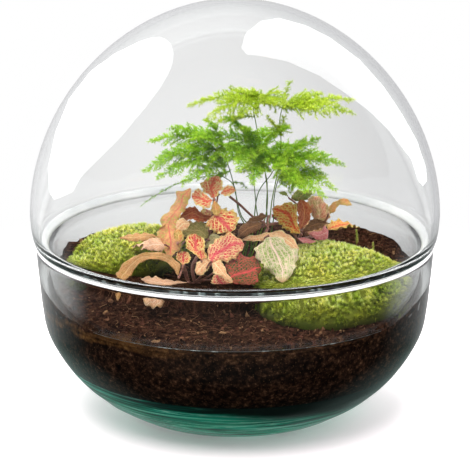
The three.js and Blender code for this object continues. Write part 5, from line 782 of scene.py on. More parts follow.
def moss_cushion(name, m, seed, spacing):
    g = np.random.default_rng(seed)
    # the mound itself
    na, nr = 84, 18
    a = np.arange(na) / na * 2 * math.pi
    rr = np.sin(np.linspace(0, math.pi / 2, nr + 1)) * 0.985
    R = moss_radius(m, a)
    verts = [[m["middle"][0], m["middle"][1], 0]]
    for q in rr[1:]:
        verts += list(np.stack([m["middle"][0] + q * R * np.cos(a), m["middle"][1] + q * R * np.sin(a), 0 * a], 1))
    verts = np.array(verts, float)
    rad = np.hypot(verts[:, 0], verts[:, 1])
    k = np.minimum(1, 128.5 / np.maximum(rad, 1e-6))
    h, _ = moss_height(m, verts[:, 0], verts[:, 1])
    verts[:, :2] *= k[:, None]
    verts[:, 2] = surface(verts[:, 0], verts[:, 1]) + np.maximum(h - 2.2, -1.0)
    top = len(verts)
    under = verts.copy()
    under[:, 2] = surface(under[:, 0], under[:, 1]) - 2.5
    under[:, 2] = np.minimum(under[:, 2], verts[:, 2] - 0.5)
    F = []
    for i in range(nr):
        if i == 0:
            for j in range(na):
                F.append((0, 1 + j, 1 + (j + 1) % na))
        else:
            b0, b1 = 1 + (i - 1) * na, 1 + i * na
            for j in range(na):
                j2 = (j + 1) % na
                F.append((b0 + j, b1 + j, b1 + j2))
                F.append((b0 + j, b1 + j2, b0 + j2))
    F = np.array(F)
    G = F[:, ::-1] + top
    e = 1 + (nr - 1) * na + np.arange(na)
    e2 = 1 + (nr - 1) * na + (np.arange(na) + 1) % na
    S = np.vstack([np.stack([e, e + top, e2 + top], 1), np.stack([e, e2 + top, e2], 1)])
    V = np.vstack([verts, under])
    bunch = Bunch()
    # painted shadow: the bare mound is near black at its foot and only a little lighter higher up
    bunch.add(V, np.vstack([F, G, S]), 0.12 * np.clip((V[:, 2] - surface(V[:, 0], V[:, 1]) - 1.5) / 6.0, 0, 1))
    # shoots: small stars of pointed leaflets
    xs, ys = [], []
    lim = 75
    gx = np.arange(-lim, lim, spacing)
    for j, yy in enumerate(gx):
        for xx in gx:
            xs.append(m["middle"][0] + xx + (spacing / 2 if j % 2 else 0) + g.uniform(-0.45, 0.45) * spacing)
            ys.append(m["middle"][1] + yy + g.uniform(-0.45, 0.45) * spacing)
    xs, ys = np.array(xs), np.array(ys)
    dx, dy = xs - m["middle"][0], ys - m["middle"][1]
    rr = np.hypot(dx, dy) / moss_radius(m, np.arctan2(dy, dx))
    ok = (rr < 1.0) & (np.hypot(xs, ys) < 128.3)
    xs, ys, rr = xs[ok], ys[ok], rr[ok]
    # more shoots where the mound is steep
    steep = rr > 0.80
    xs2 = np.concatenate([xs] + [xs[steep] + g.uniform(-1, 1, steep.sum()) for _ in range(2)])
    ys2 = np.concatenate([ys] + [ys[steep] + g.uniform(-1, 1, steep.sum()) for _ in range(2)])
    dx, dy = xs2 - m["middle"][0], ys2 - m["middle"][1]
    ok = (np.hypot(dx, dy) / moss_radius(m, np.arctan2(dy, dx)) < 0.995) & (np.hypot(xs2, ys2) < 128.3)
    xs, ys = xs2[ok], ys2[ok]
    h, rr = moss_height(m, xs, ys)
    e = 0.8
    hx, _ = moss_height(m, xs + e, ys)
    hy, _ = moss_height(m, xs, ys + e)
    z0 = surface(xs, ys)
    gx_ = (hx - h + surface(xs + e, ys) - z0) / e
    gy_ = (hy - h + surface(xs, ys + e) - z0) / e
    nrm = unit(np.stack([-gx_, -gy_, np.ones_like(gx_)], 1))
    axis = unit(nrm * 0.75 + np.array([0, 0, 0.45]) + 0.22 * g.standard_normal((len(xs), 3)))
    lift = g.uniform(-1.2, 0.6, len(xs))
    foot = np.stack([xs, ys, z0 + h - 1.9 + lift], 1)
    n = len(xs)
    # painted light and shade: shoots facing up get a higher shade value, while steep and sunk shoots get a lower one;
    # each leaflet's foot is darker than its point
    tone = np.clip(0.04 + 0.78 * np.clip(nrm[:, 2], 0, 1) ** 2.0 + (0.11 + 0.07 * nrm[:, 2]) * g.standard_normal(n) + 0.10 * lift, 0.05, 1.0)
    ref = np.where(np.abs(axis[:, 2:3]) < 0.9, [[0.0, 0.0, 1.0]], [[1.0, 0.0, 0.0]])
    U = unit(np.cross(axis, ref))
    W = np.cross(axis, U)
    turn = g.uniform(0, 2 * math.pi, n)
    for k in range(10):
        crown = k >= 6
        a = turn + (2 * math.pi * ((k - 6) / 4 if crown else k / 6)) + g.uniform(-0.25, 0.25, n)
        spread = g.uniform(0.15, 0.50, n) if crown else g.uniform(0.8, 1.7, n)
        radial = U * np.cos(a)[:, None] + W * np.sin(a)[:, None]
        d = unit(axis + radial * spread[:, None])
        start = foot + axis * (g.uniform(1.1, 1.7, n) if crown else g.uniform(0.5, 1.3, n))[:, None]
        tangent = np.cross(axis, radial)
        length = g.uniform(1.6, 2.6, n) if crown else g.uniform(1.9, 3.0, n)
        low = tone * (0.70 if crown else 0.42)
        high = np.clip(tone + (0.32 if crown else 0.05) * np.clip(nrm[:, 2] * 1.3, 0.25, 1.0), 0, 1)
        needles(start, d, length, g.uniform(0.40, 0.56, n), side=tangent, flat=0.45, shade0=low, shade1=high, bunch=bunch)
    # where the cushion meets the glass its cut side is as leafy as its top
    ta = g.uniform(0, 2 * math.pi, 6000)
    wx, wy = 128.2 * np.cos(ta), 128.2 * np.sin(ta)
    wh, wr = moss_height(m, wx, wy)
    keep = (wr < 0.985) & (g.random(6000) < wh / 22.0)
    wx, wy, wh, ta = wx[keep], wy[keep], wh[keep], ta[keep]
    q = len(wx)
    if q:
        wz = surface(wx, wy) - 1.5 + g.random(q) ** 0.8 * wh
        face = np.stack([np.cos(ta), np.sin(ta), 0 * ta], 1)
        ax = unit(face * 0.8 + np.array([0, 0, 0.5]) + 0.3 * g.standard_normal((q, 3)))
        Uw = unit(np.cross(ax, np.array([[0, 0, 1.0]])))
        Ww = np.cross(ax, Uw)
        # painted shade: the cut side is darker than the top, darkest low down, with darker leaflet feet
        tw = np.clip(0.05 + 0.20 * (wz - surface(wx, wy)) / 22.0 + 0.13 * g.standard_normal(q), 0.02, 0.7)
        spot = np.stack([wx, wy, wz], 1) - face * 0.4
        for k in range(7):
            a = 2 * math.pi * k / 7 + g.uniform(-0.3, 0.3, q)
            radial = Uw * np.cos(a)[:, None] + Ww * np.sin(a)[:, None]
            d = unit(ax + radial * g.uniform(0.5, 1.8, q)[:, None])
            needles(spot, d, g.uniform(1.8, 3.4, q), g.uniform(0.26, 0.42, q), side=np.cross(ax, radial), flat=0.45, shade0=tw * 0.2, shade1=np.clip(tw + 0.10, 0, 1), bunch=bunch)
    # longer shoots hang round the foot of the cushion; their low shade values paint them darker, as shade
    edge = np.where(rr > 0.84)[0]
    out_x, out_y = xs[edge] - m["middle"][0], ys[edge] - m["middle"][1]
    outward = unit(np.stack([out_x, out_y, 0 * out_x], 1))
    for k in range(6):
        e_ = len(edge)
        d = unit(outward + 0.7 * g.standard_normal((e_, 3)) + np.array([0, 0, 0.1]))
        tn = g.uniform(0.05, 0.40, e_)
        needles(foot[edge] + outward * 0.6 + np.array([0, 0, 1.0]) * g.uniform(0, 1.6, e_)[:, None], d, g.uniform(2.4, 4.6, e_), g.uniform(0.16, 0.26, e_), flat=0.7, shade0=tn * 0.4, shade1=tn, bunch=bunch)
    v, f, s = bunch.done()
    rad = np.hypot(v[:, 0], v[:, 1])
    k = np.minimum(1, 131.2 / np.maximum(rad, 1e-6))
    v[:, :2] *= k[:, None]
    # ragged strands hang over the ground's edge, just inside the glass, painted dark as shade
    ta = g.uniform(0, 2 * math.pi, 30000)
    wh, wr = moss_height(m, 128.2 * np.cos(ta), 128.2 * np.sin(ta))
    reach = np.clip(0.35 + fractal(np.stack([np.cos(ta) * 14, np.sin(ta) * 14, 0 * ta], 1), 2, 53), 0, 1)
    keep = (wr < 0.985) & (g.random(30000) < 0.30 + 0.70 * reach)
    ta, reach = ta[keep], reach[keep]
    q = len(ta)
    if q:
        rim_z = surface(128.2 * np.cos(ta), 128.2 * np.sin(ta))
        start = np.stack([131.7 * np.cos(ta), 131.7 * np.sin(ta), rim_z - 0.6 + g.uniform(-1.2, 4.5, q) * (0.3 + 0.7 * reach)], 1)
        along = np.stack([-np.sin(ta), np.cos(ta), 0 * ta], 1)
        d = unit(np.array([0, 0, -1.0]) + along * (1.0 * g.standard_normal(q))[:, None])
        tn = np.clip(0.13 + 0.13 * g.standard_normal(q), 0.01, 0.6)
        hang = Bunch()
        needles(start, d, g.uniform(1.4, 2.8, q) + 2.2 * reach, g.uniform(0.18, 0.34, q), side=along, flat=0.3, shade0=tn, shade1=np.clip(tn * 0.8, 0, 1), bunch=hang)
        hv, hf, hs = hang.done()
        hr = np.hypot(hv[:, 0], hv[:, 1])
        hv[:, :2] *= (np.clip(hr, 131.5, 132.1) / hr)[:, None]
        v, f, s = np.vstack([v, hv]), np.vstack([f, hf + len(v)]), np.concatenate([s, hs])
    print(name, "shoots", n, "triangles", len(f))
    return place(add_mesh(name + "_cushion", v, f, moss_mat, smooth=False, attrs={"shade": s}), "moss", name)


moss_cushion("moss_left", MOSS["moss_left"], 61, 2.8)
moss_cushion("moss_right", MOSS["moss_right"], 62, 2.8)

# the two upright shoots
for name, x, y, h, seed in (("moss_shoot_a", 93, 43, 13, 71), ("moss_shoot_b", 104, 22, 13, 72)):
    g = np.random.default_rng(seed)
    z = float(surface(x, y))
    pts = np.array([[x, y, z - 0.5], [x + 0.3, y, z + h * 0.45], [x - 0.2, y, z + h - 1.0]])
    curve = spline(pts, 8)
    bunch = Bunch()
    vv, ff = tube(curve, np.linspace(0.45, 0.25, 8), 5)
    bunch.add(vv, ff, 0.25)
    n = 90
    t = g.uniform(0.15, 1.0, n)
    base = np.stack([np.interp(t, np.linspace(0, 1, 8), curve[:, k]) for k in range(3)], 1)
    a = g.uniform(0, 2 * math.pi, n)
    d = np.stack([np.cos(a), np.sin(a), g.uniform(0.4, 1.4, n)], 1)
    needles(base, d, g.uniform(1.6, 2.6, n) * (1.1 - 0.4 * t), 0.28, flat=0.5, shade0=0.3, shade1=0.7 + 0.3 * t, bunch=bunch)
    v, f, s = bunch.done()
    place(add_mesh(name + "_tuft", v, f, moss_mat, smooth=False, attrs={"shade": s}), "moss", name)

# ---------------------------------------------------------------- nerve plants ----
LEAVES = {
    "nerve_leaf_top_up": (
        [[-16.2,-18.8,160.5],[-17.9,-18.8,162.1],[-20.1,-18.1,163.7],[-22.3,-17.3,165.2],[-24.3,-16.4,167.0],[-25.0,-15.0,169.4],[-23.9,-13.5,171.5],[-21.5,-12.5,172.8],[-19.1,-11.4,174.0],[-16.6,-10.6,174.8],[-14.4,-9.4,175.0]],
        [[-15.6,-18.8,160.4],[-15.8,-17.4,161.4],[-16.3,-16.0,162.8],[-16.9,-14.6,164.3],[-17.2,-13.4,165.9],[-17.1,-12.1,167.8],[-16.4,-10.8,169.9],[-15.4,-9.9,171.5],[-14.7,-9.2,173.1],[-14.1,-9.0,174.3],[-13.8,-9.4,174.9]],
        [[-15.1,-18.8,160.3],[-13.7,-18.7,161.3],[-12.5,-17.5,162.8],[-11.5,-16.3,164.5],[-10.1,-15.1,165.9],[-9.1,-13.9,167.6],[-8.9,-12.7,169.5],[-9.3,-11.6,171.4],[-10.2,-10.7,173.2],[-11.7,-10.1,174.5],[-13.3,-9.3,174.9]],
    ),
    "nerve_leaf_top_left": (
        [[-16.4,-26.9,161.8],[-17.8,-27.7,162.9],[-19.3,-27.1,164.1],[-20.9,-26.2,165.3],[-22.5,-25.0,166.3],[-24.1,-23.7,167.2],[-25.8,-22.2,167.9],[-27.8,-21.7,167.5],[-29.5,-21.7,166.4],[-30.8,-22.0,164.8],[-31.2,-21.4,163.1]],
        [[-16.3,-27.3,161.5],[-17.4,-28.0,161.2],[-18.7,-28.5,161.0],[-20.1,-28.7,160.8],[-22.0,-27.7,161.4],[-23.9,-26.4,162.1],[-25.9,-25.3,162.6],[-27.8,-24.3,162.8],[-29.4,-23.4,162.9],[-30.7,-22.6,162.8],[-31.2,-21.8,162.8]],
        [[-16.2,-27.8,161.1],[-17.1,-31.0,160.2],[-18.0,-33.5,158.8],[-19.3,-35.5,157.5],[-21.5,-35.1,157.8],[-23.6,-34.0,158.3],[-25.8,-33.0,158.5],[-27.8,-31.2,159.3],[-29.2,-28.7,160.4],[-30.6,-25.8,161.5],[-31.2,-22.3,162.4]],
    ),
    "nerve_leaf_hanging": (
        [[-15.2,-32.4,162.1],[-15.4,-33.7,161.4],[-16.1,-34.8,160.5],[-16.6,-35.6,159.5],[-16.9,-36.3,158.3],[-17.1,-36.9,157.1],[-16.8,-37.2,155.9],[-16.1,-37.3,154.7],[-15.2,-37.1,153.7],[-14.1,-36.7,152.8],[-13.4,-35.8,151.9]],
        [[-14.7,-32.2,162.2],[-14.5,-32.9,161.4],[-14.3,-33.4,160.5],[-14.1,-34.0,159.5],[-13.9,-34.5,158.4],[-13.8,-35.0,157.2],[-13.6,-35.3,156.0],[-13.3,-35.6,154.8],[-13.2,-35.8,153.7],[-13.0,-35.8,152.8],[-12.9,-35.7,152.0]],
        [[-14.2,-32.1,162.3],[-13.6,-33.3,161.7],[-12.5,-33.9,161.0],[-11.6,-34.5,160.2],[-10.9,-34.9,159.1],[-10.4,-35.4,157.9],[-10.3,-35.8,156.7],[-10.5,-36.1,155.4],[-11.1,-36.2,154.2],[-12.0,-36.2,153.1],[-12.4,-35.6,152.0]],
    ),
    "nerve_leaf_top_small": (
        [[-10.4,-14.4,163.1],[-9.7,-14.6,164.2],[-9.0,-13.7,165.5],[-8.0,-12.8,166.6],[-6.9,-11.6,167.4],[-5.5,-10.6,168.0],[-4.0,-9.8,168.1],[-2.5,-9.5,167.5],[-1.2,-9.6,166.5],[-0.2,-9.7,165.3],[0.7,-9.0,164.2]],
        [[-10.3,-14.8,162.8],[-9.4,-14.8,163.2],[-8.5,-14.6,163.7],[-7.4,-14.3,164.1],[-6.2,-13.7,164.4],[-4.9,-12.9,164.7],[-3.6,-12.0,165.0],[-2.3,-11.3,164.9],[-1.2,-10.7,164.7],[-0.2,-10.1,164.3],[0.7,-9.4,163.9]],
        [[-10.2,-15.2,162.4],[-9.2,-16.4,162.6],[-8.0,-17.3,162.4],[-6.8,-17.9,162.1],[-5.5,-18.1,162.0],[-4.3,-17.6,162.1],[-3.2,-16.6,162.5],[-2.2,-15.2,162.9],[-1.2,-13.7,163.3],[-0.2,-11.8,163.7],[0.7,-9.8,163.5]],
    ),
    "nerve_leaf_round": (
        [[-14.4,-31.6,151.6],[-16.4,-32.6,150.3],[-18.6,-34.5,148.8],[-20.2,-36.7,146.9],[-19.5,-38.9,144.6],[-17.5,-40.5,142.7],[-15.0,-41.4,141.4],[-12.1,-41.5,140.9],[-9.1,-41.1,140.7],[-6.1,-40.7,140.4],[-3.7,-40.5,140.7]],
        [[-14.0,-31.3,151.9],[-14.0,-32.3,152.3],[-13.6,-33.4,152.1],[-12.8,-34.8,151.3],[-10.9,-36.3,149.9],[-8.7,-37.9,148.1],[-6.6,-39.2,146.3],[-5.0,-40.1,144.6],[-4.0,-40.7,143.2],[-3.5,-40.8,141.8],[-3.2,-40.3,140.9]],
        [[-13.6,-31.1,152.1],[-11.6,-29.3,153.5],[-8.6,-28.6,154.4],[-5.4,-28.6,154.5],[-2.3,-29.0,153.9],[0.2,-30.4,152.2],[1.7,-32.3,149.9],[2.1,-34.5,147.2],[1.1,-36.6,144.7],[-0.8,-38.3,142.5],[-2.8,-40.1,141.1]],
    ),
    "nerve_leaf_tall": (
        [[-46.1,-38.0,132.6],[-48.8,-35.2,136.1],[-51.6,-32.4,140.1],[-53.5,-29.5,144.4],[-52.3,-27.7,149.0],[-48.7,-27.0,152.9],[-45.0,-26.2,156.7],[-42.6,-24.3,161.1],[-42.0,-21.5,165.8],[-37.2,-22.1,167.2],[-32.5,-22.6,169.1]],
        [[-45.7,-38.2,132.5],[-45.5,-37.6,135.9],[-46.3,-35.8,139.9],[-47.0,-33.8,144.2],[-46.4,-32.0,148.5],[-43.9,-30.9,152.3],[-40.8,-30.0,155.9],[-38.5,-28.3,159.8],[-37.4,-25.7,163.9],[-34.5,-24.5,166.3],[-32.0,-22.9,168.9]],
        [[-45.2,-38.5,132.5],[-42.2,-38.3,135.2],[-41.1,-37.1,139.2],[-40.6,-35.4,143.2],[-40.6,-33.5,147.2],[-39.3,-31.9,150.9],[-36.6,-31.0,154.2],[-34.5,-29.6,157.7],[-33.0,-27.7,161.4],[-31.8,-25.4,165.1],[-31.6,-23.1,168.8]],
    ),
    "nerve_leaf_left": (
        [[-47.3,-50.8,125.4],[-48.6,-50.8,127.9],[-50.4,-49.6,130.2],[-52.2,-48.3,132.4],[-53.8,-46.7,134.7],[-55.0,-44.9,137.1],[-55.5,-42.9,139.7],[-55.0,-40.9,142.3],[-53.3,-39.2,144.4],[-50.8,-37.7,145.9],[-48.7,-35.6,146.7]],
        [[-46.8,-50.9,125.4],[-46.2,-49.7,127.2],[-45.9,-48.2,129.3],[-45.8,-46.6,131.6],[-45.7,-44.9,134.0],[-46.0,-43.0,136.7],[-46.6,-41.0,139.5],[-47.2,-39.0,142.0],[-47.5,-37.5,144.2],[-47.9,-36.4,145.6],[-48.1,-35.6,146.7]],
        [[-46.2,-51.0,125.3],[-43.8,-51.8,127.5],[-41.3,-51.2,129.8],[-39.2,-50.2,132.3],[-37.5,-48.8,135.0],[-36.8,-46.9,137.9],[-37.5,-44.7,140.8],[-39.2,-42.4,143.3],[-41.7,-40.2,145.2],[-44.8,-38.3,146.3],[-47.6,-35.7,146.8]],
    ),
    "nerve_leaf_cream_small": (
        [[-41.5,-44.1,143.6],[-41.9,-43.0,144.6],[-42.2,-41.8,146.2],[-41.7,-40.4,147.7],[-41.0,-38.9,149.0],[-39.9,-37.6,150.2],[-38.1,-36.8,150.5],[-36.3,-36.7,150.2],[-34.8,-37.2,149.1],[-33.5,-37.8,148.0],[-32.4,-38.5,147.1]],
        [[-41.1,-44.3,143.2],[-40.9,-44.2,144.0],[-40.5,-43.8,144.8],[-39.7,-43.2,145.6],[-38.8,-42.4,146.4],[-37.8,-41.4,147.2],[-36.4,-40.7,147.6],[-35.1,-40.1,147.6],[-34.0,-39.8,147.4],[-33.1,-39.3,147.1],[-32.3,-38.9,146.7]],
        [[-40.7,-44.6,142.9],[-40.0,-44.3,143.0],[-38.9,-44.4,142.9],[-37.8,-44.3,143.0],[-36.7,-43.9,143.3],[-35.7,-43.4,143.7],[-34.8,-42.7,144.1],[-34.0,-41.8,144.6],[-33.2,-40.9,145.2],[-32.7,-39.8,145.9],[-32.1,-39.2,146.4]],
    ),
    "nerve_leaf_yellow_small": (
        [[-40.7,-53.3,138.4],[-41.0,-53.6,139.1],[-41.9,-53.6,139.6],[-42.6,-53.5,140.3],[-43.1,-53.2,141.1],[-43.3,-52.7,142.0],[-43.4,-52.2,142.9],[-43.2,-51.6,143.8],[-42.9,-50.9,144.5],[-42.3,-50.2,145.2],[-42.1,-49.3,145.6]],
        [[-40.2,-53.2,138.4],[-40.1,-52.9,138.9],[-40.0,-52.5,139.4],[-40.1,-52.1,140.2],[-40.2,-51.6,141.1],[-40.3,-51.0,142.2],[-40.5,-50.4,143.2],[-40.8,-49.9,144.1],[-41.0,-49.5,144.9],[-41.3,-49.3,145.3],[-41.7,-49.1,145.7]],
        [[-39.6,-53.1,138.4],[-39.1,-53.2,139.0],[-38.1,-52.9,139.7],[-37.4,-52.4,140.6],[-37.2,-51.8,141.7],[-37.2,-51.2,142.9],[-37.6,-50.6,143.9],[-38.2,-50.0,144.9],[-39.1,-49.6,145.6],[-40.4,-49.5,145.8],[-41.2,-49.0,145.9]],
    ),
    "nerve_leaf_red_curled": (
        [[-17.8,-22.2,148.5],[-20.3,-23.2,149.0],[-23.0,-23.4,149.9],[-25.4,-23.2,151.3],[-26.9,-22.7,153.7],[-29.3,-22.0,155.0],[-32.2,-21.4,154.8],[-34.7,-21.0,153.4],[-36.9,-20.5,151.4],[-38.7,-20.0,148.9],[-40.3,-18.8,146.5]],
        [[-17.5,-22.3,148.0],[-19.7,-22.9,147.5],[-22.0,-23.1,147.1],[-24.5,-23.0,147.6],[-26.5,-22.6,148.8],[-28.8,-21.9,149.9],[-31.4,-21.3,150.3],[-33.9,-20.9,149.2],[-36.2,-20.4,147.8],[-38.3,-19.7,147.0],[-40.2,-18.9,146.0]],
        [[-17.3,-22.5,147.6],[-19.0,-24.1,146.4],[-21.0,-25.1,145.0],[-23.5,-25.4,144.5],[-26.0,-25.3,144.6],[-28.3,-24.7,145.5],[-30.6,-23.9,146.5],[-33.0,-23.4,145.7],[-35.4,-22.6,144.8],[-37.8,-21.1,145.5],[-40.0,-19.1,145.5]],
    ),
    "nerve_leaf_olive_back": (
        [[-19.5,-29.7,134.2],[-19.3,-29.1,136.7],[-19.4,-27.8,139.3],[-20.5,-26.4,141.8],[-22.3,-25.2,143.9],[-25.2,-24.9,144.5],[-28.1,-24.8,144.6],[-31.1,-25.1,144.1],[-33.9,-25.4,143.4],[-36.3,-26.1,141.8],[-38.1,-26.3,140.1]],
        [[-19.9,-29.9,133.9],[-20.7,-28.9,135.0],[-22.0,-27.9,136.1],[-23.7,-27.0,137.3],[-25.8,-26.3,138.3],[-28.4,-26.0,138.6],[-31.0,-26.0,138.7],[-33.6,-26.1,138.8],[-35.9,-26.1,139.2],[-37.4,-26.2,139.5],[-38.3,-26.5,139.7]],
        [[-20.2,-30.1,133.5],[-22.2,-30.7,133.9],[-24.5,-30.9,133.8],[-26.8,-31.0,133.8],[-29.1,-31.1,133.8],[-31.5,-31.1,133.8],[-33.8,-31.0,134.0],[-36.0,-30.6,134.6],[-37.8,-29.8,135.9],[-38.3,-28.5,137.8],[-38.6,-26.8,139.2]],
    ),
    "nerve_leaf_pink_mid": (
        [[-24.4,-54.5,125.2],[-26.3,-54.2,126.6],[-28.3,-52.9,128.3],[-30.1,-51.4,130.2],[-33.0,-50.7,130.6],[-34.8,-49.0,132.4],[-34.2,-47.3,134.7],[-35.0,-45.4,136.8],[-33.9,-43.7,139.0],[-31.5,-42.7,140.3],[-29.2,-41.7,140.5]],
        [[-23.9,-54.6,125.1],[-23.9,-53.4,126.1],[-24.1,-51.8,127.6],[-25.5,-50.0,129.4],[-27.6,-48.7,130.4],[-28.4,-47.0,132.3],[-27.8,-45.4,134.5],[-28.7,-43.8,136.6],[-29.0,-42.5,138.5],[-28.9,-41.9,139.8],[-28.6,-41.8,140.5]],
        [[-23.3,-54.7,125.1],[-21.5,-55.2,126.3],[-19.9,-54.4,127.9],[-20.7,-52.9,129.9],[-22.2,-51.4,131.6],[-21.9,-49.8,133.7],[-21.3,-48.3,135.7],[-22.3,-46.5,137.7],[-24.0,-45.0,139.1],[-26.3,-43.7,140.0],[-28.1,-41.9,140.5]],
    ),
    "nerve_leaf_pink_large": (
        [[-17.5,-57.9,123.8],[-19.2,-55.2,126.7],[-19.5,-52.3,130.3],[-18.3,-49.1,133.8],[-15.3,-46.7,136.1],[-11.5,-44.9,137.5],[-8.3,-42.1,139.8],[-4.0,-40.7,140.4],[0.2,-41.0,139.0],[3.6,-42.4,136.5],[6.3,-44.5,134.1]],
        [[-17.1,-58.1,123.5],[-16.6,-57.5,125.4],[-15.3,-56.0,127.8],[-13.2,-54.7,129.6],[-10.2,-53.7,130.7],[-7.2,-51.9,132.3],[-4.2,-50.0,133.5],[-1.2,-48.0,134.7],[2.0,-46.8,134.7],[4.7,-45.9,134.2],[6.4,-44.8,133.7]],
        [[-16.6,-58.3,123.2],[-14.0,-57.6,123.6],[-11.1,-56.9,124.4],[-8.1,-56.9,124.4],[-5.2,-56.9,124.2],[-3.0,-55.0,125.9],[-0.1,-54.2,126.3],[1.7,-51.9,128.1],[3.8,-49.7,129.6],[5.8,-47.3,131.3],[6.6,-45.2,133.3]],
    ),
    "nerve_leaf_red_green": (
        [[-4.1,-62.3,113.4],[-5.3,-59.3,116.1],[-6.0,-56.2,119.5],[-5.2,-52.9,122.8],[-2.1,-50.6,124.8],[2.0,-49.2,125.7],[6.1,-48.3,126.0],[10.3,-48.2,125.6],[14.1,-49.1,123.9],[17.2,-51.0,121.5],[18.7,-53.9,118.8]],
        [[-3.9,-62.7,113.0],[-3.8,-63.4,113.6],[-2.7,-63.3,114.6],[-0.7,-62.5,115.9],[2.7,-61.6,116.7],[6.5,-60.9,117.2],[10.3,-59.7,117.7],[12.9,-57.9,118.6],[15.2,-56.4,119.1],[17.4,-55.2,119.0],[18.7,-54.3,118.5]],
        [[-3.7,-63.1,112.7],[-2.4,-65.4,110.5],[0.5,-67.4,108.9],[3.8,-68.5,107.9],[7.4,-68.9,107.5],[11.0,-68.6,107.5],[14.4,-67.3,108.3],[15.6,-64.2,110.7],[16.4,-60.8,113.3],[17.6,-57.3,115.8],[18.7,-54.7,118.1]],
    ),
    "nerve_leaf_pale": (
        [[23.9,-39.9,137.3],[20.5,-41.8,135.6],[16.9,-45.1,133.5],[15.2,-49.4,130.5],[16.5,-53.7,127.2],[18.5,-57.5,124.1],[21.1,-60.9,121.3],[24.8,-62.8,119.3],[27.8,-65.5,116.8],[30.2,-68.7,113.9],[32.7,-72.2,111.6]],
        [[24.4,-39.8,137.5],[24.9,-41.7,137.0],[25.4,-44.9,135.3],[26.6,-48.8,132.8],[29.0,-52.7,129.9],[31.0,-56.9,126.7],[32.2,-60.9,123.3],[33.5,-64.0,120.5],[33.7,-67.1,117.4],[33.7,-70.2,114.2],[33.2,-72.2,111.5]],
        [[24.9,-39.6,137.6],[29.5,-38.4,137.5],[34.0,-40.3,135.9],[38.2,-42.9,133.7],[41.8,-46.2,131.0],[43.7,-50.5,127.5],[43.5,-55.3,123.7],[42.2,-60.0,120.1],[39.8,-64.3,116.7],[37.2,-68.5,113.5],[33.8,-72.2,111.5]],
    ),
    "nerve_leaf_pale_back": (
        [[5.0,-21.7,130.4],[9.2,-20.4,132.4],[14.0,-20.3,133.4],[18.9,-20.5,133.9],[23.7,-19.9,134.8],[28.5,-18.8,135.8],[33.4,-18.6,135.8],[38.0,-19.9,134.4],[41.8,-22.2,131.9],[44.5,-25.3,128.6],[46.5,-28.4,125.2]],
        [[5.1,-22.1,130.1],[9.4,-22.5,131.3],[14.0,-23.4,131.8],[18.7,-23.8,132.3],[23.3,-23.4,133.0],[28.0,-22.8,133.6],[32.6,-23.2,133.2],[36.8,-24.7,131.6],[40.5,-26.6,129.2],[43.6,-28.9,126.3],[46.4,-28.8,124.9]],
        [[5.1,-22.5,129.8],[9.5,-23.6,129.9],[14.0,-24.9,129.8],[18.5,-25.3,130.1],[23.0,-25.1,130.7],[27.4,-25.0,131.0],[31.8,-25.9,130.1],[35.7,-27.7,128.3],[39.3,-29.6,126.1],[42.7,-31.5,123.7],[46.2,-29.2,124.6]],
    ),
    "nerve_leaf_tan_flat": (
        [[-55.6,-38.7,137.7],[-58.1,-37.9,138.3],[-60.7,-36.8,139.1],[-63.5,-36.5,139.4],[-66.3,-36.4,139.4],[-69.1,-36.3,139.3],[-71.9,-36.3,139.0],[-74.7,-36.2,138.5],[-77.4,-36.2,137.9],[-80.0,-36.6,137.0],[-82.6,-36.8,136.2]],
        [[-55.6,-39.2,137.5],[-58.1,-39.7,137.8],[-60.7,-40.1,138.0],[-63.4,-40.6,138.0],[-66.1,-40.9,137.9],[-68.9,-40.9,137.7],[-71.7,-40.8,137.4],[-74.4,-40.4,137.1],[-77.2,-39.4,136.9],[-79.9,-38.4,136.5],[-82.5,-37.3,136.0]],
        [[-55.6,-39.7,137.2],[-58.1,-40.5,137.0],[-60.7,-41.8,136.5],[-63.4,-42.9,136.1],[-66.1,-43.4,135.8],[-68.8,-43.5,135.5],[-71.5,-43.4,135.2],[-74.3,-42.8,135.1],[-77.1,-41.0,135.4],[-79.8,-39.1,135.7],[-82.5,-37.7,135.7]],
    ),
    "nerve_leaf_tan_mid": (
        [[-50.4,-54.0,136.1],[-51.5,-52.6,137.1],[-53.0,-51.1,138.4],[-54.9,-49.9,139.4],[-57.0,-49.3,139.7],[-59.1,-49.7,139.1],[-61.0,-50.4,138.2],[-62.8,-51.2,137.0],[-64.3,-52.1,135.6],[-65.5,-53.3,134.0],[-66.8,-54.5,132.8]],
        [[-50.2,-54.4,135.8],[-50.6,-55.3,135.9],[-51.8,-55.7,136.1],[-53.7,-55.6,136.4],[-55.7,-55.4,136.5],[-57.8,-55.4,136.3],[-59.7,-55.4,135.8],[-61.6,-55.2,135.3],[-63.4,-55.0,134.6],[-65.0,-54.9,133.7],[-66.6,-54.9,132.5]],
        [[-50.0,-54.8,135.4],[-49.8,-56.4,134.3],[-50.6,-58.1,133.1],[-52.6,-58.6,132.7],[-54.5,-58.6,132.5],[-56.6,-58.2,132.6],[-58.6,-57.6,132.7],[-60.6,-56.7,132.8],[-62.6,-55.7,133.0],[-64.6,-54.9,132.9],[-66.3,-55.3,132.2]],
    ),
    "nerve_leaf_tan_arched": (
        [[-39.4,-72.6,119.3],[-38.8,-68.9,125.3],[-44.2,-65.3,130.1],[-51.4,-63.1,132.6],[-59.3,-62.5,132.9],[-67.0,-62.9,131.7],[-73.9,-64.7,128.4],[-79.8,-67.5,123.9],[-83.6,-71.3,118.1],[-83.8,-75.9,111.4],[-81.2,-80.0,105.3]],
        [[-39.9,-72.7,119.1],[-41.1,-69.5,124.3],[-46.1,-66.6,128.4],[-52.5,-64.8,130.5],[-59.4,-64.3,130.7],[-66.1,-64.9,129.4],[-71.7,-67.0,126.0],[-76.1,-69.9,121.5],[-79.4,-73.2,116.4],[-80.9,-76.8,110.7],[-80.7,-80.2,105.2]],
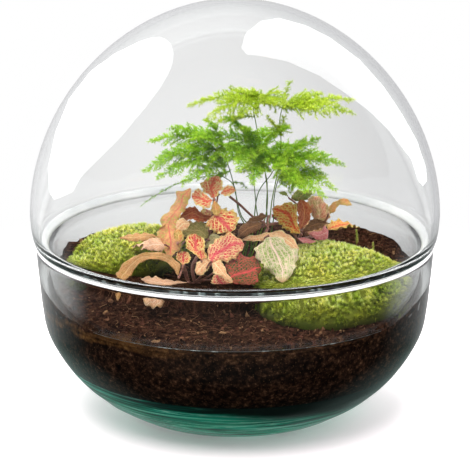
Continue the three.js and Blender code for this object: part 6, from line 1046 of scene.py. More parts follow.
        [[-40.4,-72.9,118.9],[-43.5,-70.1,123.3],[-48.0,-67.8,126.6],[-53.6,-66.5,128.4],[-59.6,-66.2,128.5],[-65.3,-66.9,127.1],[-69.5,-69.3,123.6],[-72.4,-72.3,119.2],[-75.3,-75.1,114.6],[-77.9,-77.8,109.9],[-80.2,-80.3,105.1]],
    ),
    "nerve_leaf_tan_low": (
        [[-33.9,-69.3,110.9],[-37.3,-69.4,111.2],[-40.7,-69.4,112.1],[-44.1,-69.2,112.8],[-47.6,-68.8,113.4],[-51.0,-68.1,114.1],[-54.3,-66.9,114.9],[-57.8,-65.8,115.3],[-61.3,-65.2,114.9],[-64.2,-65.6,113.2],[-66.5,-66.6,111.3]],
        [[-33.9,-69.7,110.5],[-37.5,-71.6,110.1],[-41.0,-73.1,109.7],[-44.5,-74.4,109.1],[-48.1,-75.4,108.5],[-51.8,-75.8,108.0],[-55.7,-75.1,108.2],[-59.5,-73.5,109.0],[-62.8,-71.3,110.0],[-65.1,-69.2,110.6],[-66.6,-66.9,110.9]],
        [[-34.0,-70.1,110.1],[-37.6,-72.1,108.5],[-41.3,-74.7,106.6],[-44.9,-77.1,104.6],[-48.7,-79.1,102.7],[-52.6,-80.7,101.0],[-57.1,-80.4,100.7],[-61.3,-78.5,102.0],[-64.5,-75.2,104.3],[-66.1,-71.1,107.5],[-66.7,-67.3,110.5]],
    ),
    "nerve_leaf_pink_small": (
        [[-37.5,-57.7,121.7],[-38.2,-57.6,122.7],[-39.3,-57.0,123.7],[-40.4,-56.2,124.7],[-41.4,-55.5,125.8],[-41.7,-54.7,127.2],[-41.3,-53.9,128.6],[-40.6,-53.2,129.8],[-39.2,-53.0,130.5],[-37.6,-53.1,130.6],[-36.5,-52.7,130.5]],
        [[-37.0,-57.8,121.6],[-36.9,-57.1,122.3],[-36.8,-56.3,123.0],[-36.7,-55.6,123.9],[-36.8,-54.9,124.9],[-36.7,-54.0,126.2],[-36.5,-53.3,127.6],[-36.4,-52.7,128.9],[-36.2,-52.4,129.8],[-36.0,-52.5,130.2],[-36.0,-52.8,130.4]],
        [[-36.4,-57.9,121.6],[-35.6,-58.1,122.3],[-34.2,-57.9,123.0],[-33.0,-57.5,123.8],[-32.1,-57.0,124.9],[-31.7,-56.3,126.2],[-31.7,-55.5,127.5],[-32.1,-54.7,128.8],[-33.1,-54.1,129.8],[-34.5,-53.6,130.3],[-35.4,-52.9,130.3]],
    ),
    "nerve_leaf_red_low": (
        [[-13.3,-63.8,118.2],[-14.1,-64.8,117.2],[-15.2,-66.1,116.1],[-16.0,-67.4,114.8],[-16.5,-68.6,113.4],[-16.7,-69.8,111.8],[-16.3,-70.8,110.3],[-14.6,-71.1,109.6],[-12.8,-70.8,109.4],[-11.0,-70.3,109.2],[-9.7,-70.1,109.1]],
        [[-12.8,-63.8,118.2],[-12.6,-65.2,117.3],[-12.3,-66.6,116.4],[-11.8,-67.8,115.3],[-11.2,-68.9,114.1],[-10.5,-69.9,112.7],[-9.5,-70.8,111.3],[-8.9,-71.3,110.2],[-8.9,-71.2,109.7],[-9.1,-70.8,109.3],[-9.2,-70.1,109.1]],
        [[-12.2,-63.7,118.2],[-11.1,-64.6,117.1],[-9.3,-65.6,116.2],[-7.6,-66.5,115.2],[-5.9,-67.3,114.2],[-4.3,-68.1,113.0],[-2.8,-68.8,111.8],[-3.1,-69.8,110.3],[-5.0,-70.2,109.5],[-7.1,-70.2,109.1],[-8.6,-70.1,109.1]],
    ),
    "nerve_leaf_cream_low": (
        [[-16.9,-55.4,123.6],[-18.1,-54.5,124.6],[-19.6,-53.5,125.8],[-21.7,-53.4,125.9],[-23.5,-54.1,125.1],[-25.2,-54.8,124.0],[-26.7,-55.7,122.6],[-27.8,-56.8,121.0],[-28.3,-58.0,119.3],[-28.0,-59.3,117.5],[-27.5,-60.4,116.1]],
        [[-16.7,-55.8,123.2],[-17.7,-56.2,123.5],[-18.8,-56.6,123.6],[-20.2,-57.2,123.2],[-21.5,-58.1,122.3],[-22.9,-58.9,121.3],[-24.2,-59.6,120.1],[-25.3,-60.3,118.9],[-26.2,-60.8,117.6],[-26.8,-60.9,116.7],[-27.1,-60.7,115.8]],
        [[-16.6,-56.1,122.9],[-17.3,-56.9,122.1],[-17.9,-58.2,121.0],[-18.7,-59.3,120.0],[-19.6,-60.3,119.0],[-20.6,-61.1,118.0],[-21.7,-61.7,117.1],[-22.8,-62.1,116.1],[-24.2,-62.2,115.5],[-25.7,-61.4,115.5],[-26.8,-61.0,115.5]],
    ),
    "nerve_leaf_cream_curl": (
        [[-15.6,-66.9,126.3],[-13.7,-66.3,127.0],[-11.5,-66.1,127.5],[-9.3,-67.1,126.8],[-7.7,-68.7,125.4],[-7.1,-70.6,123.6],[-6.2,-72.3,121.9],[-4.9,-73.9,120.2],[-3.6,-75.2,118.5],[-2.1,-76.4,116.9],[-1.4,-77.8,115.3]],
        [[-15.8,-67.2,126.0],[-14.8,-68.3,125.8],[-13.5,-69.5,125.3],[-12.0,-71.0,124.2],[-10.4,-72.5,123.0],[-9.1,-73.9,121.7],[-7.7,-75.1,120.4],[-6.1,-76.1,119.1],[-4.6,-77.1,117.7],[-3.0,-77.7,116.3],[-1.7,-78.1,115.0]],
        [[-16.1,-67.6,125.6],[-15.9,-69.2,124.3],[-15.6,-71.3,122.7],[-14.8,-73.2,121.1],[-13.1,-74.5,120.0],[-11.2,-75.3,119.3],[-9.2,-76.0,118.5],[-7.3,-76.6,117.6],[-5.7,-77.5,116.3],[-3.8,-78.1,115.3],[-2.0,-78.4,114.7]],
    ),
    "nerve_leaf_brown_centre": (
        [[19.4,-13.8,141.4],[17.3,-14.0,141.4],[14.8,-14.4,141.8],[12.3,-15.0,141.9],[9.9,-15.7,141.8],[7.6,-16.6,141.2],[5.5,-17.7,140.2],[3.7,-18.9,138.8],[2.7,-20.2,136.9],[2.2,-21.6,134.7],[1.5,-23.1,133.1]],
        [[19.7,-14.0,141.0],[18.3,-15.5,140.5],[16.7,-16.9,139.9],[14.5,-18.0,139.6],[12.2,-18.9,139.2],[10.0,-19.9,138.5],[8.0,-20.9,137.5],[6.1,-21.9,136.2],[4.5,-22.6,135.0],[3.2,-23.0,133.9],[1.8,-23.3,132.7]],
        [[20.0,-14.2,140.7],[19.3,-15.4,139.1],[18.5,-17.1,137.4],[16.6,-18.3,136.4],[14.5,-19.3,135.8],[12.5,-20.3,135.0],[10.6,-21.4,133.9],[8.6,-22.3,133.0],[6.4,-22.8,132.6],[4.1,-22.9,132.6],[2.1,-23.5,132.3]],
    ),
    "nerve_leaf_centre_small": (
        [[23.1,-4.2,143.6],[21.8,-3.8,144.2],[20.4,-3.3,145.1],[18.7,-3.6,144.9],[17.2,-4.4,144.0],[15.7,-5.1,143.3],[13.9,-5.3,143.0],[12.2,-5.5,142.6],[10.7,-6.2,141.7],[9.6,-7.0,140.5],[8.4,-7.5,139.7]],
        [[23.2,-4.6,143.2],[22.0,-5.0,143.3],[20.7,-5.3,143.3],[19.1,-5.8,143.0],[17.6,-6.4,142.3],[16.0,-7.0,141.8],[14.4,-7.3,141.4],[12.7,-7.5,140.9],[11.2,-7.8,140.3],[9.8,-7.9,139.8],[8.5,-7.9,139.3]],
        [[23.2,-4.9,142.8],[22.1,-5.6,142.2],[20.9,-6.5,141.3],[19.5,-7.1,140.7],[17.9,-7.5,140.4],[16.3,-7.9,140.0],[14.8,-8.3,139.4],[13.3,-8.7,138.9],[11.7,-8.7,138.7],[10.1,-8.3,138.9],[8.6,-8.2,138.8]],
    ),
    "nerve_leaf_right_orange": (
        [[48.1,-3.2,130.3],[47.0,-0.7,133.2],[46.4,1.7,136.7],[46.0,4.2,140.1],[45.9,6.7,143.6],[45.8,9.2,147.1],[42.9,11.2,149.0],[38.9,12.1,148.7],[35.0,12.5,147.8],[31.1,12.6,146.5],[28.0,12.0,144.9]],
        [[47.8,-3.4,129.9],[45.9,-2.6,131.6],[44.1,-1.5,133.5],[42.7,0.2,136.0],[41.5,2.1,138.5],[40.2,4.1,141.0],[37.7,6.0,142.7],[34.8,7.5,143.5],[32.1,9.0,144.1],[29.6,10.4,144.5],[27.7,11.7,144.5]],
        [[47.6,-3.7,129.5],[44.9,-3.0,129.5],[41.9,-2.4,129.8],[39.5,-1.1,131.2],[37.1,0.3,132.6],[34.7,1.8,134.0],[32.6,3.6,135.7],[30.8,5.6,137.7],[29.3,7.7,139.7],[28.1,9.9,142.0],[27.4,11.5,144.1]],
    ),
    "nerve_leaf_right_brown": (
        [[48.0,3.0,131.4],[47.6,3.9,133.2],[46.9,4.9,135.2],[46.7,6.0,137.2],[46.6,7.2,139.2],[46.5,8.3,141.3],[46.3,9.2,143.3],[46.1,10.0,145.5],[46.2,10.8,147.6],[47.2,11.9,149.4],[48.1,13.1,150.8]],
        [[48.5,3.2,131.2],[49.2,5.2,132.7],[50.0,7.0,134.3],[50.7,8.8,136.2],[51.3,10.5,138.2],[51.6,11.9,140.5],[51.5,13.0,142.8],[51.0,13.7,145.3],[50.1,13.8,147.5],[49.3,13.8,149.3],[48.6,13.3,150.9]],
        [[48.9,3.4,131.1],[50.8,5.3,132.5],[52.9,7.7,133.9],[54.8,9.9,135.6],[56.0,11.9,137.8],[56.7,13.7,140.2],[56.7,14.9,142.9],[55.8,15.6,145.5],[53.9,15.4,147.8],[51.4,14.5,149.6],[49.1,13.6,150.9]],
    ),
    "nerve_leaf_right_bud": (
        [[39.7,21.8,151.4],[39.2,21.9,152.0],[39.0,22.5,152.7],[38.7,23.2,153.4],[38.0,23.8,153.9],[37.2,24.2,154.3],[36.3,24.5,154.4],[35.4,24.7,154.4],[34.5,24.6,154.2],[33.7,24.5,153.8],[33.0,25.1,153.7]],
        [[39.5,21.4,151.1],[39.0,21.8,151.7],[38.6,22.2,152.2],[38.0,22.7,152.6],[37.3,23.0,153.0],[36.6,23.2,153.1],[35.7,23.4,153.3],[34.9,23.7,153.4],[34.2,24.0,153.4],[33.5,24.3,153.4],[32.8,24.6,153.4]],
        [[39.2,21.1,150.9],[38.8,21.2,151.5],[38.1,21.2,151.8],[37.4,21.3,152.1],[36.6,21.3,152.2],[35.9,21.3,152.3],[35.1,21.5,152.4],[34.4,21.9,152.5],[33.9,22.6,152.8],[33.3,23.5,153.1],[32.7,24.2,153.1]],
    ),
    "nerve_leaf_right_green_top": (
        [[47.9,20.8,147.5],[46.0,20.9,147.9],[43.6,21.0,148.6],[42.3,22.2,150.2],[43.1,24.1,152.1],[45.0,25.6,153.5],[47.2,26.8,154.4],[49.7,27.2,154.4],[52.2,27.7,154.3],[54.8,28.3,154.3],[56.8,28.9,154.5]],
        [[48.4,20.8,147.5],[47.9,20.4,148.0],[47.4,20.3,148.5],[47.4,20.9,149.6],[48.5,22.0,150.8],[50.0,23.1,151.8],[51.6,24.1,152.6],[53.4,25.0,153.1],[55.0,26.1,153.4],[56.2,27.3,153.9],[57.3,28.7,154.3]],
        [[49.0,20.9,147.4],[49.8,21.0,147.7],[51.2,21.0,148.0],[52.6,21.3,148.5],[53.9,21.8,149.0],[55.1,22.5,149.6],[56.1,23.4,150.4],[57.1,24.6,151.2],[57.8,26.0,152.2],[57.7,27.5,153.2],[57.8,28.6,154.1]],
    ),
    "nerve_leaf_right_peach": (
        [[60.3,18.3,131.9],[59.4,19.8,133.8],[58.1,21.0,136.2],[56.9,22.2,138.6],[55.8,23.6,141.1],[54.7,25.0,143.5],[53.8,26.5,145.9],[55.2,28.3,147.9],[57.8,29.7,148.8],[60.8,30.8,149.0],[63.2,31.1,149.2]],
        [[60.8,18.2,131.6],[61.6,18.4,132.8],[62.4,19.0,134.3],[63.0,20.1,136.2],[63.3,21.5,138.6],[63.0,23.1,141.1],[62.0,24.6,143.5],[62.0,26.4,145.7],[62.7,28.1,147.3],[63.3,29.7,148.3],[63.7,31.1,149.1]],
        [[61.2,18.1,131.4],[63.8,19.1,131.2],[66.8,20.0,131.6],[69.3,21.4,132.9],[71.0,23.2,135.1],[71.5,25.0,137.6],[70.5,26.5,140.1],[69.0,27.9,142.5],[67.7,29.4,144.9],[66.0,30.7,147.1],[64.2,31.1,148.9]],
    ),
    "nerve_leaf_right_yellow_tip": (
        [[70.0,9.7,142.1],[70.0,11.0,144.0],[70.2,12.8,146.1],[71.9,14.6,147.6],[74.2,16.2,148.6],[76.6,17.7,149.3],[79.1,19.3,149.9],[81.6,20.6,150.1],[84.0,20.8,149.1],[85.8,20.0,147.4],[87.2,19.4,145.7]],
        [[70.3,9.4,141.8],[71.1,10.2,143.0],[72.1,11.4,144.4],[73.4,13.0,145.8],[75.1,14.6,147.0],[77.0,16.1,147.8],[79.1,17.4,148.3],[81.4,18.2,148.1],[83.6,18.6,147.4],[85.4,18.7,146.4],[87.1,19.0,145.3]],
        [[70.7,9.1,141.5],[72.2,9.4,142.0],[74.0,10.0,142.7],[74.9,11.4,144.1],[75.9,13.0,145.3],[77.4,14.5,146.3],[79.2,15.5,146.6],[81.1,15.8,146.1],[83.1,16.4,145.6],[85.1,17.4,145.3],[87.0,18.5,145.0]],
    ),
    "nerve_leaf_right_crumpled": (
        [[50.5,4.5,130.2],[51.9,4.4,131.7],[53.1,5.3,133.3],[54.5,6.3,134.9],[56.0,7.4,136.3],[57.7,8.5,137.5],[59.8,9.0,137.7],[62.0,9.0,137.0],[64.1,9.1,136.3],[66.2,9.2,135.5],[68.0,10.2,134.7]],
        [[50.7,4.2,129.8],[52.3,4.9,130.5],[53.9,5.7,131.3],[55.6,6.5,132.0],[57.3,7.2,132.7],[59.1,8.0,133.4],[61.1,8.5,133.7],[63.1,8.8,133.7],[65.0,9.1,133.8],[66.7,9.5,134.0],[68.2,9.9,134.3]],
        [[50.9,3.9,129.4],[52.6,3.3,130.0],[54.6,3.1,130.0],[56.5,3.1,130.1],[58.4,3.3,130.2],[60.4,3.7,130.4],[62.2,4.3,130.8],[64.1,5.1,131.4],[65.8,6.2,132.1],[67.1,7.7,133.2],[68.4,9.6,133.8]],
    ),
    "nerve_leaf_right_pink_low": (
        [[54.8,2.1,128.7],[56.5,2.4,128.9],[58.4,2.8,129.4],[60.3,2.8,129.4],[62.3,2.8,129.2],[63.9,3.7,130.1],[65.1,5.0,131.4],[66.5,6.2,132.4],[68.0,5.9,131.3],[68.8,5.2,129.6],[69.1,4.4,128.4]],
        [[54.6,1.8,128.3],[56.2,1.1,128.1],[57.9,0.5,127.9],[59.6,0.0,127.4],[61.5,-0.3,126.9],[63.2,0.1,127.2],[64.8,0.9,127.8],[66.6,2.0,128.4],[68.0,2.7,128.3],[68.9,3.3,128.1],[69.1,4.1,127.9]],
        [[54.5,1.4,127.9],[56.0,0.8,127.0],[57.4,-0.2,125.9],[59.0,-1.0,125.0],[60.8,-1.5,124.1],[62.7,-1.6,123.7],[64.7,-1.3,123.6],[66.6,-0.5,123.8],[68.1,0.9,124.9],[68.9,2.5,126.3],[69.1,3.7,127.5]],
    ),
    "nerve_leaf_right_pink_ground": (
        [[46.8,-4.0,126.4],[47.9,-4.4,126.5],[49.3,-4.4,126.8],[50.6,-4.6,126.8],[51.9,-4.9,126.7],[53.3,-5.3,126.4],[54.5,-5.6,126.1],[55.8,-5.9,125.8],[57.1,-6.2,125.3],[58.3,-6.4,124.8],[59.6,-6.2,124.6]],
        [[46.6,-4.4,126.1],[47.7,-5.1,125.9],[48.8,-5.8,125.6],[50.1,-6.3,125.4],[51.5,-6.7,125.2],[52.8,-7.0,125.0],[54.2,-7.2,124.8],[55.6,-7.2,124.6],[56.9,-7.1,124.5],[58.2,-6.9,124.4],[59.5,-6.6,124.2]],
        [[46.5,-4.8,125.7],[47.5,-5.8,125.3],[48.4,-7.1,124.5],[49.6,-7.9,124.0],[51.0,-8.4,123.8],[52.4,-8.6,123.6],[53.9,-8.7,123.5],[55.3,-8.6,123.5],[56.8,-8.1,123.6],[58.1,-7.4,124.0],[59.5,-7.0,123.9]],
    ),
    "nerve_leaf_back_a": (
        [[-36.5,-8.3,128.0],[-42.9,-8.7,130.3],[-46.6,-7.7,132.1],[-49.2,-6.0,133.6],[-51.1,-3.8,134.7],[-52.3,-1.3,135.3],[-52.9,1.5,135.4],[-53.1,4.7,135.0],[-52.7,8.1,134.2],[-51.9,11.8,133.1],[-50.4,15.8,131.5]],
        [[-36.0,-8.0,128.0],[-37.4,-5.6,129.8],[-38.8,-3.2,131.3],[-40.2,-0.8,132.4],[-41.6,1.6,133.2],[-43.0,4.1,133.8],[-44.4,6.5,133.9],[-45.7,8.9,133.8],[-47.1,11.3,133.4],[-48.5,13.7,132.6],[-49.9,16.1,131.5]],
        [[-35.5,-7.7,128.0],[-31.9,-2.4,130.3],[-31.0,1.3,132.1],[-31.1,4.5,133.6],[-32.1,7.1,134.7],[-33.6,9.4,135.3],[-35.8,11.4,135.4],[-38.4,13.1,135.0],[-41.5,14.5,134.2],[-45.2,15.7,133.1],[-49.4,16.4,131.5]],
    ),
    "nerve_leaf_back_b": (
        [[-22.5,-1.7,118.0],[-26.2,3.6,119.9],[-27.1,7.5,121.4],[-27.0,10.8,122.6],[-26.1,13.8,123.3],[-24.5,16.3,123.5],[-22.3,18.6,123.2],[-19.6,20.5,122.5],[-16.4,22.2,121.4],[-12.8,23.7,119.9],[-8.4,24.8,118.0]],
        [[-22.0,-2.0,118.0],[-20.6,0.7,119.4],[-19.2,3.3,120.6],[-17.8,6.0,121.3],[-16.4,8.6,121.8],[-15.0,11.3,122.0],[-13.5,13.9,121.8],[-12.1,16.6,121.3],[-10.7,19.2,120.5],[-9.3,21.9,119.4],[-7.9,24.5,118.0]],
        [[-21.5,-2.3,118.0],[-15.0,-2.3,119.9],[-11.3,-0.9,121.4],[-8.6,1.1,122.6],[-6.7,3.4,123.3],[-5.4,6.2,123.5],[-4.8,9.3,123.2],[-4.7,12.6,122.5],[-5.0,16.2,121.4],[-5.9,20.0,119.9],[-7.4,24.2,118.0]],
    ),
    "nerve_leaf_back_c": (
        [[57.5,30.1,118.0],[53.2,34.2,119.9],[51.6,37.5,121.5],[51.0,40.5,122.8],[51.2,43.3,123.6],[52.1,45.9,124.0],[53.6,48.4,124.0],[55.6,50.7,123.6],[58.1,52.9,122.7],[61.0,55.0,121.5],[64.6,56.9,120.0]],
        [[58.0,30.0,118.0],[58.7,32.7,119.5],[59.4,35.4,120.6],[60.2,38.0,121.5],[60.9,40.7,122.2],[61.6,43.4,122.5],[62.3,46.1,122.6],[63.0,48.7,122.3],[63.7,51.4,121.8],[64.5,54.1,121.1],[65.2,56.8,120.0]],
        [[58.5,29.9,118.0],[64.3,31.2,119.9],[67.3,33.2,121.5],[69.3,35.6,122.8],[70.5,38.1,123.6],[71.0,40.8,124.0],[71.0,43.7,124.0],[70.4,46.8,123.6],[69.4,49.9,122.7],[67.9,53.2,121.5],[65.7,56.6,120.0]],
    ),
    "nerve_leaf_back_d": (
        [[69.7,26.5,124.0],[69.7,32.1,125.4],[71.0,35.5,126.4],[72.8,38.0,127.1],[75.0,39.9,127.5],[77.6,41.1,127.4],[80.4,41.9,126.9],[83.4,42.2,126.0],[86.7,42.1,124.8],[90.3,41.6,123.2],[94.1,40.6,121.3]],
        [[70.0,26.0,124.0],[72.4,27.4,124.9],[74.9,28.8,125.5],[77.3,30.2,125.9],[79.8,31.6,126.0],[82.2,33.0,125.9],[84.6,34.5,125.5],[87.1,35.9,124.8],[89.5,37.3,123.9],[92.0,38.7,122.7],[94.4,40.1,121.3]],
        [[70.3,25.5,124.0],[75.2,22.7,125.4],[78.8,22.1,126.4],[81.8,22.4,127.1],[84.5,23.4,127.5],[86.9,25.0,127.4],[88.9,27.1,126.9],[90.7,29.5,126.0],[92.3,32.4,124.8],[93.7,35.8,123.2],[94.7,39.6,121.3]],
    ),
    "nerve_leaf_back_e": (
        [[-14.5,-10.0,140.0],[-19.7,-7.9,141.8],[-22.2,-5.5,143.3],[-23.7,-3.0,144.5],[-24.4,-0.5,145.2],[-24.4,2.1,145.5],[-23.9,4.8,145.4],[-22.9,7.5,144.9],[-21.4,10.2,143.9],[-19.4,13.0,142.6],[-16.8,15.8,141.0]],
        [[-14.0,-10.0,140.0],[-14.2,-7.4,141.4],[-14.5,-4.8,142.4],[-14.7,-2.2,143.2],[-14.9,0.4,143.8],[-15.1,2.9,144.0],[-15.4,5.5,144.0],[-15.6,8.1,143.6],[-15.8,10.7,143.0],[-16.0,13.3,142.2],[-16.3,15.9,141.0]],
        [[-13.5,-10.0,140.0],[-8.8,-6.9,141.8],[-6.7,-4.1,143.3],[-5.7,-1.5,144.5],[-5.5,1.2,145.2],[-5.9,3.8,145.5],[-6.8,6.3,145.4],[-8.3,8.8,144.9],[-10.3,11.2,143.9],[-12.7,13.6,142.6],[-15.7,15.9,141.0]],
    ),
    "nerve_leaf_back_f": (
        [[-50.2,-20.5,122.0],[-54.4,-24.2,123.6],[-57.8,-25.4,124.9],[-60.7,-25.7,125.8],[-63.5,-25.2,126.3],[-66.0,-24.1,126.3],[-68.3,-22.5,126.0],[-70.4,-20.3,125.2],[-72.3,-17.8,124.1],[-74.1,-14.8,122.5],[-75.7,-11.2,120.7]],
        [[-50.0,-20.0,122.0],[-52.6,-19.1,123.1],[-55.1,-18.1,124.0],[-57.7,-17.2,124.5],[-60.2,-16.3,124.8],[-62.8,-15.4,124.8],[-65.3,-14.4,124.6],[-67.9,-13.5,124.0],[-70.4,-12.6,123.2],[-73.0,-11.6,122.1],[-75.5,-10.7,120.7]],
        [[-49.8,-19.5,122.0],[-50.7,-13.9,123.6],[-52.5,-10.9,124.9],[-54.6,-8.7,125.8],[-57.0,-7.4,126.3],[-59.6,-6.6,126.3],[-62.4,-6.4,126.0],[-65.4,-6.6,125.2],[-68.5,-7.3,124.1],[-71.8,-8.5,122.5],[-75.4,-10.2,120.7]],
    ),
    "nerve_leaf_back_g": (
        [[41.5,25.8,128.0],[36.2,26.1,129.5],[33.2,27.5,130.8],[31.0,29.3,131.7],[29.6,31.4,132.2],[28.6,33.8,132.4],[28.2,36.4,132.2],[28.2,39.2,131.6],[28.6,42.2,130.7],[29.5,45.3,129.4],[30.8,48.8,127.8]],
        [[42.0,26.0,128.0],[40.9,28.3,129.1],[39.9,30.6,129.9],[38.8,32.9,130.5],[37.7,35.2,130.8],[36.6,37.5,130.9],[35.6,39.8,130.8],[34.5,42.1,130.4],[33.4,44.4,129.8],[32.3,46.7,128.9],[31.3,49.0,127.8]],
        [[42.5,26.2,128.0],[45.6,30.5,129.5],[46.5,33.7,130.8],[46.5,36.5,131.7],[45.9,39.0,132.2],[44.6,41.2,132.4],[42.9,43.2,132.2],[40.8,45.0,131.6],[38.2,46.6,130.7],[35.2,48.0,129.4],[31.8,49.2,127.8]],
    ),
}
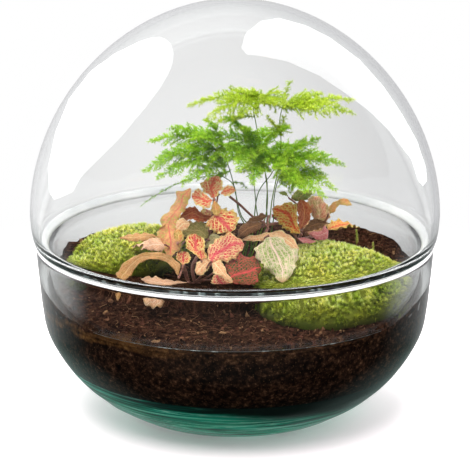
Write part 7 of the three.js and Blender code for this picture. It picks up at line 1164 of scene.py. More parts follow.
STEMS = {
    "nerve_stems_left": [
        {"p": [[-31.0, -37.0, 95.5], [-33.5, -44.0, 104.2], [-36.6, -47.0, 117.2], [-41.0, -38.0, 124.2], [-43.3, -32.0, 130.7]], "r": 1.5},
        {"p": [[-26.0, -33.0, 95.5], [-28.9, -40.0, 103.0], [-30.3, -36.0, 114.6], [-22.6, -21.0, 126.0], [-17.4, -21.0, 140.4], [-15.5, -25.0, 152.0]], "r": 1.5},
        {"p": [[-31.0, -37.0, 95.5], [-30.0, -36.0, 98.5], [-27.0, -34.0, 98.5], [-26.0, -33.0, 95.5]], "r": 1.5},
        {"p": [[-43.3, -32.0, 130.7], [-44.5, -35.2, 131.3], [-45.8, -38.7, 130.4], [-45.7, -38.4, 131.8]], "r": 0.8},
        {"p": [[-41.0, -38.0, 124.2], [-44.0, -42.6, 124.5], [-47.3, -52.1, 123.6], [-46.9, -51.3, 124.8]], "r": 0.8},
        {"p": [[-36.6, -47.0, 117.2], [-36.8, -52.7, 119.2], [-37.2, -59.5, 120.2], [-37.0, -58.3, 121.2]], "r": 1.0},
        {"p": [[-36.6, -47.0, 117.2], [-38.1, -61.0, 117.8], [-39.4, -73.9, 117.3], [-39.7, -73.1, 118.5]], "r": 0.8},
        {"p": [[-41.0, -38.0, 124.2], [-45.5, -43.9, 129.9], [-49.2, -52.5, 135.4], [-49.9, -53.8, 135.6]], "r": 0.8},
        {"p": [[-43.3, -32.0, 130.7], [-49.1, -34.5, 134.0], [-53.4, -38.8, 137.2], [-54.9, -39.1, 137.4]], "r": 0.8},
        {"p": [[-43.3, -32.0, 130.7], [-41.8, -42.8, 134.2], [-40.6, -54.3, 136.5], [-40.3, -53.6, 137.8]], "r": 0.8},
        {"p": [[-43.3, -32.0, 130.7], [-42.3, -39.2, 136.6], [-41.6, -44.7, 141.1], [-41.2, -44.4, 142.6]], "r": 0.8},
        {"p": [[-33.5, -44.0, 104.2], [-33.4, -59.7, 107.4], [-32.0, -68.6, 110.6], [-33.3, -69.3, 110.5]], "r": 0.8},
        {"p": [[-30.3, -36.0, 114.6], [-27.1, -44.6, 119.6], [-23.8, -56.3, 123.7], [-23.8, -55.1, 124.7]], "r": 0.8},
        {"p": [[-30.3, -36.0, 114.6], [-23.2, -45.7, 118.8], [-14.8, -54.8, 122.8], [-16.1, -55.5, 123.1]], "r": 0.8},
        {"p": [[-28.9, -40.0, 103.0], [-22.6, -54.4, 114.5], [-17.3, -65.6, 126.3], [-16.3, -66.7, 126.1]], "r": 0.8},
        {"p": [[-30.3, -36.0, 114.6], [-23.8, -45.1, 118.7], [-17.6, -58.7, 121.5], [-17.2, -58.3, 122.9]], "r": 0.8},
        {"p": [[-22.6, -21.0, 126.0], [-21.0, -24.7, 129.7], [-18.8, -31.2, 132.5], [-19.5, -30.3, 133.4]], "r": 0.8},
        {"p": [[-17.4, -21.0, 140.4], [-15.7, -25.8, 146.0], [-14.2, -29.3, 151.1], [-14.1, -30.7, 151.6]], "r": 0.8},
        {"p": [[-17.4, -21.0, 140.4], [-17.1, -19.6, 144.3], [-15.5, -21.9, 148.6], [-16.9, -22.2, 148.2]], "r": 0.8},
        {"p": [[-15.5, -25.0, 152.0], [-15.2, -28.4, 160.4], [-15.1, -30.9, 163.9], [-14.9, -31.8, 162.7]], "r": 0.8},
        {"p": [[-15.5, -25.0, 152.0], [-15.6, -25.0, 156.8], [-14.4, -26.3, 161.8], [-15.7, -27.0, 161.6]], "r": 0.8},
        {"p": [[-15.5, -25.0, 152.0], [-15.5, -19.2, 156.0], [-15.5, -20.6, 159.2], [-15.6, -19.4, 160.1]], "r": 0.8},
        {"p": [[-15.5, -25.0, 152.0], [-13.2, -15.9, 157.2], [-12.3, -14.8, 161.7], [-10.9, -14.8, 162.4]], "r": 0.8},
        {"p": [[-28.9, -40.0, 103.0], [-20.9, -53.6, 110.7], [-13.0, -61.9, 119.3], [-12.8, -63.2, 118.5]], "r": 0.8},
        {"p": [[-28.9, -40.0, 103.0], [-16.4, -48.1, 107.8], [-4.1, -61.0, 111.6], [-4.0, -62.2, 112.6]], "r": 0.8},
        {"p": [[-41.0, -38.0, 124.2], [-38.4, -18.3, 125.9], [-35.1, -9.6, 126.8], [-35.7, -8.5, 127.6]], "r": 0.8},
        {"p": [[-30.3, -36.0, 114.6], [-26.3, -14.3, 116.1], [-22.9, -3.8, 117.1], [-22.3, -2.6, 117.7]], "r": 0.8},
        {"p": [[-22.6, -21.0, 126.0], [-18.3, -12.8, 132.8], [-13.8, -11.9, 139.0], [-13.9, -10.6, 139.7]], "r": 0.8},
        {"p": [[-41.0, -38.0, 124.2], [-45.2, -24.1, 123.0], [-48.1, -20.7, 121.2], [-49.4, -20.2, 121.7]], "r": 0.8},
    ],
    "nerve_stems_centre": [
        {"p": [[20.0, -14.0, 96.5], [15.3, -22.0, 113.4], [19.7, -18.0, 128.9], [24.2, -10.0, 135.7]], "r": 1.4},
        {"p": [[19.7, -18.0, 128.9], [21.9, -26.5, 133.3], [23.8, -37.7, 138.0], [24.2, -39.1, 137.6]], "r": 0.8},
        {"p": [[19.7, -18.0, 128.9], [12.0, -16.0, 129.4], [3.0, -21.9, 129.5], [4.4, -22.1, 129.9]], "r": 0.8},
        {"p": [[24.2, -10.0, 135.7], [22.1, -11.8, 138.5], [21.1, -12.5, 141.6], [20.1, -13.5, 141.2]], "r": 0.8},
        {"p": [[24.2, -10.0, 135.7], [24.0, -7.2, 141.5], [25.3, -3.9, 143.1], [23.8, -4.4, 143.2]], "r": 0.8},
        {"p": [[-4.0, -6.0, 158.5], [3.7, -3.0, 151.3], [12.5, -2.0, 142.6], [19.8, -4.0, 138.6], [24.2, -10.0, 135.7]], "r": 1.0},
    ],
    "nerve_stems_right": [
        {"p": [[50.0, 17.0, 99.0], [48.4, 13.0, 117.6], [49.1, 13.0, 126.1], [50.7, 20.0, 139.7]], "r": 1.4},
        {"p": [[49.1, 13.0, 126.1], [48.7, 4.7, 127.8], [49.4, -4.1, 128.5], [48.3, -3.6, 129.5]], "r": 0.8},
        {"p": [[49.1, 13.0, 126.1], [48.7, 9.8, 128.5], [47.8, 1.5, 130.0], [48.2, 2.6, 130.9]], "r": 0.8},
        {"p": [[50.7, 20.0, 139.7], [45.3, 20.6, 146.2], [40.8, 20.4, 149.7], [39.9, 21.1, 150.7]], "r": 0.8},
        {"p": [[50.7, 20.0, 139.7], [49.8, 20.6, 143.3], [49.8, 21.9, 146.1], [48.9, 21.2, 147.0]], "r": 0.8},
        {"p": [[49.1, 13.0, 126.1], [54.7, 18.6, 128.6], [59.6, 17.9, 129.8], [60.4, 18.1, 131.1]], "r": 0.8},
        {"p": [[49.1, 13.0, 126.1], [49.6, 8.4, 127.8], [48.9, 3.3, 129.0], [50.1, 3.9, 129.5]], "r": 0.8},
        {"p": [[48.4, 13.0, 117.6], [51.2, 8.5, 123.0], [52.6, 2.7, 128.5], [54.0, 2.1, 128.3]], "r": 0.8},
        {"p": [[48.4, 13.0, 117.6], [47.3, 4.5, 121.9], [44.8, -3.2, 126.4], [46.1, -4.0, 126.2]], "r": 0.8},
        {"p": [[49.1, 13.0, 126.1], [60.1, 11.0, 129.8], [67.5, 12.0, 135.7], [69.3, 9.4, 141.3]], "r": 0.9},
        {"p": [[16.9, -4.0, 134.4], [24.3, 0.0, 135.1], [32.9, 8.0, 134.0], [40.9, 11.0, 128.3], [48.4, 13.0, 117.6]], "r": 1.2},
        {"p": [[48.4, 13.0, 117.6], [53.1, 27.2, 117.6], [57.5, 28.1, 117.0], [57.8, 29.4, 117.7]], "r": 0.8},
        {"p": [[48.4, 13.0, 117.6], [58.9, 24.3, 120.7], [68.2, 25.0, 123.3], [69.4, 25.7, 123.8]], "r": 0.8},
        {"p": [[49.1, 13.0, 126.1], [45.7, 21.2, 126.9], [42.9, 24.2, 127.1], [42.3, 25.4, 127.7]], "r": 0.8},
    ],
}
FERN = {
    "fern_stem_top_left": {
        "stem": [[9.0, 15.0, 98.0], [20.8, 14.0, 130.5], [24.1, 13.0, 150.8], [21.4, 12.0, 177.7], [15.0, 9.0, 211.3], [13.8, 7.0, 221.8], [21.1, 8.0, 229.7]],
        "sprays": [
            {"a": [21.1, 8.0, 229.7], "b": [-34.6, 24.0, 219.5], "hw": 11, "rise": 6, "roll": -18},
            {"a": [21.1, 8.0, 229.7], "b": [-20.0, -24.0, 219.1], "hw": 13, "rise": 7, "roll": -22},
            {"a": [21.1, 8.0, 229.7], "b": [26.5, -16.0, 229.7], "hw": 9, "rise": 2, "roll": 0.0},
            {"a": [21.1, 8.0, 229.7], "b": [-5.1, 2.0, 231.0], "hw": 15, "rise": 3, "roll": -24},
            {"a": [21.1, 8.0, 229.7], "b": [36.5, -16.0, 228.3], "hw": 10, "rise": 2, "roll": 16},
            {"a": [19.8, 7.8, 228.4], "b": [3.6, -22.0, 222.3], "hw": 11, "rise": 3, "roll": -20},
            {"a": [14.4, 8.6, 214.4], "b": [-15.4, 16.0, 207.8], "hw": 9, "rise": 4, "roll": -20},
        ],
    },
    "fern_stem_top_right": {
        "stem": [[16.0, 13.0, 98.0], [24.9, 12.0, 131.1], [27.4, 11.0, 151.3], [30.9, 8.0, 171.2], [33.6, 5.0, 194.6], [32.6, 4.0, 212.4], [34.2, 4.0, 222.4]],
        "sprays": [
            {"a": [34.2, 4.0, 222.4], "b": [87.4, 34.0, 222.6], "hw": 12, "rise": 4, "roll": 14},
            {"a": [34.2, 4.0, 222.4], "b": [83.7, -20.0, 223.3], "hw": 13, "rise": 5, "roll": 22},
            {"a": [34.2, 4.0, 222.4], "b": [39.7, 12.0, 240.7], "hw": 4, "rise": 0, "roll": 0.0},
            {"a": [33.5, 4.5, 201.2], "b": [23.8, -6.0, 218.0], "hw": 6, "rise": 1, "roll": 0.0},
            {"a": [33.5, 4.5, 201.2], "b": [35.8, 8.0, 214.8], "hw": 6, "rise": 1, "roll": 0.0},
            {"a": [34.2, 4.0, 222.4], "b": [63.3, 8.0, 231.9], "hw": 12, "rise": 3, "roll": 22},
            {"a": [34.2, 4.0, 222.4], "b": [58.2, -12.0, 224.5], "hw": 12, "rise": 2, "roll": 26},
            {"a": [34.2, 4.0, 222.4], "b": [19.4, -8.0, 228.0], "hw": 9, "rise": 2, "roll": -18},
        ],
    },
    "fern_stem_mid_left": {
        "stem": [[5.0, 10.0, 98.0], [11.1, 8.0, 127.6], [4.4, 6.0, 141.2], [0.7, 5.0, 156.7], [-2.2, 3.0, 170.2], [-6.6, 1.0, 185.8], [-9.5, 1.0, 197.8]],
        "sprays": [
            {"a": [-9.2, 1.0, 196.8], "b": [-63.0, 26.0, 192.6], "hw": 14, "rise": 6, "roll": -22},
            {"a": [-8.1, 0.9, 192.0], "b": [-66.3, -4.0, 177.2], "hw": 15, "rise": 8, "roll": -24},
            {"a": [-6.6, 1.0, 185.8], "b": [-56.0, -28.0, 178.1], "hw": 12, "rise": 6, "roll": -20},
            {"a": [-9.5, 1.0, 197.8], "b": [-20.9, -12.0, 217.1], "hw": 8, "rise": 3, "roll": 0.0},
            {"a": [-9.0, 1.0, 195.8], "b": [-47.7, 14.0, 205.2], "hw": 13, "rise": 5, "roll": -24},
            {"a": [-7.6, 0.9, 190.0], "b": [-54.2, -14.0, 190.2], "hw": 14, "rise": 6, "roll": -26},
            {"a": [-5.2, 1.5, 180.8], "b": [-37.8, -36.0, 175.8], "hw": 10, "rise": 4, "roll": -18},
            {"a": [-8.3, 0.9, 192.9], "b": [-27.9, -26.0, 208.6], "hw": 13, "rise": 5, "roll": -12},
            {"a": [-3.6, 2.3, 175.3], "b": [-21.5, 14.0, 161.2], "hw": 10, "rise": 3, "roll": -20},
        ],
    },
    "fern_stem_centre": {
        "stem": [[14.0, 20.0, 98.0], [23.2, 20.0, 128.8], [23.5, 20.0, 145.1], [23.7, 18.0, 164.0], [19.2, 13.0, 181.3], [16.2, 11.0, 190.9]],
        "sprays": [
            {"a": [16.2, 11.0, 190.9], "b": [-17.0, 24.0, 198.4], "hw": 14, "rise": 5, "roll": -20},
            {"a": [16.2, 11.0, 190.9], "b": [2.1, -30.0, 183.1], "hw": 12, "rise": 7, "roll": -10},
            {"a": [16.4, 11.2, 190.1], "b": [23.1, 34.0, 200.6], "hw": 12, "rise": 3, "roll": 0.0},
            {"a": [16.6, 11.3, 189.3], "b": [-6.5, 4.0, 215.0], "hw": 13, "rise": 5, "roll": -18},
            {"a": [17.1, 11.6, 188.0], "b": [38.3, -8.0, 210.3], "hw": 13, "rise": 5, "roll": 16},
            {"a": [17.8, 12.0, 185.8], "b": [-16.6, -18.0, 190.4], "hw": 13, "rise": 5, "roll": -24},
            {"a": [19.2, 13.0, 181.3], "b": [12.1, -36.0, 175.8], "hw": 10, "rise": 4, "roll": -8},
            {"a": [18.3, 12.3, 184.2], "b": [36.6, -26.0, 182.1], "hw": 12, "rise": 5, "roll": 18},
            {"a": [16.4, 11.2, 190.1], "b": [7.9, -20.0, 213.1], "hw": 12, "rise": 4, "roll": -10},
        ],
    },
    "fern_stem_mid_right": {
        "stem": [[10.0, 9.0, 98.0], [13.7, 8.0, 132.2], [15.8, 8.0, 152.1], [19.1, 7.0, 161.9], [25.7, 6.0, 170.9], [30.1, 6.0, 178.5]],
        "sprays": [
            {"a": [29.7, 6.0, 177.9], "b": [62.1, 24.0, 195.3], "hw": 12, "rise": 4, "roll": 16},
            {"a": [30.1, 6.0, 178.5], "b": [78.8, -2.0, 182.0], "hw": 13, "rise": 6, "roll": 22},
            {"a": [29.4, 6.0, 177.2], "b": [19.5, -14.0, 195.4], "hw": 9, "rise": 4, "roll": -6},
            {"a": [30.1, 6.0, 178.5], "b": [51.5, -6.0, 197.9], "hw": 13, "rise": 4, "roll": 18},
            {"a": [30.1, 6.0, 178.5], "b": [66.9, -20.0, 192.4], "hw": 13, "rise": 5, "roll": 24},
            {"a": [29.4, 6.0, 177.2], "b": [45.1, -32.0, 174.7], "hw": 11, "rise": 4, "roll": 18},
            {"a": [27.3, 5.9, 173.5], "b": [3.7, 16.0, 172.9], "hw": 11, "rise": 4, "roll": -22},
            {"a": [30.1, 6.0, 178.5], "b": [36.0, 14.0, 193.2], "hw": 11, "rise": 3, "roll": 8},
        ],
    },
    "fern_stem_low_right": {
        "stem": [[20.0, 20.0, 98.0], [28.0, 18.0, 129.4], [29.0, 17.0, 150.5], [31.0, 13.0, 163.0], [33.1, 9.0, 170.2]],
        "sprays": [
            {"a": [33.1, 9.0, 170.2], "b": [72.4, -18.0, 167.3], "hw": 12, "rise": 6, "roll": 22},
            {"a": [33.1, 9.0, 170.2], "b": [63.9, -30.0, 164.6], "hw": 10, "rise": 5, "roll": 20},
            {"a": [33.1, 9.0, 170.2], "b": [49.8, 22.0, 160.7], "hw": 8, "rise": 3, "roll": 14},
            {"a": [33.1, 9.0, 170.2], "b": [66.5, -2.0, 173.0], "hw": 12, "rise": 4, "roll": 24},
            {"a": [33.1, 9.0, 170.2], "b": [50.8, -36.0, 169.9], "hw": 9, "rise": 3, "roll": 16},
        ],
    },
    "fern_stem_drooping": {
        "stem": [[2.0, 14.0, 98.0], [9.7, 12.0, 123.3], [2.6, 12.0, 141.8], [-0.7, 13.0, 161.5], [-9.6, 14.0, 168.9]],
        "sprays": [
            {"a": [-9.6, 14.0, 168.9], "b": [-68.7, 8.0, 148.3], "hw": 4, "rise": 9, "roll": 0.0},
            {"a": [-1.9, 13.2, 163.4], "b": [8.0, -4.0, 164.4], "hw": 4, "rise": 3, "roll": 0.0},
            {"a": [-6.4, 13.7, 166.9], "b": [-29.1, 30.0, 167.9], "hw": 9, "rise": 3, "roll": -20},
        ],
    },
    "fern_stem_back": {
        "stem": [[7.0, 20.0, 98.0], [17.2, 21.0, 123.9], [15.7, 24.0, 144.0], [14.2, 30.0, 161.7], [14.2, 36.0, 175.6]],
        "sprays": [
            {"a": [14.2, 36.0, 175.6], "b": [-5.4, 74.0, 178.8], "hw": 16, "rise": 5, "roll": 0.0},
            {"a": [14.2, 36.0, 175.6], "b": [43.6, 72.0, 177.7], "hw": 16, "rise": 5, "roll": 0.0},
            {"a": [14.2, 35.5, 174.5], "b": [11.4, 58.0, 179.5], "hw": 8, "rise": 3, "roll": 0.0},
            {"a": [14.2, 35.5, 174.5], "b": [-20.4, 52.0, 170.1], "hw": 13, "rise": 4, "roll": -14},
            {"a": [14.2, 35.5, 174.5], "b": [52.1, 48.0, 168.0], "hw": 13, "rise": 4, "roll": 14},
        ],
    },
}


def leaf_material(name, cell, edge, vein, net=0.55, width=0.10, count=8.0, slant=0.42, spots=None, tip=None, rough=0.42, rib=None):
    """A veined blade: side veins run forward from the midrib, with a fine net between."""
    m, nt, out = new_material(name)
    at = attribute(nt, "leaf")
    sep = nt.nodes.new("ShaderNodeSeparateXYZ")
    nt.links.new(at.outputs["Vector"], sep.inputs[0])
    u, v, ph = sep.outputs
    co = object_coords(nt)
    wob = noise_node(nt, co, 160.0, 2.0, 0.5)
    av = math_node(nt, "ABSOLUTE", v)
    wobble = math_node(nt, "MULTIPLY", math_node(nt, "SUBTRACT", wob.outputs[0], 0.5), 0.16)
    w = math_node(nt, "SUBTRACT", u, math_node(nt, "MULTIPLY", av, slant))
    w = math_node(nt, "ADD", w, wobble)
    w = math_node(nt, "ADD", math_node(nt, "MULTIPLY", w, count), math_node(nt, "MULTIPLY", math_node(nt, "SIGN", v), 0.22))
    w = math_node(nt, "ADD", w, math_node(nt, "ADD", ph, 10.0))
    fr = math_node(nt, "FRACT", w)
    dist = math_node(nt, "ABSOLUTE", math_node(nt, "SUBTRACT", fr, 0.5))
    mr = nt.nodes.new("ShaderNodeMapRange")
    mr.interpolation_type = "SMOOTHSTEP"
    mr.inputs["From Min"].default_value = width
    mr.inputs["From Max"].default_value = width * 0.25
    nt.links.new(dist, mr.inputs["Value"])
    mid = nt.nodes.new("ShaderNodeMapRange")
    mid.interpolation_type = "SMOOTHSTEP"
    mid.inputs["From Min"].default_value = 0.10 if slant < 2 else 0.07
    mid.inputs["From Max"].default_value = 0.03
    nt.links.new(av, mid.inputs["Value"])
    vo = nt.nodes.new("ShaderNodeTexVoronoi")
    vo.feature = "DISTANCE_TO_EDGE"
    vo.inputs["Scale"].default_value = 460.0
    nt.links.new(co, vo.inputs["Vector"])
    nm = nt.nodes.new("ShaderNodeMapRange")
    nm.interpolation_type = "SMOOTHSTEP"
    nm.inputs["From Min"].default_value = 0.12
    nm.inputs["From Max"].default_value = 0.02
    nm.inputs["To Max"].default_value = min(1.0, net * 0.8)
    nt.links.new(vo.outputs["Distance"], nm.inputs["Value"])
    veins = math_node(nt, "MAXIMUM", math_node(nt, "MAXIMUM", mr.outputs[0], mid.outputs[0]) if rib is None else mr.outputs[0], nm.outputs[0], clamp=True)
    tone = noise_node(nt, co, 95.0, 3.0, 0.6)
    em = nt.nodes.new("ShaderNodeMapRange")
    em.interpolation_type = "SMOOTHSTEP"
    em.inputs["From Min"].default_value = 0.66
    em.inputs["From Max"].default_value = 1.04
    nt.links.new(math_node(nt, "ADD", av, math_node(nt, "MULTIPLY", math_node(nt, "SUBTRACT", tone.outputs[0], 0.5), 0.5)), em.inputs["Value"])
    body = mix_rgb(nt, em.outputs[0], cell, edge)
    if spots is not None:
        sn = noise_node(nt, co, 230.0, 2.0, 0.5)
        sm = nt.nodes.new("ShaderNodeMapRange")
        sm.interpolation_type = "SMOOTHSTEP"
        sm.inputs["From Min"].default_value = 0.48
        sm.inputs["From Max"].default_value = 0.62
        nt.links.new(sn.outputs[0], sm.inputs["Value"])
        body = mix_rgb(nt, math_node(nt, "MULTIPLY", sm.outputs[0], 0.8), body, spots)
    col = mix_rgb(nt, veins, body, vein)
    if rib is not None:
        rm = nt.nodes.new("ShaderNodeMapRange")
        rm.interpolation_type = "SMOOTHSTEP"
        rm.inputs["From Min"].default_value = 0.26
        rm.inputs["From Max"].default_value = 0.04
        rm.inputs["To Max"].default_value = 0.85
        nt.links.new(av, rm.inputs["Value"])
        col = mix_rgb(nt, rm.outputs[0], col, rib)
    if tip is not None:
        tm = nt.nodes.new("ShaderNodeMapRange")
        tm.interpolation_type = "SMOOTHSTEP"
        tm.inputs["From Min"].default_value = 0.78
        tm.inputs["From Max"].default_value = 0.95
        nt.links.new(u, tm.inputs["Value"])
        col = mix_rgb(nt, tm.outputs[0], col, tip)
    shade = ramp(nt, tone.outputs[0], [(0.3, (0.72, 0.72, 0.72)), (0.72, (1.10, 1.10, 1.10))])
    col = mix_rgb(nt, 1.0, col, shade, "MULTIPLY")
    p = principled(nt, Roughness=rough)
    p.inputs["Specular IOR Level"].default_value = 0.45
    nt.links.new(col, p.inputs["Base Color"])
    nt.links.new(bump(nt, math_node(nt, "SUBTRACT", 1.0, veins), 0.55, 0.0004), p.inputs["Normal"])
    nt.links.new(p.outputs[0], out.inputs["Surface"])
    return m


C = srgb
LOOK = {
    "coral": leaf_material("leaf_coral", C("da4434"), C("e0bc60"), C("ffec9c"), net=1.0, width=0.15, rib=C("e24456")),
    # a lighter copy of coral for the topmost leaves: painted light
    "coral_light": leaf_material("leaf_coral_painted_light", C("f25a46"), C("f6d87a"), C("fff6b4"), net=1.0, width=0.16, rib=C("f0604e")),
    "pink": leaf_material("leaf_pink", C("de4450"), C("e6b46c"), C("ffe4a4"), net=1.0, width=0.145, count=9.0, rib=C("e84a60")),
    "coral_green": leaf_material("leaf_coral_green", C("de4c38"), C("e2b85c"), C("ffec9c"), net=1.0, width=0.15, rib=C("e85068")),
    "orange": leaf_material("leaf_orange", C("de8648"), C("c8aa4e"), C("f2cc84"), net=0.7, spots=C("c0a04a")),
    "tall": leaf_material("leaf_tall", C("ecb876"), C("d2c868"), C("e87868"), net=0.8, width=0.09, spots=C("bcbc58"), slant=0.9, count=8.0),
    "orange_net": leaf_material("leaf_orange_net", C("e8561e"), C("b8a844"), C("f0dc70"), net=1.0, width=0.13, spots=C("d88a30"), rib=C("e03c1c")),
    "red_green": leaf_material("leaf_red_green", C("34501f"), C("8a4430"), C("d8504e"), net=0.95, width=0.13, count=10.0, slant=0.7),
    "pale": leaf_material("leaf_pale", C("96a856"), C("ccc48c"), C("fad4c4"), net=0.85, width=0.085, count=1.6, slant=2.5, tip=C("cda878"), spots=C("cccc94")),
    "cream": leaf_material("leaf_cream", C("e8a070"), C("e4c684"), C("f8e0ae"), net=0.8),
    "tan": leaf_material("leaf_tan", C("c48850"), C("a8743f"), C("e2b882"), net=0.6, spots=C("b0843c")),
    "tan_light": leaf_material("leaf_tan_light", C("dca07a"), C("c69664"), C("f0d0b0"), net=0.6),
    "brown": leaf_material("leaf_brown", C("6a442a"), C("7c5a36"), C("a87850"), net=0.6),
    "dark_red": leaf_material("leaf_dark_red", C("b8441e"), C("cc7a44"), C("e09858"), net=0.7),
    "olive": leaf_material("leaf_olive", C("8a8844"), C("a49c5c"), C("beaa70"), net=0.7, spots=C("967e48")),
    "peach": leaf_material("leaf_peach", C("e08c6c"), C("d2a86a"), C("f2cca0"), net=0.8, spots=C("b8ac60")),
    "rose": leaf_material("leaf_rose", C("d0686c"), C("b86870"), C("eaaea8"), net=0.7),
    "green": leaf_material("leaf_green", C("6a8a34"), C("8c9a44"), C("b89c58"), net=0.7),
}
LOOK_OF = {
    "top_up": "coral_light", "top_left": "coral_light", "hanging": "orange", "top_small": "coral_light", "round": "coral", "tall": "tall", "left": "tall",
    "cream_small": "cream", "yellow_small": "orange", "red_curled": "dark_red", "olive_back": "olive", "pink_mid": "coral", "pink_large": "pink",
    "red_green": "red_green", "pale": "pale", "pale_back": "cream", "tan_flat": "tan", "tan_mid": "tan_light", "tan_arched": "tan", "tan_low": "tan_light",
    "pink_small": "coral", "red_low": "pink", "cream_low": "cream", "cream_curl": "cream", "brown_centre": "brown", "centre_small": "brown", "right_orange": "orange_net",
    "right_brown": "dark_red", "right_bud": "green", "right_green_top": "green", "right_peach": "peach", "right_yellow_tip": "orange", "right_crumpled": "brown",
    "right_pink_low": "rose", "right_pink_ground": "rose", "back_a": "tan", "back_b": "olive", "back_c": "tan", "back_d": "orange_net", "back_e": "coral_green",
    "back_f": "tan_light", "back_g": "red_green",
}
SLOT_OF = {s["node"]: s["material_slot"] for s in frame["record"]["subparts"]}
QUILT = {"pale": (2.5, 1.6), "tall": (0.9, 7.0), "pink": (0.42, 9.0), "red_green": (0.7, 10.0)}


def leaf(name, lines, seed):
    g = np.random.default_rng(seed)
    span = sum(math.dist(p, q) for p, q in zip(lines[1][:-1], lines[1][1:]))
    nu, nv = (27, 11) if name.startswith("back") else (55, 19) if span > 26 else (41, 15)
    L, Mi, R = (spline(c, nu) for c in lines)
    vv = np.linspace(-1, 1, nv)
    P = Mi[:, None] + (R - L)[:, None] * 0.5 * vv[None, :, None] + ((R + L) * 0.5 - Mi)[:, None] * (vv**2)[None, :, None]
    uu = np.linspace(0, 1, nu)
    du = np.gradient(P, axis=0)
    dv = np.gradient(P, axis=1)
    N = unit(np.cross(du, dv))
    ref = unit(np.cross(Mi[-1] - Mi[0], (R - L)[nu // 2]))
    N = np.where((N * ref).sum(-1, keepdims=True) < 0, -N, N)
    N = unit(N * 0.6 + ref * 0.4)
    facing = np.sign(ref @ np.array([0, -0.6, 0.8])) or 1.0
    half = np.linalg.norm(R - L, axis=1) * 0.5
    size = half.max()
    U, Vv = np.meshgrid(uu, vv, indexing="ij")
    ph = g.random()
    key = LOOK_OF[name]
    slant, count = QUILT.get(key, (0.42, 8.0))
    w = (U - slant * np.abs(Vv)) * count + np.sign(Vv) * 0.22 + ph
    quilt = np.cos((w - np.floor(w) - 0.5) * 2 * math.pi)          # 1 on a vein
    env = (half / max(size, 1e-6))[:, None]
    amp = min(0.34, 0.035 * size) * env
    pucker = -quilt * amp * np.clip(1.2 - np.abs(Vv), 0, 1) - 0.5 * amp * np.exp(-(Vv / 0.12) ** 2) * 2
    ruffle = 0.14 * size * np.abs(Vv) ** 3 * np.sin(U * g.uniform(20, 30) + np.sign(Vv) * 1.3 + g.uniform(0, 6)) * np.sin(np.clip(U, 0, 1) * math.pi) ** 0.5
    lump = 0.03 * size * fractal(np.stack([U * 5, Vv * 2.2, np.full_like(U, seed)], -1), 2, 81) * env
    P = P + N * ((pucker * facing + ruffle + lump))[..., None]
    across = unit(dv)
    nick = fractal(np.stack([U * 11.0 + 3.0 * np.sign(Vv), np.sign(Vv) * 4.0, np.full_like(U, seed * 1.7)], -1), 2, 83)
    teeth = 0.075 * np.sin(U * 2 * math.pi * 8.5 + np.sign(Vv) * 2.1 + seed) * np.abs(Vv) ** 6
    P = P + across * (np.sign(Vv) * (np.abs(Vv) ** 4 * (0.14 * nick + 0.03) + teeth) * size * env)[..., None]
    t = (0.40 * (1 - np.abs(Vv) ** 4) + 0.14) * np.clip(env * 2.2, 0.25, 1)
    A = P + N * (t * 0.5)[..., None]
    B = P - N * (t * 0.5)[..., None]
    n = nu * nv
    verts = np.vstack([A.reshape(-1, 3), B.reshape(-1, 3)])
    idx = np.arange(n).reshape(nu, nv)
    a, b_, c, d = idx[:-1, :-1].ravel(), idx[1:, :-1].ravel(), idx[1:, 1:].ravel(), idx[:-1, 1:].ravel()
    top = np.vstack([np.stack([a, b_, c], 1), np.stack([a, c, d], 1)])
    bottom = top[:, ::-1] + n
    loop = np.concatenate([idx[0, :-1], idx[:-1, -1], idx[-1, :0:-1], idx[:0:-1, 0]])
    nxt = np.roll(loop, -1)
    rim_f = np.vstack([np.stack([loop, nxt, nxt + n], 1), np.stack([loop, nxt + n, loop + n], 1)])
    faces = np.vstack([top, bottom, rim_f])
    if signed_volume(verts, faces) < 0:
        faces = faces[:, ::-1]
    coords = np.stack([U, Vv, np.full_like(U, ph)], -1).reshape(-1, 3)
    coords = np.vstack([coords, coords])
    node = "nerve_leaf_" + name
    return place(add_mesh("leaf_" + name, verts, faces, LOOK[key], attrs={"leaf": coords}), SLOT_OF[node], node)


for k, (node, lines) in enumerate(LEAVES.items()):
    leaf(node[len("nerve_leaf_"):], lines, 100 + k)


def stem_material(name, low, high):
    m, nt, out = new_material(name)
    co = object_coords(nt)
    n = noise_node(nt, co, 320.0, 3.0, 0.6)
    col = ramp(nt, n.outputs[0], [(0.3, low), (0.7, high)])
    p = principled(nt, Roughness=0.45)
    nt.links.new(col, p.inputs["Base Color"])
    nt.links.new(bump(nt, n.outputs[0], 0.3, 0.0003), p.inputs["Normal"])
    nt.links.new(p.outputs[0], out.inputs["Surface"])
    return m


stem_mat = stem_material("nerve_stem", C("6c3c36"), C("b07a66"))
for name, runs in STEMS.items():
    bunch = Bunch()
    for k, run in enumerate(runs):
        n = 7 * (len(run["p"]) - 1) + 1
        pts = spline(run["p"], n)
        t = np.linspace(0, 1, n)
        rad = run["r"] * (1.04 - 0.22 * t)
        if run["r"] > 1.1:
            rad = rad * (1 + 0.16 * np.exp(-((np.mod(t * 3.0 + 0.3, 1.0) - 0.5) / 0.10) ** 2))
        vv, ff = tube(pts, rad * 0.92, 8)
        bunch.add(vv, ff, 0.5)
    v, f, s = bunch.done()
    place(add_mesh(name + "_stalks", v, f, stem_mat, attrs={"shade": s}), "stem_brown", name)

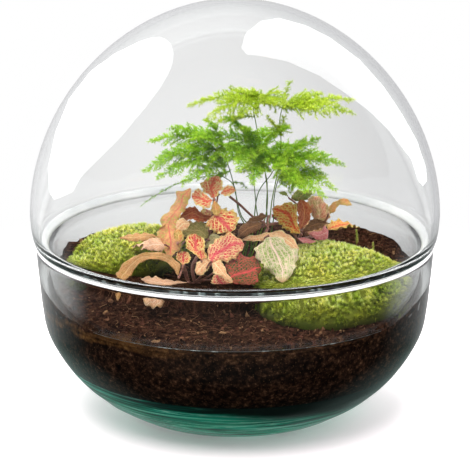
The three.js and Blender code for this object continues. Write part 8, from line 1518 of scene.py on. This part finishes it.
# ---------------------------------------------------------------- fern ----
def fern_material(name, dark, mid, light):
    m, nt, out = new_material(name)
    sh = attribute(nt, "shade")
    co = object_coords(nt)
    n = noise_node(nt, co, 60.0, 2.0, 0.5)
    base = ramp(nt, sh.outputs["Fac"], [(0.0, dark), (0.5, mid), (1.0, light)])
    var = ramp(nt, n.outputs[0], [(0.3, (0.82, 0.86, 0.8)), (0.7, (1.1, 1.06, 1.0))])
    col = mix_rgb(nt, 1.0, base, var, "MULTIPLY")
    p = principled(nt, Roughness=0.55)
    p.inputs["Specular IOR Level"].default_value = 0.35
    nt.links.new(col, p.inputs["Base Color"])
    nt.links.new(p.outputs[0], out.inputs["Surface"])
    return m


fern_lime = fern_material("fern_lime", C("7ca018"), C("bcd82a"), C("ecf860"))
fern_green = fern_material("fern_green", C("4c7c10"), C("a8dc26"), C("e8fa58"))


def spray(s, g, bunch, tone, dense=1.0, reach=1.0):
    a, b_ = np.array(s["a"], float), np.array(s["b"], float)
    run = b_ - a
    L = np.linalg.norm(run)
    n = 24
    u = np.linspace(0, 1, n)
    mid = a + run * u[:, None]
    mid[:, 2] += s["rise"] * 2.8 * u * (1 - u)
    flat = unit(np.array([run[0], run[1], 0.0])) if np.hypot(run[0], run[1]) > 1e-3 else np.array([1.0, 0, 0])
    side = unit(np.array([-flat[1], flat[0], math.tan(math.radians(s["roll"]))]))
    vv, ff = tube(mid, np.linspace(0.34, 0.12, n), 4)
    bunch.add(vv, ff, 0.15 + tone * 0.3)
    tang = unit(np.gradient(mid, axis=0))
    count = max(8, int(L / 0.80 * dense))
    P, D, LEN, SH0, SH1 = [], [], [], [], []
    for k in range(count):
        sgn = 1 if k % 2 else -1
        t = min((k + g.uniform(0.0, 1.0)) / count, 0.995)
        p0 = np.array([np.interp(t, u, mid[:, c]) for c in range(3)])
        tg = unit(np.array([np.interp(t, u, tang[:, c]) for c in range(3)]))
        shape = min(1, (t / 0.22) ** 0.8) * (1 - max(0, (t - 0.22) / 0.78)) ** 0.75
        bl = max(s["hw"] * shape * g.uniform(0.60, 1.38), 2.2)
        ang = math.radians(g.uniform(32, 78))
        rise = g.uniform(-0.35, 0.45)
        if g.random() < 0.22:
            rise, bl = g.uniform(0.4, 1.1), bl * 0.6
        d0 = unit(tg * math.cos(ang) + side * sgn * math.sin(ang) + np.array([0, 0, rise]))
        m = 3
        w = np.linspace(0, 1, m)
        curve = p0 + d0 * (w * bl)[:, None] + tg * (w**2 * bl * 0.16)[:, None]
        curve[:, 2] -= 0.14 * bl * w**2
        vv, ff = tube(curve, np.linspace(0.14, 0.06, m), 3)
        bunch.add(vv, ff, 0.2 + tone * 0.3)
        bt = unit(np.gradient(curve, axis=0))
        stars = max(2, int(bl / 0.98 * min(1.0, dense + 0.2)))
        q = np.repeat((np.arange(stars) + g.uniform(0.3, 1.0, stars)) / stars, 6)
        base = np.stack([np.interp(q, w, curve[:, c]) for c in range(3)], 1)
        bd = unit(np.stack([np.interp(q, w, bt[:, c]) for c in range(3)], 1))
        wild = unit(g.standard_normal((len(q), 3)) * np.array([1.0, 1.0, 0.75]))
        d = bd * g.uniform(0.35, 1.0, len(q))[:, None] + wild * 0.95
        P.append(base)
        D.append(d)
        LEN.append(g.uniform(1.8, 3.6, len(q)) * (1.0 - 0.20 * q) * reach)
        # painted light and shade: patches of a spray are lighter and darker, branchlet tips and the outer part of a
        # spray are lighter, and needle feet are darker
        patch = 0.20 * float(fractal(p0 / 11.0, 2, 77))
        sh = np.clip(tone + patch + 0.16 * np.repeat(g.standard_normal(stars), 6) + 0.25 * (q - 0.5) + 0.2 * (t - 0.5), 0, 1)
        SH0.append(sh * 0.75)
        SH1.append(np.clip(sh + 0.12, 0, 1))
    P, D, LEN, SH0, SH1 = np.vstack(P), np.vstack(D), np.concatenate(LEN), np.concatenate(SH0), np.concatenate(SH1)
    needles(P, D, LEN, 0.235 * (0.6 + 0.4 * dense), flat=1.0, shade0=SH0, shade1=SH1, bunch=bunch)


# each stem's starting shade value: partly the plant's own tone, partly painted shade
FERN_TONE_AND_SHADE = {"fern_stem_top_left": 0.55, "fern_stem_top_right": 0.62, "fern_stem_mid_left": 0.45, "fern_stem_centre": 0.5, "fern_stem_mid_right": 0.55, "fern_stem_low_right": 0.6, "fern_stem_drooping": 0.12, "fern_stem_back": 0.35}
fern_tris = 0
for k, (name, fr) in enumerate(FERN.items()):
    g = np.random.default_rng(300 + k)
    bunch = Bunch()
    n = 7 * (len(fr["stem"]) - 1) + 1
    pts = spline(fr["stem"], n)
    vv, ff = tube(pts, np.linspace(0.52, 0.30, n), 6)
    bunch.add(vv, ff, 0.0)
    sprays = [dict(s) for s in fr["sprays"]]
    if name == "fern_stem_top_left":
        # its crown is flat topped
        sprays[3].update(b=[-6.0, 2.0, 227.5], roll=-8)
        sprays += [{"a": [21.1, 8.0, 229.7], "b": [31.0, 2.0, 234.0], "hw": 9, "rise": 2, "roll": 0.0}, {"a": [21.1, 8.0, 229.7], "b": [9.0, 2.0, 234.0], "hw": 9, "rise": 2, "roll": 0.0}]
    for s in sprays:
        if "drooping" in name:
            spray(s, g, bunch, FERN_TONE_AND_SHADE[name], 0.55, 0.7)
        else:
            spray(s, g, bunch, FERN_TONE_AND_SHADE[name])
    v, f, s = bunch.done()
    fern_tris += len(f)
    place(add_mesh(name + "_plume", v, f, fern_lime if "top" in name else fern_green, smooth=False, attrs={"shade": s}), "fern_lime" if "top" in name else "fern_green", name)
print("fern triangles", fern_tris)

# ---------------------------------------------------------------- studio ----
world = bpy.data.worlds.new("studio")
scene.world = world
world.use_nodes = True
nt = world.node_tree
nt.nodes.clear()
wo = nt.nodes.new("ShaderNodeOutputWorld")
lp = nt.nodes.new("ShaderNodeLightPath")


def background(colour, strength):
    n = nt.nodes.new("ShaderNodeBackground")
    if isinstance(colour, tuple):
        n.inputs[0].default_value = (*colour, 1.0)
    else:
        nt.links.new(colour, n.inputs[0])
    n.inputs[1].default_value = strength
    return n.outputs[0]


def mix_shader(fac, a, b):
    n = nt.nodes.new("ShaderNodeMixShader")
    nt.links.new(fac, n.inputs[0])
    nt.links.new(a, n.inputs[1])
    nt.links.new(b, n.inputs[2])
    return n.outputs[0]


tc = nt.nodes.new("ShaderNodeTexCoord")
sx = nt.nodes.new("ShaderNodeSeparateXYZ")
nt.links.new(tc.outputs["Generated"], sx.inputs[0])
up = math_node(nt, "ADD", math_node(nt, "MULTIPLY", sx.outputs[2], 0.5), 0.5)
through = ramp(nt, math_node(nt, "ADD", math_node(nt, "MULTIPLY", sx.outputs[0], 0.5), 0.5), [(0.47, (1.02, 1.02, 1.02)), (0.50, (1.0, 1.0, 1.0)), (0.54, (0.875, 0.875, 0.88))])
far = math_node(nt, "ADD", math_node(nt, "MULTIPLY", sx.outputs[1], 0.5), 0.5)
mirror = ramp(nt, far, [(0.05, (0.24, 0.24, 0.24)), (0.18, (0.12, 0.12, 0.12)), (0.30, (0.012, 0.012, 0.012)), (0.42, (0.010, 0.010, 0.011)), (0.58, (0.06, 0.06, 0.062)), (0.72, (0.55, 0.55, 0.56)), (0.88, (0.92, 0.92, 0.93))])
mirror = mix_rgb(nt, 1.0, mirror, ramp(nt, math_node(nt, "ADD", math_node(nt, "MULTIPLY", sx.outputs[0], 0.5), 0.5), [(0.2, (1.0, 1.0, 1.0)), (0.8, (0.68, 0.68, 0.69))]), "MULTIPLY")
ambient = ramp(nt, up, [(0.30, (0.24, 0.24, 0.24)), (0.95, (0.62, 0.62, 0.62))])
seen = background((1.0, 1.0, 1.0), 1.0)
a = mix_shader(lp.outputs["Is Camera Ray"], background(through, 1.0), seen)
mirror = mix_rgb(nt, 1.0, mirror, ramp(nt, up, [(0.27, (0.24, 0.33, 0.30)), (0.34, (0.72, 0.74, 0.73)), (0.38, (1.0, 1.0, 1.0))]), "MULTIPLY")
bounced = math_node(nt, "MULTIPLY", math_node(nt, "GREATER_THAN", lp.outputs["Transmission Depth"], 1.5), lp.outputs["Is Reflection Ray"])
behind = math_node(nt, "MAXIMUM", math_node(nt, "GREATER_THAN", lp.outputs["Transmission Depth"], 2.5), bounced)
mirror = mix_rgb(nt, math_node(nt, "MULTIPLY", behind, 0.55), mirror, (0.78, 0.78, 0.79))
a = mix_shader(math_node(nt, "GREATER_THAN", lp.outputs["Glossy Depth"], 0.5), a, background(mirror, 1.0))
a = mix_shader(math_node(nt, "GREATER_THAN", lp.outputs["Diffuse Depth"], 0.5), a, background(ambient, 1.0))
nt.links.new(a, wo.inputs["Surface"])


def area(name, loc, size, power, target=(0, 0, 0.12), colour=(1, 1, 1), glossy=False):
    d = bpy.data.lights.new(name, "AREA")
    d.shape = "RECTANGLE"
    d.size, d.size_y = size
    d.energy = power
    d.color = colour
    o = bpy.data.objects.new(name, d)
    o.location = loc
    o.rotation_euler = (Vector(target) - Vector(loc)).to_track_quat("-Z", "Y").to_euler()
    scene.collection.objects.link(o)
    o.visible_camera = False
    o.visible_glossy = glossy
    o.visible_transmission = False
    return o


area("key", (-0.22, -0.55, 1.65), (1.2, 1.2), 47)
area("top", (0.0, 0.55, 1.6), (0.8, 0.8), 27)
area("right", (1.15, -0.45, 0.95), (1.1, 1.0), 7)
area("back", (-0.4, 1.4, 1.1), (1.2, 0.7), 9)

# softboxes that show only as reflections in the dome
CAM_F = 2033.4
fwd = unit(AIM - CAM)
right_v = np.array([1.0, 0, 0])
up_v = np.cross(right_v, fwd)


def dome_hit(px, py):
    d = unit(fwd + right_v * (px - 235) / CAM_F + up_v * (235 - py) / CAM_F)

    def inside_(t):
        q = CAM + d * t
        return (np.hypot(q[0], q[1]) / BELLY_R) ** 1.91 + (abs(q[2] - BELLY_Z) / (APEX_Z - BELLY_Z)) ** 1.91 - 1

    ts = np.linspace(1150, 1650, 400)
    vals = np.array([inside_(t) for t in ts])
    k = np.argmax(vals < 0)
    if vals[k] >= 0:
        k = int(np.argmin(vals))
        t = ts[k]
    else:
        lo, hi = ts[max(k - 1, 0)], ts[k]
        for _ in range(30):
            m_ = (lo + hi) / 2
            if inside_(m_) < 0:
                hi = m_
            else:
                lo = m_
        t = hi
    q = CAM + d * t
    rr = max(np.hypot(q[0], q[1]), 1e-6)
    gr = (rr / BELLY_R) ** 0.91 / BELLY_R
    gz = (abs(q[2] - BELLY_Z) / (APEX_Z - BELLY_Z)) ** 0.91 / (APEX_Z - BELLY_Z) * (1 if q[2] > BELLY_Z else -1)
    n = unit(np.array([gr * q[0] / rr, gr * q[1] / rr, gz]))
    return q, d, n


def softbox(name, outline, strength, reach=2600.0):
    o = np.asarray(outline, float)
    dense = []
    for p, q in zip(o, np.roll(o, -1, axis=0)):
        m_ = max(2, int(np.hypot(*(q - p)) / 5))
        dense += [p + (q - p) * k / m_ for k in range(m_)]
    dense = np.array(dense)
    pts = []
    for px, py in dense:
        q, d, n = dome_hit(px, py)
        r_ = unit(d - 2 * np.dot(d, n) * n)
        pts.append(q + r_ * reach)
    tris = tessellate_polygon([[Vector((p[0], p[1], 0)) for p in dense]])
    m_, nt_, out_ = new_material(name)
    e = nt_.nodes.new("ShaderNodeEmission")
    e.inputs[1].default_value = strength
    nt_.links.new(e.outputs[0], out_.inputs["Surface"])
    ob = add_mesh(name, np.array(pts), np.array(tris), m_, smooth=False)
    ob.visible_camera = False
    ob.visible_diffuse = False
    ob.visible_transmission = False
    ob.visible_shadow = False
    ob.visible_volume_scatter = False
    return ob


softbox("softbox_left", [(152, 37.5), (160, 37), (167, 40), (171.5, 45.5), (173.5, 53), (173, 62), (169, 73), (161, 87), (146, 107), (120, 138), (96, 162), (81, 177), (73, 192), (54, 200), (49.5, 192), (48, 168), (55.5, 132), (69, 99), (90, 72), (114, 54), (138, 42)], 4.6)
softbox("softbox_right", [(241, 48), (246, 33), (261, 21), (279, 18), (306, 25.5), (330, 37.5), (360, 60), (384, 87), (402, 114), (417, 141), (426, 168), (427, 180), (423, 186.5), (418, 180), (411, 159), (390, 132), (369, 111), (345, 93), (318, 75), (288, 61.5), (261, 56), (247, 54.6)], 4.6)

# floor: pale, fading out into the backdrop; its emission paints light round the bowl's shadow and glows for rays seen
# through or reflected in the glass
m, nt, out = new_material("floor")
co = object_coords(nt)
ln = nt.nodes.new("ShaderNodeVectorMath")
ln.operation = "LENGTH"
nt.links.new(co, ln.inputs[0])
fade = nt.nodes.new("ShaderNodeMapRange")
fade.interpolation_type = "SMOOTHSTEP"
fade.inputs["From Min"].default_value = 0.30
fade.inputs["From Max"].default_value = 0.52
nt.links.new(ln.outputs["Value"], fade.inputs["Value"])
p = principled(nt, Base_Color=(0.82, 0.745, 0.77, 1), Roughness=0.9)
p.inputs["Specular IOR Level"].default_value = 0.0
p.inputs["Emission Color"].default_value = (1.0, 1.0, 1.0, 1)
# painted light: the floor's emission rises outside an ellipse round the bowl, lifting and shaping its shadow
fs = nt.nodes.new("ShaderNodeSeparateXYZ")
nt.links.new(co, fs.inputs[0])
ex = math_node(nt, "DIVIDE", fs.outputs[0], 0.180)
ey = math_node(nt, "DIVIDE", math_node(nt, "ADD", fs.outputs[1], 0.085), 0.150)
ell = math_node(nt, "SQRT", math_node(nt, "ADD", math_node(nt, "MULTIPLY", ex, ex), math_node(nt, "MULTIPLY", ey, ey)))
painted_light_fill = nt.nodes.new("ShaderNodeMapRange")
painted_light_fill.interpolation_type = "SMOOTHSTEP"
painted_light_fill.inputs["From Min"].default_value = 0.10
painted_light_fill.inputs["From Max"].default_value = 1.45
painted_light_fill.inputs["To Min"].default_value = 0.17
painted_light_fill.inputs["To Max"].default_value = 0.82
nt.links.new(ell, painted_light_fill.inputs["Value"])
nt.links.new(painted_light_fill.outputs[0], p.inputs["Emission Strength"])
tr = nt.nodes.new("ShaderNodeBsdfTransparent")
em = nt.nodes.new("ShaderNodeEmission")
lp = nt.nodes.new("ShaderNodeLightPath")
sf = nt.nodes.new("ShaderNodeSeparateXYZ")
nt.links.new(co, sf.inputs[0])
# painted reflection: for reflected rays the floor glows under the bowl and towards the back, and stays dark in front
painted_reflection_by_y = nt.nodes.new("ShaderNodeMapRange")
painted_reflection_by_y.inputs["From Min"].default_value = -0.05
painted_reflection_by_y.inputs["From Max"].default_value = 0.06
painted_reflection_by_y.inputs["To Min"].default_value = 0.01
painted_reflection_by_y.inputs["To Max"].default_value = 0.75
nt.links.new(sf.outputs[1], painted_reflection_by_y.inputs["Value"])
turned = math_node(nt, "GREATER_THAN", lp.outputs["Glossy Depth"], 0.5)
under = nt.nodes.new("ShaderNodeMapRange")
under.inputs["From Min"].default_value = 0.128
under.inputs["From Max"].default_value = 0.108
under.inputs["To Min"].default_value = 0.0
under.inputs["To Max"].default_value = 0.85
nt.links.new(ln.outputs["Value"], under.inputs["Value"])
painted_reflection_glow = math_node(nt, "MAXIMUM", under.outputs[0], painted_reflection_by_y.outputs[0])
nt.links.new(math_node(nt, "ADD", math_node(nt, "MULTIPLY", math_node(nt, "SUBTRACT", 1.0, turned), 0.88), math_node(nt, "MULTIPLY", turned, painted_reflection_glow)), em.inputs["Strength"])
# painted light: rays through the glass see a glowing floor, 0.88 strong, which turns into the painted reflection above
# once reflected
m0 = nt.nodes.new("ShaderNodeMixShader")
nt.links.new(lp.outputs["Is Transmission Ray"], m0.inputs[0])
nt.links.new(p.outputs[0], m0.inputs[1])
nt.links.new(em.outputs[0], m0.inputs[2])
mx = nt.nodes.new("ShaderNodeMixShader")
nt.links.new(fade.outputs[0], mx.inputs[0])
nt.links.new(m0.outputs[0], mx.inputs[1])
nt.links.new(tr.outputs[0], mx.inputs[2])
nt.links.new(mx.outputs[0], out.inputs["Surface"])
a = np.arange(96) / 96 * 2 * math.pi
ring = [np.stack([q * np.cos(a), q * np.sin(a), 0 * a - 0.2], 1) for q in (60.0, 150.0, 300.0, 450.0, 600.0)]
verts = np.vstack([[[0, 0, -0.2]]] + ring)
F = [(0, 1 + j, 1 + (j + 1) % 96) for j in range(96)]
for i in range(4):
    b0, b1 = 1 + i * 96, 1 + (i + 1) * 96
    for j in range(96):
        j2 = (j + 1) % 96
        F += [(b0 + j, b1 + j, b1 + j2), (b0 + j, b1 + j2, b0 + j2)]
floor = add_mesh("floor", verts, F, m)
floor.visible_glossy = False

scene.view_settings.view_transform = "Standard"
scene.view_settings.look = "None"
scene.cycles.transparent_max_bounces = 16
scene.cycles.transmission_bounces = 16
scene.cycles.max_bounces = 18
scene.cycles.sample_clamp_indirect = 6.0
